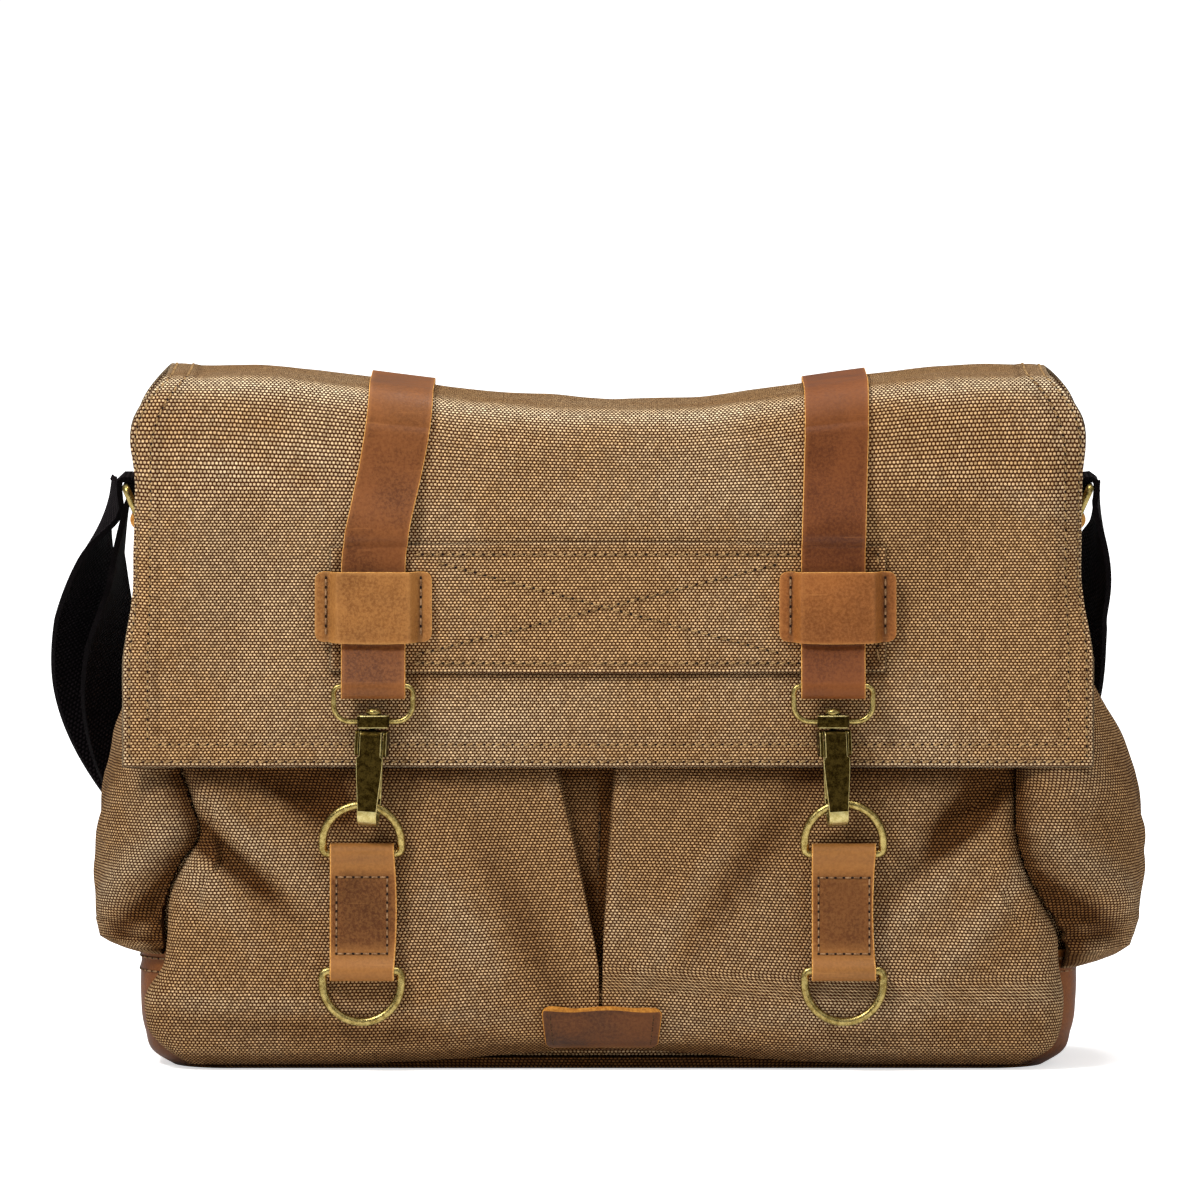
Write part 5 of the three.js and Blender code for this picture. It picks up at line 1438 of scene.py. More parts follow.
@dataclass
class Body:
    """The canvas body and the leather base that it stands in."""

    form: BagForm
    finishes: Finishes
    crest: float = 2.2 * MM
    low_front: float = 4.2 * MM
    front_half: float = 165 * MM
    stitch_drops: tuple[float, float] = (3.2 * MM, 8.4 * MM)
    side_folds: tuple[Fold, ...] = fold_table(
        (0.0, 196, 1.6, 30, 12, 20),
        (4, 226, -1.8, 34, 9, -16),
        (-6, 172, -1.2, 36, 10, 8),
    )
    back_folds: tuple[Fold, ...] = fold_table(
        (-110, 74, 2.4, 60, 9, 34),
        (100, 84, 2.3, 66, 9, -30),
        (-40, 196, 1.8, 90, 10, -8),
        (60, 210, -1.9, 80, 9, 12),
        (10, 62, -1.8, 110, 8, 3),
        (140, 150, 2.0, 50, 10, 72),
        (-150, 140, 2.0, 50, 10, -74),
    )

    def loop(self, height: float, inset: float, z: Array) -> Array:
        """The rounded rectangle of the bag's outside at a height, moved inwards.

        Args:
            height: The height whose section it takes.
            inset: How far it lies inside.
            z: The height of each point, or of all.

        Returns:
            The loop's points, starting at the front left.
        """
        form = self.form
        wide = float(form.width_at(height)) - inset
        front = float(form.front_at(height)) - inset
        back = float(form.back_at(height)) - inset
        radius = form.base_corner - inset
        line: list[tuple[float, float]] = []
        runs = (
            ((-wide + radius, -front), (wide - radius, -front), 96),
            ((wide - radius, -front + radius), -90, 12),
            ((wide, -front + radius), (wide, back - radius), 20),
            ((wide - radius, back - radius), 0, 12),
            ((wide - radius, back), (-wide + radius, back), 96),
            ((-wide + radius, back - radius), 90, 12),
            ((-wide, back - radius), (-wide, -front + radius), 20),
            ((-wide + radius, -front + radius), 180, 12),
        )
        for start, end, count in runs:
            for step in range(count):
                share = step / count
                if isinstance(end, tuple):
                    line.append((mix(start[0], end[0], share), mix(start[1], end[1], share)))
                else:
                    angle = math.radians(end + 90 * share)
                    x, y = start
                    line.append((x + radius * math.cos(angle), y + radius * math.sin(angle)))
        points = np.array(line)
        return np.column_stack([points, np.zeros(len(points)) + z])

    def _fields(self, points: Array) -> Array:
        """Each point's place in the weave: round the bag, and up."""
        middle = points[points.shape[0] // 2]
        closed = np.concatenate([middle, middle[:1]])
        run = along(closed)[:-1]
        return stacked(run, points[..., 2])

    def build(self) -> None:
        """Makes the canvas body and the base."""
        self._canvas()
        self._base()

    def _canvas(self) -> None:
        """Makes the hollow canvas body, with soft folds on its sides and back."""
        form = self.form
        floor = form.step
        heights = np.concatenate([np.linspace(0, 8 * MM, 7)[:-1], np.linspace(8 * MM, form.body_height, 96)])
        rows = []
        for height in heights:
            loop = self.loop(height, form.step, height + floor)
            top = smooth(height, form.body_height * 0.94, form.body_height)
            lift = form.corner_lift(loop[:, 0] / (form.flap_width / 2)) * 0.9 - floor
            loop[:, 2] += top * lift
            rows.append(loop)
        points = np.array(rows)
        place = self._fields(points)
        x, y, z = points[..., 0], points[..., 1], points[..., 2]
        on_side = smooth(np.abs(x), form.half_width - 14 * MM, form.half_width - 4 * MM)
        on_back = smooth(y, form.half_depth - 14 * MM, form.half_depth - 4 * MM)
        free = smooth(z, 50 * MM, 66 * MM)
        lift = on_side * lifted(self.side_folds, y, z) + on_back * lifted(self.back_folds, x, z)
        rough = ripple(points, 30 * MM, 12.0) * 0.5 * MM + ripple(points, 11 * MM, 2.0) * 0.12 * MM
        lift = (lift + rough) * free * (1 - smooth(z, 236 * MM, 246 * MM)) - 0.2 * MM
        # Fold crests are paler, as rubbed wear and as painted highlight.
        wear = 0.08 + 0.55 * np.clip(lift / self.crest, 0, 1)
        # Painted shade: a little over the whole body, just above the base's rim and in the fold hollows.
        shade = 0.1 + 0.25 * bell(z - 46 * MM, 5 * MM) + 0.6 * np.clip(-lift / self.crest, 0, 1)
        sheet = Cloth(points, place, wear, shade, ring=True, vessel=True)
        sheet.points = points + sheet.normals(FRONT) * lift[..., None]
        piece = sheet.build("body_canvas", form.canvas, FRONT, [self.finishes.canvas], 0.8 * MM)
        settle(piece, Slot.CANVAS, ROOT_BODY, "body_shell")

    def _base(self) -> None:
        """Makes the leather base: a tray that stands high at the sides and back, with a sewn edge."""
        form = self.form
        low, cut = self.low_front, self.front_half
        rows = []
        for share in np.concatenate([np.linspace(0, 0.2, 9)[:-1], np.linspace(0.2, 1, 26)]):
            tall = self.loop(form.base_side_height * share, 0, form.base_side_height * share)
            short = self.loop(low * share, 0, low * share)
            front = (tall[:, 1] < 0) & (np.abs(tall[:, 0]) < cut + 1 * MM)
            rows.append(np.where(front[:, None], short, tall))
        points = np.array(rows)
        points[..., 2] = np.maximum(points[..., 2], 0)
        place = self._fields(points)
        x, y, z = points[..., 0], points[..., 1], points[..., 2]
        groove = bell(z - form.base_side_height + 4 * MM, 1.2 * MM)
        strip = (y < 0) * (1 - smooth(np.abs(x), cut - 2 * MM, cut + 4 * MM))
        low_front = (y < -30 * MM) * bell(z, 9 * MM)
        # Painted shade in the groove and on the front strip under the pocket's foot, and a painted contact
        # shadow near the floor, strongest at the front.
        shade = 0.4 * groove + 0.5 * strip + 0.3 * bell(z, 6 * MM) + 0.6 * low_front
        wear = 0.5 * bell(z - form.base_side_height, 1.5 * MM) * (1 - strip)
        sheet = Cloth(points, place, wear, np.clip(shade, 0, 1.2), ring=True, vessel=True)
        out = sheet.normals(FRONT)
        roll = 0.7 * MM * bell(z - 16 * MM, 9 * MM) * smooth(np.abs(x), 140 * MM, 170 * MM)
        rough = ripple(points, 24 * MM, 4.0) * 0.35 * MM * smooth(z, 4 * MM, 16 * MM)
        sheet.points = points + out * (roll + rough - 0.3 * MM * groove)[..., None]
        sheet.points[..., 2] = np.maximum(sheet.points[..., 2], 0)

        def limit(other: Array) -> Array:
            """Keeps the tray's inside above its floor."""
            return stacked(other[..., 0], other[..., 1], np.maximum(other[..., 2], form.leather))

        finishes = [self.finishes.base, self.finishes.raw_edge, self.finishes.canvas]
        piece = sheet.build("base_leather", form.leather, FRONT, finishes, 0.4 * MM, limit)
        for polygon in piece.data.polygons:
            centre = polygon.center
            if centre.y < -40 * MM and abs(centre.x) < cut and centre.z < 6 * MM:
                polygon.material_index = 2
        settle(piece, Slot.LEATHER, ROOT_BODY, "leather_base")
        seam = Stitching()
        for drop in self.stitch_drops:
            line = self.loop(form.base_side_height - drop, 0, form.base_side_height - drop)
            keep = (line[:, 1] > 0) | (np.abs(line[:, 0]) > cut + 3 * MM)
            start = int(np.argmax(~keep)) + int(np.argmax(np.roll(keep, -int(np.argmax(~keep)))))
            line, keep = np.roll(line, -start, axis=0), np.roll(keep, -start)
            line = line[keep]
            normal = unit(np.cross(np.gradient(line, axis=0), UP))
            seam.add_row(line - normal * 0.15 * MM, normal)
        seam.sew("base_stitches", Slot.LEATHER, self.finishes.thread, self.finishes.hole)


@dataclass
class FrontPocket:
    """The full-width front pocket with its inverted pleat and bare label."""

    form: BagForm
    finishes: Finishes
    pleat_mouth: float = 31 * MM
    pleat_depth: float = 9 * MM
    pleat_foot: float = 27 * MM
    pleat_line: float = -2.4 * MM
    pleat_seam: tuple[float, float] = (64 * MM, 100 * MM)
    pleat_seam_places: tuple[float, float] = (-4.2 * MM, -3.2 * MM)
    crest: float = 3.4 * MM
    label_width: float = 47 * MM
    label_height: float = 16.6 * MM
    label_foot: float = 8.6 * MM
    label_wall: float = 1.6 * MM
    label_middle: float = -2.4 * MM
    folds: tuple[Fold, ...] = fold_table(
        (-146, 94, 2.8, 30, 6, -48),
        (-145, 81, -4.6, 26, 5, -40),
        (-158, 91, -3.0, 10, 5, -46),
        (-152, 66, 2.6, 30, 7, -46),
        (-114, 106, -5.2, 18, 8, -24),
        (-108, 70, 1.6, 34, 8, -50),
        (-62, 66, 1.9, 44, 8, -58),
        (-30, 52, -1.5, 40, 8, -66),
        (30, 62, 2.0, 46, 7, 58),
        (52, 78, -2.0, 46, 8, 52),
        (116, 62, 2.4, 46, 7, 46),
        (142, 102, -5.4, 19, 7, 42),
        (132, 86, -2.6, 26, 6, 44),
        (150, 62, 2.6, 34, 6, 50),
        (-104, 25, 2.4, 90, 4.5, -3),
        (-100, 16, -1.4, 80, 5, -3),
        (104, 24, 1.6, 90, 6, 4),
        (100, 14, -0.9, 80, 6, 4),
    )

    def face(self, x: Array, z: Array) -> Array:
        """The depth of the pocket's face, with its folds but without the pleat."""
        x, z = np.asarray(x, float), np.asarray(z, float)
        calm = 1 - bell(np.abs(x) - 94 * MM, 15 * MM) * bell(z - 62 * MM, 34 * MM)
        full = smooth(z, 8 * MM, 26 * MM)
        return self.form.pocket_front(x, z) - lifted(self.folds, x, z) * full * calm

    def pleat(self, z: Array) -> tuple[Array, Array, Array]:
        """The pleat's two lips and its depth at a height."""
        open_share = np.clip((z - self.pleat_foot) / (self.form.pocket_height - self.pleat_foot), 0, 1)
        mouth = np.maximum(self.pleat_mouth * open_share**1.15, 1.8 * MM)
        left = self.pleat_line - mouth * 0.76
        depth = self.pleat_depth * smooth(open_share, -0.04, 0.1) + 0.4 * MM
        return left, left + mouth, depth

    def _row(self, z: float) -> tuple[Array, Array]:
        """One row of the pocket's face from its left side to its right.

        Args:
            z: The row's height.

        Returns:
            The row's points, and how deep in the pleat each lies, from 0 to 1.
        """
        form = self.form
        share = z / form.pocket_height
        half = form.pocket_width / 2
        left_lip, right_lip, depth = [float(v) for v in self.pleat(np.array(z))]
        bend = np.linspace(0, math.pi / 2, 12)
        ends = {}
        for side, table in ((Side.LEFT, form.pocket_lefts), (Side.RIGHT, form.pocket_rights)):
            wide = half * float(eased(form.pocket_heights, table, share))
            wall = float(form.front_wall(np.array(wide - 1.6 * form.canvas), np.array(z))) - 2 * form.gap
            front = min(float(self.face(side.sign * wide, z)), wall - 1 * MM)
            radius = min(form.pocket_corner, 0.95 * (wall - front))
            x = side.sign * (wide - radius * (1 - np.cos(bend)))
            y = front + radius * (1 - np.sin(bend))
            ends[side] = (stacked(x, y), wall, wide, radius)
        left, wall_l, wide_l, radius_l = ends[Side.LEFT]
        right, wall_r, wide_r, radius_r = ends[Side.RIGHT]
        run_l = np.linspace(-wide_l + radius_l, left_lip, 80)[1:]
        run_r = np.linspace(right_lip, wide_r - radius_r, 80)[:-1]
        deepest = float(form.front_wall(np.array(0.0), np.array(z))) - form.gap - form.canvas
        tuck = (right_lip - left_lip) / 4
        inner = np.linspace(left_lip + tuck * 0.12, right_lip - tuck * 0.12, 22)
        dip = depth * smooth(np.minimum(inner - left_lip, right_lip - inner), 0, tuck * 0.5)
        floor = self.face(inner, z) + dip
        floor = np.minimum(floor, deepest)
        points = [(-wide_l, wall_l)]
        points += left.tolist()
        points += stacked(run_l, self.face(run_l, z)).tolist()
        points += stacked(inner, floor).tolist()
        points += stacked(run_r, self.face(run_r, z)).tolist()
        points += right[::-1].tolist()
        points += [(wide_r, wall_r)]
        points = np.array(points)
        rise = form.foot_rise(points[:, 0]) * (1 - share)
        pleat_shade = np.zeros(len(points))
        first = 1 + len(left) + len(run_l)
        # Painted shade inside the pleat: lighter on its left, darker on its right and darkest low down.
        tone = mix(0.4, 1.0, smooth(inner, -5 * MM, -1 * MM))
        tone = mix(1.1, tone, float(smooth(z, 48 * MM, 82 * MM)))
        pleat_shade[first:first + len(inner)] = tone * np.clip(dip / self.pleat_depth, 0, 1)
        return np.column_stack([points, z + rise]), pleat_shade

    def build(self) -> None:
        """Makes the pocket, its pleat stitching and the label."""
        form = self.form
        low, high = 0.014 * form.pocket_height, form.pocket_height
        heights = np.concatenate([np.linspace(low, 14 * MM, 12)[:-1], np.linspace(14 * MM, high, 78)])
        rows, pleat_shade = zip(*[self._row(float(z)) for z in heights])
        points, pleat_shade = np.array(rows), np.array(pleat_shade)
        x, z = points[..., 0], points[..., 2]
        place = woven(points, points.shape[1] // 2 - 14)
        lip_l, lip_r, _ = self.pleat(z)
        lips = bell(x - lip_l + 3 * MM, 3 * MM) + bell(x - lip_r - 3 * MM, 3 * MM)
        open_share = smooth(z, self.pleat_foot, 60 * MM)
        rough = ripple(points, 22 * MM, 1.0) * 0.5 * MM + ripple(points, 9 * MM, 7.0) * 0.15 * MM
        calm = smooth(z, 4 * MM, 14 * MM) * (1 - pleat_shade)
        height = z - form.foot_rise(x)
        crest = lifted(self.folds, x, z) / self.crest
        band = 1 - smooth(height, 4.5 * MM, 8.5 * MM)
        shadow_under = smooth(height, form.flap_hem - 16 * MM, form.flap_hem - 1 * MM)
        # Painted shade: the whole pocket a little, inside the pleat, in the fold hollows, along its foot band
        # and under the flap's hem.
        shade = 0.24 + 1.2 * pleat_shade + np.clip(-crest, 0, 1) + 0.5 * band + 0.7 * shadow_under
        # Fold crests are paler, as rubbed wear and as painted highlight.
        wear = 0.3 * lips * open_share * (1 - pleat_shade) + 0.6 * np.clip(crest, 0, 1)
        sheet = Cloth(points, place, np.clip(wear, 0, 1), np.clip(shade, 0, 1.2))
        normal = sheet.normals(FRONT)
        sheet.points = points + normal * (rough * calm + 0.9 * MM * lips * open_share * (1 - pleat_shade))[..., None]

        def limit(other: Array) -> Array:
            """Keeps the inside of the pocket clear of the body."""
            wall = form.front_wall(other[..., 0], other[..., 2]) - form.gap
            return stacked(other[..., 0], np.minimum(other[..., 1], wall), other[..., 2])

        piece = sheet.build(
            "front_pocket_canvas", form.canvas, FRONT, [self.finishes.canvas], 0.8 * MM, limit
        )
        settle(piece, Slot.CANVAS, ROOT_BODY, "front_pocket")
        seam = Stitching()
        z = np.linspace(*self.pleat_seam, 30)
        x = mix(*self.pleat_seam_places, np.linspace(0, 1, 30))
        deepest = form.front_wall(0 * x, z) - form.gap - form.canvas
        y = np.minimum(self.face(x, z) + self.pleat(z)[2], deepest) - 0.3 * MM
        seam.add_row(stacked(x, y, z), np.tile(FRONT, (30, 1)), 8)
        threads = seam.sew("pleat_stitches", Slot.CANVAS, self.finishes.dark_thread, self.finishes.hole)
        self._label()

    def _label(self) -> None:
        """Makes the bare leather label over the pleat's foot."""
        form = self.form
        u = np.linspace(-1, 1, 60)
        v = np.linspace(1, -1, 26)
        half, high = self.label_width / 2, self.label_height / 2
        corner = 3 * MM
        past = np.maximum(np.abs(v) * high - high + corner, 0)
        reach = half - corner + np.sqrt(np.maximum(corner**2 - past**2, 0))
        taper = 1 - 0.06 * smooth(-v, -1, 1)
        x = self.label_middle + (reach * taper)[:, None] * u[None]
        wavy = 0.45 * MM * np.sin(u * 5 + 1) * smooth(v[:, None], 0, 1)
        z = self.label_foot + 0.4 * MM + high + v[:, None] * high + wavy + 0 * x
        section = z - form.foot_rise(x) * (1 - z / form.pocket_height)
        y = form.pocket_front(x, section) - 1.0 * MM - self.label_wall
        lift = 0.9 * MM * smooth(np.abs(u), 0.55, 1)[None] * smooth(v, -0.2, 1)[:, None]
        points = stacked(x, y - lift, z)
        edge = np.minimum(half - np.abs(x - self.label_middle), high - np.abs(v)[:, None] * high + 0 * x)
        points[..., 1] -= 0.2 * MM * ripple(points, 9 * MM, 3.0)
        wear = 0.8 * bell(edge, 0.7 * MM)
        sheet = Cloth(points, stacked(x, z), wear, 0.3 * bell(edge - 2.4 * MM, 0.8 * MM))
        finishes = [self.finishes.label, self.finishes.label_edge]
        piece = sheet.build("label_leather", self.label_wall, FRONT, finishes, 0.35 * MM)
        for polygon in piece.data.polygons:
            corner_row = min(polygon.vertices) // len(u)
            if corner_row < 2 and max(polygon.vertices) < len(u) * len(v):
                polygon.material_index = 1
        settle(piece, Slot.LABEL, ROOT_BODY, "label")
        seam = Stitching(thread=0.4 * MM, pitch=2.2 * MM, hole=0.6 * MM)
        for sign in (-1, 1):
            column = int(np.argmin(np.abs(u - sign * 0.86)))
            seam.add_row(points[3:-3, column], np.tile(FRONT, (20, 1)))
        seam.sew("label_stitches", Slot.LABEL, self.finishes.dark_thread, self.finishes.hole)


@dataclass
class SidePocket:
    """A side pocket: a bulging sheet of canvas from the bag's side round to the front pocket's edge."""

    form: BagForm
    finishes: Finishes
    side: Side
    height: float = 166 * MM
    span: float = 84 * MM
    ease: float = 0.9 * MM
    bulge: float = 24 * MM
    tuck: float = 0.955
    step_blend: tuple[float, float] = (44 * MM, 92 * MM)
    crest: float = 3.4 * MM
    crease: float = 3.0 * MM
    heights: tuple = ()
    bulges: tuple = ()
    folds: tuple[Fold, ...] = fold_table(
        (86, 78, 3.4, 28, 5, 54),
        (88, 62, -4.0, 17, 4.4, 48),
        (56, 96, -2.2, 34, 8, 52),
        (92, 50, -2.6, 13, 1.7, -10),
        (90, 46, 1.6, 15, 2.0, -8),
        (88, 116, 2.0, 26, 6, -72),
        (30, 108, -2.4, 28, 7, 58),
        (22, 76, -1.8, 22, 6, 50),
    )

    def __post_init__(self) -> None:
        """Takes the section table of its side, from the foot to the mouth."""
        if self.side is Side.LEFT:
            self.heights = (0.27, 0.28, 0.3, 0.345, 0.44, 0.54, 0.66, 0.78, 0.89, 1)
            self.bulges = (0.1, 0.42, 0.64, 0.75, 0.82, 0.8, 0.69, 0.5, 0.23, 0.1)
        else:
            self.heights = (0.235, 0.248, 0.275, 0.335, 0.45, 0.54, 0.66, 0.78, 0.89, 1)
            self.bulges = (0.1, 0.6, 0.92, 1.07, 1.18, 1.22, 1.12, 0.82, 0.38, 0.13)

    def _path(self, z: float, columns: int) -> tuple[Array, Array]:
        """The bag's outside at a height, from the pocket's back edge to the front pocket.

        Args:
            z: The height.
            columns: How many points it gets.

        Returns:
            Points of x, away from the bag's middle, and y, and the direction straight out at each.
        """
        form = self.form
        step = float(form.step_at(z))
        radius = form.base_corner - step
        wide = float(form.width_at(z)) - step
        face = float(form.front_at(z)) - step
        table = form.pocket_lefts if self.side is Side.LEFT else form.pocket_rights
        share = min(z / form.pocket_height, 1.0)
        end = form.pocket_width / 2 * float(eased(form.pocket_heights, table, share)) + 0.7 * MM
        back = [(wide, y) for y in np.linspace(self.span / 2, -face + radius, 40)]
        turn = [
            (wide - radius + radius * math.cos(a), -face + radius - radius * math.sin(a))
            for a in np.linspace(0, math.pi / 2, 26)[1:]
        ]
        front = [(x, -face) for x in np.linspace(wide - radius, wide - radius - 12 * MM, 12)[1:]]
        line = np.array(back + turn + front)
        behind = float(form.back_at(z)) - step
        reach = np.clip((line[:, 1] - behind + radius) / radius, 0, 1)
        line[:, 0] -= radius * (1 - np.sqrt(1 - reach**2))
        past = np.flatnonzero((line[:, 1] < 0) & (line[:, 0] < end))
        if len(past):
            line = line[:past[0] + 1]
        run = along(line)
        at = np.linspace(0, run[-1], columns)
        line = read_at(at, run, line)
        ahead = np.gradient(line, axis=0)
        return line, unit(stacked(-ahead[:, 1], ahead[:, 0]))

    def build(self) -> None:
        """Makes the pocket with its diagonal folds and the rolled lip at its foot."""
        form, sign = self.form, self.side.sign
        columns = 104
        shares = np.concatenate([
            np.linspace(self.heights[0], self.heights[2], 18)[:-1], np.linspace(self.heights[2], 1, 80),
        ])
        paths = [self._path(float(share) * self.height, columns) for share in shares]
        line = np.array([path for path, _ in paths])
        outward = np.array([out for _, out in paths])
        z = shares[:, None] * self.height + np.zeros((1, columns))
        full = softened(np.interp(shares, self.heights, self.bulges)[:, None], 9)
        u = np.linspace(-1, self.tuck, columns)[None]
        round_off = np.maximum(1 - np.abs(u) ** 2.6, 0) ** 0.8
        run = row_runs(line)
        out = self.bulge * full * round_off
        soft = smooth(out, 1.5 * MM, 7 * MM)
        relief = lifted(self.folds, run, z)
        points = stacked(sign * line[..., 0], line[..., 1], z)
        out = out + relief * soft + ripple(points, 14 * MM, 6.0) * 0.7 * MM * soft
        out = np.maximum(out, 0) + form.gap + self.ease * smooth(np.abs(u), 0.6, 0.92)
        blend = smooth(z, *form.step_band) - smooth(z, *self.step_blend)
        out = out + form.step * blend * smooth(out, 3 * MM, 9 * MM)
        hem = bell(z - self.height + 10 * MM, 1.0 * MM)
        out = out - 0.25 * MM * hem * soft
        points[..., 0] += sign * outward[..., 0] * out
        points[..., 1] += outward[..., 1] * out
        place = woven(points, columns // 2)
        edge = (run[:, -1:] - run) / MM
        crease = np.clip(-relief / self.crease, 0, 1) * soft
        crest = np.clip(relief / self.crest, 0, 1) * soft
        # Fold crests are paler, as rubbed wear and as painted highlight.
        wear = 0.1 + 0.5 * crest + 0.35 * bell(z - self.height, 1.6 * MM)
        # Painted shade: over the whole pocket, in the fold hollows and along the sunk hem line, and a painted
        # shadow beside the front pocket's edge.
        shade = 0.36 + 0.6 * crease + 0.2 * hem + 0.75 * bell(edge, 5.0) * smooth(full, 0.15, 0.4)
        sheet = Cloth(points, place, np.clip(wear, 0, 1), np.clip(shade, 0, 1.2))

        def limit(_: Array) -> Array:
            """Lays the pocket's back straight behind its face, clear of the bag."""
            depth = np.maximum(out - form.canvas, form.gap)
            inner = stacked(sign * line[..., 0], line[..., 1], z)
            inner[..., 0] += sign * outward[..., 0] * depth
            inner[..., 1] += outward[..., 1] * depth
            return inner

        name = f"side_pocket_canvas_{self.side.value}"
        piece = sheet.build(name, form.canvas, (sign, 0, 0), [self.finishes.canvas], 0.6 * MM, limit)
        settle(piece, Slot.CANVAS, ROOT_BODY, f"side_pocket_{self.side.value}")


@dataclass
class Closure:
    """One closing strap with its keeper, snap hook, ring tab and rings."""

    form: BagForm
    finishes: Finishes
    flap: Flap
    side: Side
    spacing: float = 183 * MM
    strap_width: float = 25 * MM
    back_end: float = 22 * MM
    return_height: float = 178 * MM
    keeper_width: float = 45.6 * MM
    keeper_height: float = 27 * MM
    keeper_middle: float = 182 * MM
    keeper_raised: float = 33 * MM
    keeper_seam: float = 18.5 * MM
    loop_slack: float = 1.4 * MM
    lay: float = 0.1 * MM
    eye_wire: float = 2.2 * MM
    eye_width: float = 33 * MM
    eye_height: float = 16 * MM
    block: tuple[float, float, float] = (12.5 * MM, 7 * MM, 5.2 * MM)
    block_foot: float = 135 * MM
    rivet: float = 6.2 * MM
    hook_length: float = 38.3 * MM
    hook_plate: float = 1.6 * MM
    hook_mouth: float = 6 * MM
    hook_width: float = 10.6 * MM
    hook_tip: float = 7.6 * MM
    hook_nose: float = 12 * MM
    ear_height: float = 10 * MM
    ear_wall: float = 1.4 * MM
    pin: float = 1.8 * MM
    pin_drop: float = 6.2 * MM
    pin_inset: float = 1.6 * MM
    lever_wall: float = 1 * MM
    lever_width: float = 8.6 * MM
    ring_wire: float = 3.4 * MM
    ring_width: float = 34 * MM
    ring_height: float = 23.4 * MM
    upper_bar: float = 85.6 * MM
    lower_bar: float = 40.3 * MM
    tab_width: float = 25 * MM
    tab_clearance: float = 0.05 * MM
    hook_bend: float = 1.2 * MM

    def __post_init__(self) -> None:
        """Works out the places that differ between the two closures."""
        left = self.side is Side.LEFT
        middle = self.side.sign * self.spacing / 2
        self.top_x = middle + (10.5 if left else -2) * MM
        self.eye_x = middle + (0 if left else -3.7) * MM
        self.ring_x = middle + (-4.5 if left else 0.5) * MM
        self.keeper_x = (middle + self.eye_x) / 2
        self.lean = -3 if left else 2.5
        self.twist = -9 if left else 9
        self.strap_finish = self.finishes.strap_left if left else self.finishes.strap_right
        self.keeper_finish = self.finishes.keeper_left if left else self.finishes.keeper_right
        hem = float(self.form.flap_front(np.array(0.0), np.array(self.form.flap_hem)))
        self.hook_depth = 2 * self.hook_plate + self.hook_mouth
        self.hook_plane = hem - 2.6 * MM - self.hook_depth / 2
        self.eye_bar = self.block_foot + self.block[2] / 2 + self.eye_height - self.eye_wire

    @property
    def label(self) -> str:
        """The side's name, for the names of pieces."""
        return self.side.value

    def build(self) -> None:
        """Makes every piece of the closure."""
        self._strap()
        self._keeper()
        self._eye()
        self._hook()
        self._lever()
        self._tab()

    def _strap(self) -> None:
        """Makes the strap over the flap, round the eye's bar and back up behind itself."""
        form = self.form
        behind = 2 * form.gap + form.patch_wall + self.lay
        ply = form.leather + form.gap
        patch_top = self.flap.patch_middle + self.flap.patch_height / 2
        keeper_top = self.keeper_middle + self.keeper_height / 2
        half = self.strap_width / 2
        edge = np.array([-1, -0.975, -0.94, -0.85, -0.6, -0.3, 0, 0.3, 0.6, 0.85, 0.94, 0.975, 1])
        profile = self.flap.profile()
        keep = (profile[:, 2] > 0.5) & (profile[:, 1] > patch_top + 3 * MM)
        over = (profile[:, 2] < 0.5) & (profile[:, 1] > form.flap_top - self.back_end)
        profile = profile[keep | over]

        def middle(z: Array) -> Array:
            """The strap's middle line across, at a height."""
            return mix(self.eye_x, self.top_x, smooth(z, keeper_top, form.flap_top))

        rows = []
        for row in profile:
            x = middle(row[1]) + edge * half
            across = x / (form.flap_width / 2)
            for _ in range(4):
                z = self.flap.rows(across, row[None])[0, :, 2]
                across = x / form.flap_half_width(z)
            rows.append(self.flap.rows(across, row[None])[0])
        on_flap = Cloth(np.array(rows), np.zeros((len(rows), len(edge), 2)))
        rise = profile[:, 2] * (1 - smooth(profile[:, 1], patch_top + 3 * MM, patch_top + 30 * MM))
        rise = form.gap + self.lay + rise * (behind + ply - form.gap - self.lay)
        lying = on_flap.points + on_flap.normals(UP) * rise[:, None, None]
        self._sewn_end(on_flap)
        rows = list(lying)
        start = self.return_height + 3.5 * MM
        foot = self.return_height - 12 * MM
        for z in np.linspace(patch_top, foot, 24):
            x = middle(z) + edge * half
            off = behind + ply * (1 - float(smooth(z, start, patch_top - 8 * MM)))
            rows.append(stacked(x, self.flap.face(x, z) - off, z))
        radius = self.eye_wire / 2 + form.gap + self.lay
        for angle in np.linspace(0, math.pi, 15):
            y = self.hook_plane - radius * math.cos(angle)
            z = self.eye_bar - (radius + self.loop_slack) * math.sin(angle)
            rows.append(stacked(self.eye_x + edge * half, y, z))
        for z in np.linspace((self.eye_bar + foot) / 2, self.return_height, 10):
            lay = float(smooth(z, self.eye_bar, foot))
            x = middle(z) + edge * half
            near = mix(self.hook_plane + radius, self.flap.face(x, z) - behind, lay)
            rows.append(stacked(x, near - form.leather * lay, z))
        points = np.array(rows)
        line = points[:, len(edge) // 2]
        run = along(line)
        at = np.linspace(0, run[-1], int(run[-1] / (0.7 * MM)))
        points = np.stack([read_at(at, run, points[:, column]) for column in range(len(edge))], axis=1)
        points = softened(points, 1)
        middle_row = points[:, len(edge) // 2]
        keep_round = middle_row[:, 2] < self.eye_bar + 1 * MM
        rub = 0.35 * bell(middle_row[:, 2] - form.flap_top, 9 * MM) + 0.25 * keep_round
        wear = rub[:, None] + 0.35 * (np.abs(edge) > 0.92)[None]
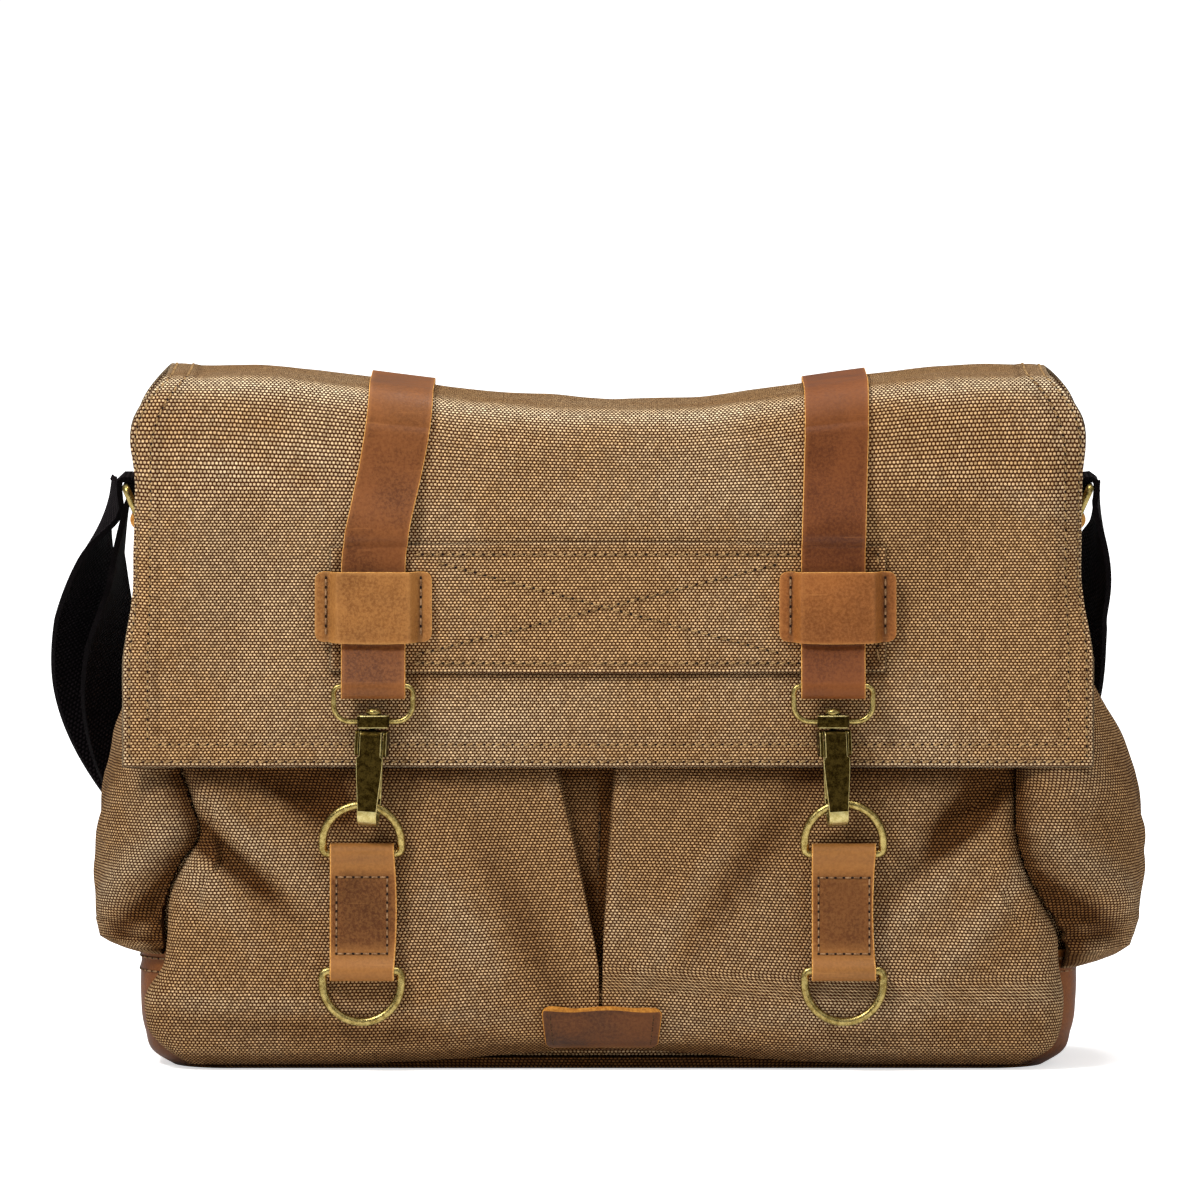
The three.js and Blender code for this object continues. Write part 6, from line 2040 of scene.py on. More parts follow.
        # Painted shadow of the keeper on the strap just below it.
        shade = 0.45 * bell(middle_row[:, 2] - self.keeper_middle + self.keeper_height / 2 + 1 * MM, 2.4 * MM)
        place = stacked(edge * half, at[:, None])
        sheet = Cloth(points, place, np.clip(wear, 0, 1), np.clip(shade[:, None] + 0 * wear, 0, 1))
        name = f"closure_strap_leather_{self.label}"
        finishes = [self.strap_finish, self.finishes.raw_edge]
        piece = sheet.build(name, -form.leather, FRONT, finishes, 0.45 * MM)
        settle(piece, Slot.LEATHER, ROOT_BODY, f"closure_strap_{self.label}")

    def _sewn_end(self, on_flap: Cloth) -> None:
        """Sews the strap's end to the back of the flap with a box of stitches.

        Args:
            on_flap: The flap's face under the strap, from its back end on.
        """
        out = on_flap.normals(UP)
        top = on_flap.points + out * (self.form.leather + self.form.gap + 0.25 * MM)
        seam = Stitching(pitch=3.4 * MM)
        first, last, aside = 2, 10, 3
        for row in (first, last):
            seam.add_row(top[row, aside:-aside], out[row, aside:-aside])
        for column in (aside, -aside - 1):
            seam.add_row(top[first:last + 1, column], out[first:last + 1, column])
        seam.sew(f"closure_stitches_{self.label}", Slot.LEATHER, self.finishes.thread, self.finishes.hole)

    def _keeper(self) -> None:
        """Makes the keeper, raised over the strap and sewn down at both sides."""
        form = self.form
        flat = 2 * form.gap + form.patch_wall + self.lay
        over = flat + 2 * form.leather + 2 * form.gap
        half, high, corner = self.keeper_width / 2, self.keeper_height / 2, 3.2 * MM
        u = np.linspace(-1, 1, 110)
        end = np.linspace(1, 0.85, 7)[:-1]
        v = np.concatenate([end, np.linspace(0.85, -0.85, 18), np.linspace(-0.85, -1, 7)[1:]])
        past = np.maximum(np.abs(v) * high - high + corner, 0)
        reach = half - corner + np.sqrt(np.maximum(corner**2 - past**2, 0))
        x = self.keeper_x + reach[:, None] * u[None]
        aside = np.abs(x - self.keeper_x)
        raised = 1 - smooth(aside, self.keeper_raised / 2 - 2.6 * MM, self.keeper_raised / 2 + 1.4 * MM)
        bow = 0.8 * MM * (1 - np.minimum(aside / half, 1) ** 2)
        z = self.keeper_middle + v[:, None] * high + np.where(v[:, None] < 0, -bow, 0.2 * bow)
        stand = mix(flat, over, raised) + form.leather
        y = self.flap.face(x, z) - stand
        points = stacked(x, y, z)
        points[..., 1] -= 0.25 * MM * ripple(points, 10 * MM, 4.0) * raised
        edge = np.minimum(half - aside, high - np.abs(v)[:, None] * high + 0 * x)
        column = bell(aside - self.keeper_seam, 1.0 * MM)
        wear = np.clip(0.5 * bell(edge, 0.8 * MM) + 0.2 * bell(aside - 15 * MM, 2 * MM), 0, 1)
        sheet = Cloth(points, stacked(x, z), wear, 0.5 * column)
        finishes = [self.keeper_finish, self.finishes.raw_edge]

        def behind(other: Array) -> Array:
            """The keeper's back: its face moved straight back by its wall."""
            return sheet.points + np.array([0.0, form.leather, 0.0]) + 0 * other

        name = f"keeper_leather_{self.label}"
        piece = sheet.build(name, form.leather, FRONT, finishes, 0.3 * MM, behind)
        settle(piece, Slot.LEATHER, ROOT_BODY, f"keeper_{self.label}")
        seam = Stitching(thread=0.9 * MM, pitch=3.4 * MM, hole=1.1 * MM)
        for sign in (-1, 1):
            line_z = np.linspace(-high + 2.2 * MM, high - 2.2 * MM, 20) + self.keeper_middle
            line_x = self.keeper_x + sign * self.keeper_seam + 0 * line_z
            line_y = self.flap.face(line_x, line_z) - flat - form.leather - 0.25 * MM
            line = stacked(line_x, line_y, line_z)
            seam.add_row(line, np.tile(FRONT, (20, 1)))
        seam.sew(f"keeper_stitches_{self.label}", Slot.LEATHER, self.finishes.thread, self.finishes.hole)

    def _eye_frame(self) -> Matrix:
        """Where the swivel block's middle is."""
        return Matrix.Translation((self.eye_x, self.hook_plane, self.block_foot + self.block[2] / 2))

    def _hook_frame(self) -> Matrix:
        """Where the hook hangs from the block, leant and twisted."""
        turn = Matrix.Rotation(math.radians(self.twist), 4, "Z")
        lean = Matrix.Rotation(math.radians(-self.lean), 4, "Y")
        return self._eye_frame() @ turn @ lean

    def _eye(self) -> None:
        """Makes the eye with its swivel block."""
        metal = Metal()
        frame = self._eye_frame()
        wide, high = self.eye_width - self.eye_wire, self.eye_height - self.eye_wire
        top = (wide - self.strap_width) / 2 - 0.2 * MM
        outline = evened_loop(rounded_box(wide, high, 6.4 * MM, top), 0.8 * MM)
        path = stacked(outline[:, 0], 0.0, outline[:, 1] + high / 2)
        metal.add_wire(path, self.eye_wire, frame)
        piece = metal.build(f"swivel_eye_wire_{self.label}", [self.finishes.wire])
        settle(piece, Slot.BRASS, ROOT_BODY, f"swivel_eye_{self.label}")
        block = Metal()
        outline = rounded_box(self.block[0], self.block[1], 2.4 * MM)
        block.add_plate(outline, self.block[2], frame @ quarter("X"))
        finishes = [self.finishes.plate, self.finishes.bright]
        piece = block.build(f"swivel_block_{self.label}", finishes, 0.5 * MM)
        settle(piece, Slot.BRASS, ROOT_BODY)

    def _hook_heights(self) -> tuple[float, float, float, float]:
        """Top, foot, pin and nose of the hook, below the block's middle."""
        top = -self.block[2] / 2 - 0.9 * MM
        foot = -self.block[2] / 2 - self.hook_length
        return top, foot, top - self.pin_drop, foot + self.hook_nose

    def _hook(self) -> None:
        """Makes the hook: a bent plate with ears, the pin, the post and its rivet head."""
        frame = self._hook_frame()
        top, foot, pin_z, nose = self._hook_heights()
        wall, depth = self.hook_plate, self.hook_depth
        mid = depth / 2 - wall / 2
        turn = foot + depth / 2
        bend = self.hook_bend
        line = [(self.hook_mouth / 2, top - wall / 2), (-mid + bend, top - wall / 2)]
        line += [
            (-mid + bend * (1 - math.sin(a)), top - wall / 2 - bend * (1 - math.cos(a)))
            for a in np.linspace(0.3, math.pi / 2, 5)
        ]
        line += [(-mid, z) for z in np.linspace(top - 3 * MM, turn, 26)]
        line += [
            (-mid * math.cos(a), turn - mid * math.sin(a)) for a in np.linspace(0, math.pi, 18)[1:]
        ]
        line += [(mid, z) for z in np.linspace(turn, nose, 8)[1:]]
        path = evened(np.array(line), 0.9 * MM)
        z = path[:, 1]
        share = smooth(z, foot + 2 * MM, top - self.ear_height)
        wide = mix(self.hook_tip, self.hook_width, share) / 2
        waist = np.where((z > top - self.ear_height) & (path[:, 0] < 0), 1.0 * MM, 0.0)
        wide = wide - waist
        u = np.linspace(-1, 1, 7)
        points = transformed(stacked(wide[:, None] * u, path[:, :1], path[:, 1:]), frame)
        sheet = Cloth(points, np.zeros(points.shape[:2] + (2,)))
        facing = frame.to_3x3() @ Vector(FRONT)
        front = sheet.normals(facing)
        middle = len(points) // 3
        outward = 1 if float(front[middle, 3] @ np.array(facing)) > 0 else -1
        sheet.points = points + front * outward * wall / 2
        finishes = [self.finishes.plate, self.finishes.bright]
        name = f"hook_plate_{self.label}"
        piece = sheet.build(name, wall * outward, tuple(facing), finishes, 0.3 * MM)
        self._polish_tip(piece, frame, foot)
        settle(piece, Slot.BRASS, ROOT_BODY, f"hook_body_{self.label}")
        rest = Metal()
        span = self.hook_width + self.ear_wall
        ear = rounded_box(self.hook_mouth + wall, self.ear_height, 1.6 * MM)
        for sign in (-1, 1):
            place = Matrix.Translation((sign * (span / 2 - 0.45 * MM), 0, top - self.ear_height / 2))
            rest.add_plate(ear, self.ear_wall, frame @ place @ quarter("Z"))
        lie = quarter("Y")
        pin_y = self.hook_mouth / 2 - self.pin_inset
        head, round_off = self.pin / 2, 0.2 * MM
        reach = span / 2 + 0.4 * MM
        pin = [(head * 0.7, -reach), (head, -reach + round_off)]
        pin += [(head, reach - round_off), (head * 0.7, reach)]
        rest.add_turned(pin, frame @ Matrix.Translation((0, pin_y, pin_z)) @ lie)
        lift = self.block[2] / 2
        piece = rest.build(f"hook_ears_{self.label}", [self.finishes.plate, self.finishes.bright], 0.3 * MM)
        settle(piece, Slot.BRASS, ROOT_BODY)
        post = Metal()
        big, tall = self.rivet / 2, 2.7 * MM
        dome = [(1.4 * MM, top - 1 * MM), (1.4 * MM, lift), (big, lift + 0.3 * MM), (big, lift + 1.2 * MM)]
        peak = lift + tall
        dome += [(big * 0.86, peak - 0.5 * MM), (big * 0.5, peak - 0.1 * MM), (0.1 * MM, peak)]
        post.add_turned(dome, frame)
        piece = post.build(f"hook_post_{self.label}", [self.finishes.wire])
        settle(piece, Slot.BRASS, ROOT_BODY)

    def _polish_tip(self, piece: bpy.types.Object, frame: Matrix, foot: float) -> None:
        """Gives the bent foot of the hook its rubbed finish."""
        mesh = piece.data
        inverse = frame.inverted()
        for polygon in mesh.polygons:
            height = (inverse @ polygon.center).z
            if height < foot + 6.4 * MM:
                polygon.material_index = 1

    def _lever(self) -> None:
        """Makes the spring lever that closes the hook's mouth."""
        frame = self._hook_frame()
        _, _, pin_z, nose = self._hook_heights()
        pin_y = self.hook_mouth / 2 - self.pin_inset
        back = self.hook_mouth / 2 - self.form.gap
        wall = self.lever_wall
        metal = Metal()
        knuckle = self.pin / 2 + 0.35 * MM + 1 * MM
        half = self.lever_width / 2
        lie = quarter("Y")
        at = Matrix.Translation((0, pin_y, pin_z))
        barrel = [(knuckle * 0.8, -half), (knuckle, -half + 0.2 * MM)]
        barrel += [(knuckle, half - 0.2 * MM), (knuckle * 0.8, half)]
        metal.add_turned(barrel, frame @ at @ lie)
        end = nose - 1.4 * MM
        outline = rounded_box(wall, pin_z - end, 0.3 * MM)
        place = Matrix.Translation((0, back - wall / 2, (pin_z + end) / 2))
        metal.add_plate(outline, self.lever_width, frame @ place @ quarter("Z"))
        piece = metal.build(f"lever_plate_{self.label}", [self.finishes.wire, self.finishes.bright], 0.2 * MM)
        settle(piece, Slot.BRASS, f"lever_{self.label}", f"hook_lever_{self.label}")

    def _ring(self, name: str, frame: Matrix, body: str, node: str) -> None:
        """Makes a D-ring hanging from its straight bar."""
        half = (self.ring_width - self.ring_wire) / 2
        leg = self.ring_height - self.ring_wire - half
        corner = min(2.2 * MM, leg / 2)
        line = [(0.0, 0.0)]
        line += [
            (half - corner + corner * math.sin(a), -corner + corner * math.cos(a))
            for a in np.linspace(0, math.pi / 2, 8)
        ]
        line += [(half * math.cos(a), -leg + half * math.sin(a)) for a in np.linspace(0, -math.pi, 60)]
        line += [
            (-half + corner - corner * math.cos(a), -corner + corner * math.sin(a))
            for a in np.linspace(0, math.pi / 2, 8)
        ]
        outline = evened_loop(np.array(line), 0.9 * MM)
        path = stacked(outline[:, 0], 0.0, outline[:, 1])
        metal = Metal()
        metal.add_wire(path, self.ring_wire, frame, 22)
        piece = metal.build(name, [self.finishes.wire])
        settle(piece, Slot.BRASS, body, node)

    def _tab(self) -> None:
        """Makes the leather tab folded round the bars of its two rings, and the rings."""
        form = self.form
        bar = self.ring_wire / 2 + form.gap
        end = bar + form.leather
        low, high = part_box(f"ring_tab_{self.label}")
        low_y, top_y = low.y + end, high.y - end
        pull = (top_y - self.hook_plane) / (self.ring_height - self.ring_wire)
        lean = math.pi + math.asin(max(min(pull, 0.5), -0.5))
        upper = Matrix.Translation((self.ring_x, top_y, self.upper_bar)) @ Matrix.Rotation(lean, 4, "X")
        self._ring(f"upper_ring_wire_{self.label}", upper, ROOT_BODY, f"upper_ring_{self.label}")
        lower = Matrix.Translation((self.ring_x, low_y, self.lower_bar))
        self._ring(f"lower_ring_wire_{self.label}", lower, f"ring_{self.label}", f"lower_ring_{self.label}")
        rise = self.upper_bar - self.lower_bar
        slope = math.atan2(top_y - low_y, rise)
        length = math.hypot(rise, top_y - low_y)
        place = Matrix.Translation((self.ring_x, (top_y + low_y) / 2, (self.upper_bar + self.lower_bar) / 2))
        frame = place @ Matrix.Rotation(-slope, 4, "X")
        half = form.leather + self.tab_clearance
        neck = math.acos(half / end)
        line = [
            (end * math.cos(a), length / 2 + end * math.sin(a))
            for a in np.linspace(-neck, math.pi + neck, 26)
        ]
        line += [
            (end * math.cos(a), -length / 2 + end * math.sin(a))
            for a in np.linspace(math.pi - neck, 2 * math.pi + neck, 26)
        ]
        outer = evened_loop(np.array(line), 1.0 * MM)
        for _ in range(3):
            outer = (np.roll(outer, 1, axis=0) + 2 * outer + np.roll(outer, -1, axis=0)) / 4
        outer = np.roll(outer, -int(np.argmax(outer[:, 1])), axis=0)
        edge = np.array([-1, -0.97, -0.93, -0.8, -0.5, 0, 0.5, 0.8, 0.93, 0.97, 1])
        bow = 1.1 * MM * (1 - (outer[:, 1] / (length / 2)) ** 2).clip(0)
        x = edge[:, None] * self.tab_width / 2 + smooth(edge, 0, 1)[:, None] * bow[None] * self.side.sign * -1
        points = stacked(x, outer[:, 0], outer[:, 1])
        hollow = smooth(np.abs(outer[:, 1]), length / 2 - 12 * MM, length / 2 - 5 * MM)
        wear = 0.5 * hollow[None] + 0.5 * (np.abs(edge) > 0.95)[:, None]
        inside = (1 - hollow)[None] * smooth(1 - np.abs(edge), 0.1, 0.3)[:, None]
        place_field = stacked(x, np.arange(len(outer)) * MM)
        points = transformed(points, frame)
        sheet = Cloth(points, place_field, np.clip(wear, 0, 1), 0.45 * inside, ring=True)
        facing = frame.to_3x3() @ Vector(FRONT)
        upwards = frame.to_3x3() @ Vector(UP)
        finishes = [self.finishes.tab, self.finishes.raw_edge]
        name = f"ring_tab_leather_{self.label}"
        piece = sheet.build(name, form.leather * 0.97, tuple(upwards), finishes, 0.4 * MM)
        settle(piece, Slot.LEATHER, ROOT_BODY, f"ring_tab_{self.label}")
        seam = Stitching(thread=0.7 * MM, pitch=3.2 * MM, hole=1.1 * MM)
        top, foot, reach = length / 2 - 9.5 * MM, -length / 2 + 6.5 * MM, self.tab_width / 2 - 2.6 * MM
        corners = [(-reach, top), (reach, top), (reach, foot), (-reach, foot), (-reach, top)]
        for (x0, z0), (x1, z1) in zip(corners, corners[1:]):
            share = np.linspace(0, 1, 20)
            y = np.full(20, -half - 0.12 * MM)
            line = transformed(stacked(mix(x0, x1, share), y, mix(z0, z1, share)), frame)
            seam.add_row(line, np.tile(tuple(facing), (20, 1)))
        seam.sew(f"ring_tab_stitches_{self.label}", Slot.LEATHER, self.finishes.thread, self.finishes.hole)


@dataclass
class ShoulderStrap:
    """The webbing shoulder strap with its side rings, their leather chapes and the slider."""

    form: BagForm
    finishes: Finishes
    width: float = 38 * MM
    wall: float = 2.2 * MM
    play: float = 0.7 * MM
    lie: float = 0.9 * MM
    ring_wire: float = 3.2 * MM
    ring_width: float = 48 * MM
    ring_corner: float = 2 * MM
    ring_height: float = 17 * MM
    ring_foot: float = 212 * MM
    ring_stand_off: float = 5.5 * MM
    ring_lean: float = math.radians(24)
    chape_width: float = 36 * MM
    chape_height: float = 24 * MM
    slider_width: float = 46 * MM
    slider_length: float = 22 * MM
    slider_rail: float = 3.4 * MM
    slider_wall: float = 2.4 * MM
    run: tuple = (
        (-0.49, 1.1, 0.219, 0), (-0.66, 1.105, 0.271, 0), (-0.86, 1.1, 0.369, -6),
        (-1.0, 1.03, 0.484, -30), (-1.065, 0.82, 0.611, -48), (-1.075, 0.62, 0.738, -62),
        (-1.06, 0.42, 0.853, -84),
    )
    run_back: tuple = (
        (-1.105, 0.52, 0.9, -74), (-1.125, 0.74, 0.784, -50), (-1.115, 0.96, 0.646, -38),
        (-1.03, 1.14, 0.507, -24), (-0.87, 1.205, 0.369, -4), (-0.66, 1.2, 0.26, 0),
        (-0.42, 1.2, 0.202, 0), (0, 1.2, 0.173, 0), (0.42, 1.2, 0.208, 0), (0.72, 1.19, 0.311, 4),
        (0.9, 1.14, 0.461, 22), (0.985, 1.0, 0.634, 40), (1.02, 0.78, 0.784, 55), (1.06, 0.5, 0.888, 80),
    )

    @property
    def ring_x(self) -> float:
        """How far out the side rings' lower bars are."""
        shares = self.ring_foot / self.form.body_height
        width = float(np.interp(shares, self.form.body_heights, self.form.body_widths))
        return self.form.half_width * width + self.ring_stand_off

    @property
    def ring_y(self) -> float:
        """The depth of the side rings' middles."""
        return self.form.half_depth * 0.35

    @property
    def span(self) -> float:
        """The distance between a side ring's bars."""
        return self.ring_height - self.ring_wire

    @property
    def bar_height(self) -> float:
        """The height of a side ring's outer bar."""
        return self.ring_foot + self.span * math.cos(self.ring_lean)

    def _station(self, row: tuple, flip: float) -> tuple[Array, Array]:
        """A point of the strap's middle line and the direction of its face."""
        across, depth, height, facing = row
        form = self.form
        point = np.array([across * form.half_width, depth * form.half_depth, height * self.bar_height])
        angle = math.radians(facing)
        return point, np.array([-math.sin(angle), -math.cos(angle), 0]) * flip

    def _turn(self, sign: float) -> list[tuple[Array, Array]]:
        """The webbing's turn round a side ring's outer bar."""
        radius = self.ring_wire / 2 + self.play + self.wall / 2
        bar_x = self.ring_x + self.span * math.sin(self.ring_lean)
        bar_z = self.ring_foot + self.span * math.cos(self.ring_lean)
        stations = []
        if sign < 0:
            point = np.array([sign * (bar_x + self.lie), self.ring_y, bar_z - self.span * 0.75])
            stations.append((point, np.array([-sign, 0.0, 0.0])))
        for degrees in (-60, -15, 30, 75, 120, 165, 205):
            angle = math.radians(degrees)
            point = np.array([
                sign * (bar_x - radius * math.cos(angle)), self.ring_y, bar_z + radius * math.sin(angle),
            ])
            stations.append((point, np.array([-sign * math.cos(angle), 0.0, math.sin(angle)])))
        return stations

    def stations(self) -> list[tuple[Array, Array]]:
        """The strap's middle points and faces, from the slider to the right ring."""
        return [
            *[self._station(row, 1) for row in self.run],
            *self._turn(-1),
            *[self._station(row, -1) for row in self.run_back],
            *self._turn(1)[::-1],
        ]

    def build(self) -> None:
        """Makes the strap and its hardware."""
        self._webbing()
        for side in Side:
            self._ring(side)
            self._chape(side)
        self._slider()

    def _webbing(self) -> None:
        """Makes the webbing as one ribbon with thick woven edges."""
        stations = self.stations()
        points = np.array([point for point, _ in stations])
        faces = np.array([face for _, face in stations])
        line, at = rounded_line(points, 12)
        face = read_at(at, np.arange(len(faces)), faces)
        run = along(line)
        even = np.linspace(0, run[-1], int(run[-1] / (2.4 * MM)))
        line, face = read_at(even, run, line), read_at(even, run, face)
        tangent = unit(np.gradient(line, axis=0))
        face = unit(face - tangent * np.sum(face * tangent, axis=1, keepdims=True))
        across = np.cross(tangent, face)
        u = np.concatenate([[-1, -0.985], np.linspace(-0.95, 0.95, 15), [0.985, 1]])
        groove, lip = bell(np.abs(u) - 0.84, 0.04), bell(np.abs(u) - 0.95, 0.04)
        thick = self.wall / 2 * (1 - 0.12 * groove + 0.05 * lip)
        upper = line[:, None] + across[:, None] * (u * self.width / 2)[None, :, None]
        upper = upper + face[:, None] * thick[None, :, None]
        place = stacked(u * self.width / 2, even[:, None])
        wear = 0.3 * bell(np.abs(u) - 1, 0.03)[None] + 0 * even[:, None]
        shade = 0.5 * bell(np.abs(u) - 0.84, 0.03)[None] + 0 * even[:, None]
        sheet = Cloth(upper, place, wear, shade)
        middle = face[len(face) // 2]
        piece = sheet.build("shoulder_webbing", self.wall, tuple(middle), [self.finishes.webbing], 0.5 * MM)
        settle(piece, Slot.WEBBING, ROOT_BODY, "shoulder_strap")

    def _ring_frame(self, side: Side) -> Matrix:
        """Where a side ring's lower bar is."""
        place = Matrix.Translation((side.sign * self.ring_x, self.ring_y, self.ring_foot))
        return place @ Matrix.Rotation(side.sign * self.ring_lean, 4, "Y")

    def _ring(self, side: Side) -> None:
        """Makes a rectangular side ring."""
        outline = evened_loop(
            rounded_box(self.ring_width - self.ring_wire, self.span, self.ring_corner), 0.9 * MM
        )
        path = stacked(outline[:, 0], 0.0, outline[:, 1] + self.span / 2)
        metal = Metal()
        turn = quarter("Z")
        metal.add_wire(path, self.ring_wire, self._ring_frame(side) @ turn)
        piece = metal.build(f"side_ring_wire_{side.value}", [self.finishes.wire])
        settle(piece, Slot.BRASS, ROOT_BODY, f"side_ring_{side.value}")

    def _chape(self, side: Side) -> None:
        """Makes the leather chape that holds a side ring."""
        form = self.form
        bore = self.ring_wire / 2 + form.gap
        mid = bore + form.leather / 2
        line = [(-mid, z) for z in np.linspace(-self.chape_height, -mid, 14)]
        line += [(-mid * math.cos(a), mid * math.sin(a)) for a in np.linspace(0, 1.42 * math.pi, 26)]
        path = evened(np.array(line), 0.9 * MM)
        edge = np.array([-1, -0.97, -0.9, -0.5, 0, 0.5, 0.9, 0.97, 1])
        y = edge * self.chape_width / 2
        x = side.sign * path[:, :1]
        points = stacked(x, y, path[:, 1:])
        place = Matrix.Translation((side.sign * self.ring_x, self.ring_y, self.ring_foot))
        points = transformed(points, place)
        wear = 0.4 * (np.abs(edge) > 0.95)[None] + 0 * x
        sheet = Cloth(points, stacked(y, path[:, 1:]), wear)
        inward = Vector((-side.sign, 0, 0))
        low = Cloth(points[:8], place=np.zeros((8, len(edge), 2))).normals(inward)
        full = sheet.normals(inward)
        turned = float(np.sum(full[:8] * low)) < 0
        sheet.points = points + full * (form.leather / 2) * (-1 if turned else 1)
        finishes = [self.finishes.tab, self.finishes.raw_edge]
        name = f"side_chape_leather_{side.value}"
        piece = sheet.build(name, form.leather * (-1 if turned else 1), tuple(inward), finishes, 0.4 * MM)
        settle(piece, Slot.LEATHER, ROOT_BODY, f"side_chape_{side.value}")

    def _slider(self) -> None:
        """Makes the slider on the strap's end: a bevelled rectangular frame."""
        (end, _), (following, _) = self.stations()[:2]
        onward = end - following
        onward[1] = 0
        onward /= np.linalg.norm(onward)
        centre = end + onward * (self.slider_length / 2 + 2 * self.form.gap)
        tilt = math.atan2(-onward[2], onward[0])
        frame = Matrix.Translation(Vector(centre)) @ Matrix.Rotation(tilt, 4, "Y")
        rail = self.slider_rail
        outline = evened_loop(
            rounded_box(self.slider_length - rail, self.slider_width - rail, 1.6 * MM), 1.2 * MM
        )
        path = stacked(outline[:, 0], 0.0, outline[:, 1])
        profile = rounded_box(rail, self.slider_wall, 0.7 * MM)
        metal = Metal()
        metal.add(*swept(path, profile), frame)
        piece = metal.build("strap_slider_brass", [self.finishes.wire])
        settle(piece, Slot.BRASS, ROOT_BODY, "strap_slider")


def rounded_line(points: Array, steps: int) -> tuple[Array, Array]:
    """A centripetal curve through points.

    Args:
        points: The points that it passes through.
        steps: How many pieces each stretch is cut into.

    Returns:
        The curve's points, and the place of each in the list of given points.
    """
    padded = np.concatenate([[2 * points[0] - points[1]], points, [2 * points[-1] - points[-2]]])
    line, at = [], []
    for start in range(len(points) - 1):
        p0, p1, p2, p3 = padded[start:start + 4]
        gaps = [max(np.linalg.norm(b - a) ** 0.5, 1e-6) for a, b in ((p0, p1), (p1, p2), (p2, p3))]
        t0, t1 = 0.0, gaps[0]
        t2, t3 = t1 + gaps[1], t1 + gaps[1] + gaps[2]
        for step in range(steps):
            t = mix(t1, t2, step / steps)
            a1 = mix(p0, p1, (t - t0) / (t1 - t0))
            a2 = mix(p1, p2, (t - t1) / (t2 - t1))
            a3 = mix(p2, p3, (t - t2) / (t3 - t2))
            b1 = mix(a1, a2, (t - t0) / (t2 - t0))
            b2 = mix(a2, a3, (t - t1) / (t3 - t1))
            line.append(mix(b1, b2, (t - t1) / (t2 - t1)))
            at.append(start + step / steps)
    line.append(points[-1])
    at.append(len(points) - 1)
    return np.array(line), np.array(at)


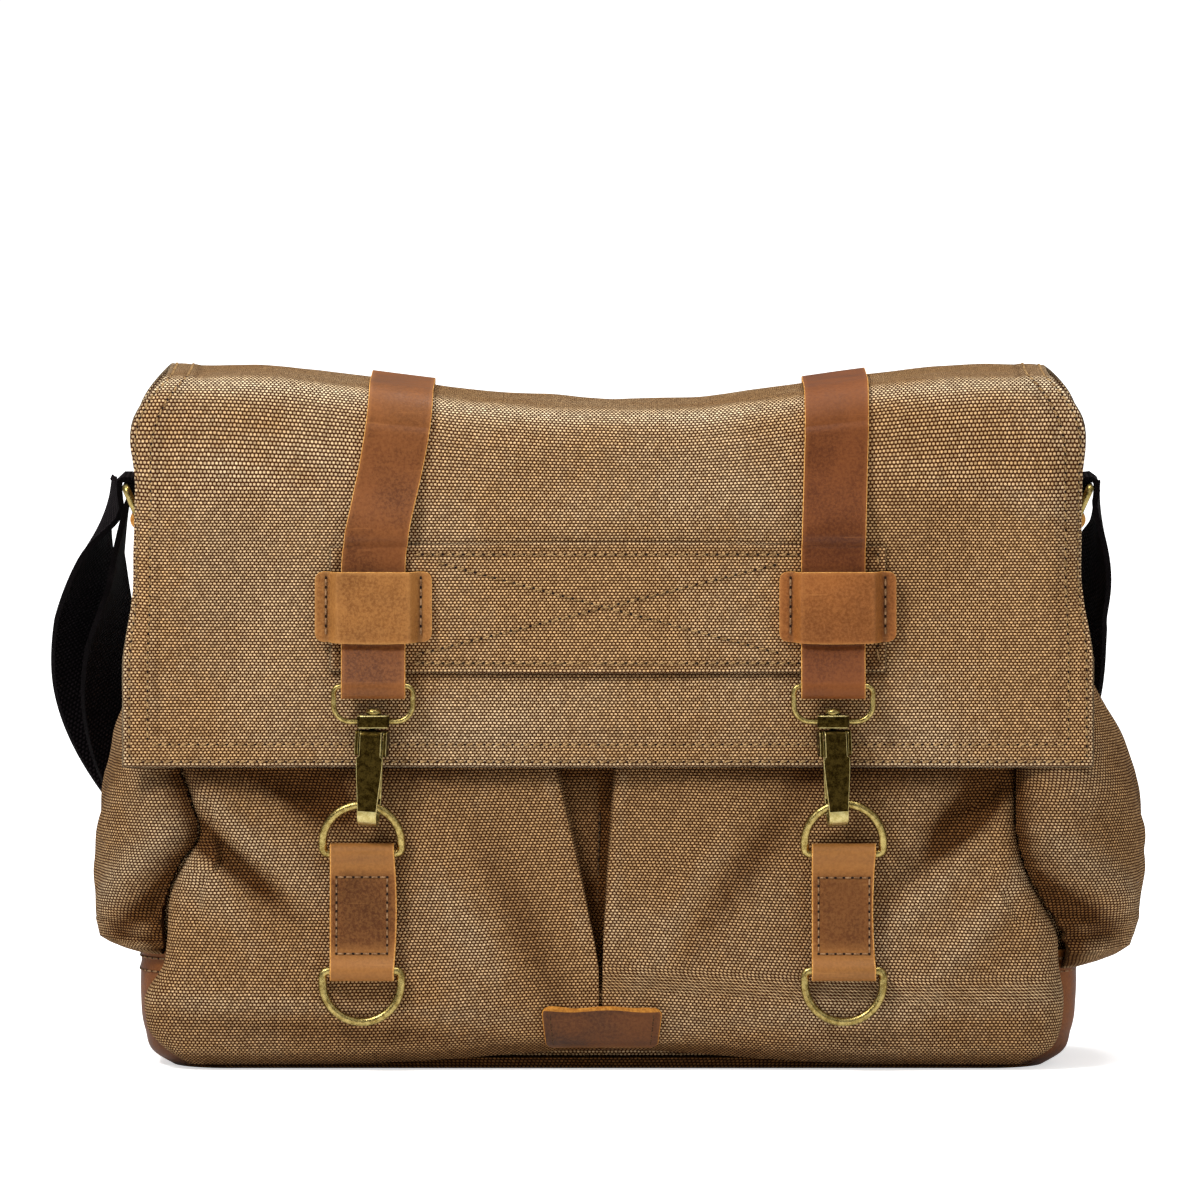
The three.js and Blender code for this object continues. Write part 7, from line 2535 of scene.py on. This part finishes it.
@dataclass
class Studio:
    """A pale floor, soft light and a long lens a little above the bag's middle."""

    millimetres_per_pixel: float = 0.39
    middle_column: float = 608
    floor_row: float = 1073
    elevation: float = math.radians(4)
    distance: float = 6.0
    sensor: float = 36.0
    front_plane: float = -60 * MM

    def build(self) -> None:
        """Makes the camera, the lights, the floor and the sky."""
        self._camera()
        self._lights()
        self._floor()
        self._sky()
        scene = bpy.context.scene
        scene.view_settings.view_transform = "Standard"
        scene.view_settings.look = "None"
        scene.view_settings.exposure = 0.0

    def _camera(self) -> None:
        """Places the camera so that the image frames what the photograph does."""
        scale = self.millimetres_per_pixel * MM
        x = (IMAGE_PIXELS / 2 - self.middle_column) * scale
        z = (self.floor_row - IMAGE_PIXELS / 2) * scale
        back = Vector((0, -math.cos(self.elevation), math.sin(self.elevation)))
        aim = Vector((x, self.front_plane, z))
        data = bpy.data.cameras.new("camera")
        data.sensor_width = self.sensor
        data.lens = self.sensor * self.distance / (IMAGE_PIXELS * scale)
        data.clip_start = 0.1
        data.clip_end = 60
        camera = bpy.data.objects.new("camera", data)
        camera.location = aim + back * self.distance
        camera.rotation_euler = (-back).to_track_quat("-Z", "Y").to_euler()
        bpy.context.scene.collection.objects.link(camera)
        bpy.context.scene.camera = camera

    def _lights(self) -> None:
        """Hangs three soft area lights."""
        lamps = (
            ("key_light", (-0.9, -1.0, 1.5), 0.45, 27.0),
            ("fill_light", (1.3, -1.2, 0.7), 1.1, 2.2),
            ("top_light", (0.3, 0.0, 1.5), 0.6, 11.0),
        )
        for name, place, size, power in lamps:
            data = bpy.data.lights.new(name, "AREA")
            data.shape = "SQUARE"
            data.size = size
            data.energy = power
            lamp = bpy.data.objects.new(name, data)
            lamp.location = place
            aim = Vector((0, 0, 0.13)) - Vector(place)
            lamp.rotation_euler = aim.to_track_quat("-Z", "Y").to_euler()
            bpy.context.scene.collection.objects.link(lamp)

    def _floor(self) -> None:
        """Lays the pale floor, which glows as painted light: to the camera more strongly away from the bag,
        and faintly to every ray.
        """
        mesh = bpy.data.meshes.new("floor")
        size = 12.0
        corners = [(-size, -size, 0), (size, -size, 0), (size, size, 0), (-size, size, 0)]
        mesh.from_pydata(corners, [], [[0, 1, 2, 3]])
        material, nodes, shader = start_material("pale_floor", 0.9)
        shader.inputs["Base Color"].default_value = (0.93, 0.93, 0.93, 1)
        shader.inputs["Specular IOR Level"].default_value = 0.1
        spot = nodes.spot()
        length = nodes.add("ShaderNodeVectorMath", operation="LENGTH")
        nodes.feed(length.inputs[0], spot)
        seen = nodes.add("ShaderNodeLightPath").outputs["Is Camera Ray"]
        # Painted light: the floor glows to the camera, more away from the bag, and a little for every ray.
        glow = nodes.times(nodes.ramp(length.outputs["Value"], 0.25, 0.7), 0.5)
        glow = nodes.times(nodes.plus(glow, 0.5), seen)
        shader.inputs["Emission Color"].default_value = (1, 1, 1, 1)
        nodes.feed(shader.inputs["Emission Strength"], nodes.plus(glow, 0.1))
        floor = finish_mesh("floor", mesh, [material])

    def _sky(self) -> None:
        """Lights the scene evenly with a white sky, seen as pure white."""
        world = bpy.data.worlds.new("sky")
        bpy.context.scene.world = world
        world.use_nodes = True
        nodes = Nodes(world.node_tree)
        glow = world.node_tree.nodes["Background"]
        glow.inputs["Color"].default_value = (1, 1, 1, 1)
        path = nodes.add("ShaderNodeLightPath")
        way = nodes.add("ShaderNodeSeparateXYZ")
        nodes.feed(way.inputs[0], nodes.add("ShaderNodeTexCoord").outputs["Generated"])
        dome = nodes.plus(nodes.times(nodes.ramp(way.outputs[2], 0.0, 0.8), 0.5), 0.07)
        power = nodes.plus(nodes.times(path.outputs["Is Camera Ray"], 1.0), dome)
        nodes.feed(glow.inputs["Strength"], power)


def main() -> None:
    """Builds the bag's looks around the frame."""
    logging.basicConfig(level=logging.INFO, format="%(name)s: %(message)s")
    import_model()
    form = BagForm()
    finishes = Finishes()
    Studio().build()
    Body(form, finishes).build()
    FrontPocket(form, finishes).build()
    for side in Side:
        SidePocket(form, finishes, side).build()
    flap = Flap(form, finishes)
    flap.build()
    for side in Side:
        Closure(form, finishes, flap, side).build()
    ShoulderStrap(form, finishes).build()


if __name__ == "__main__":
    main()
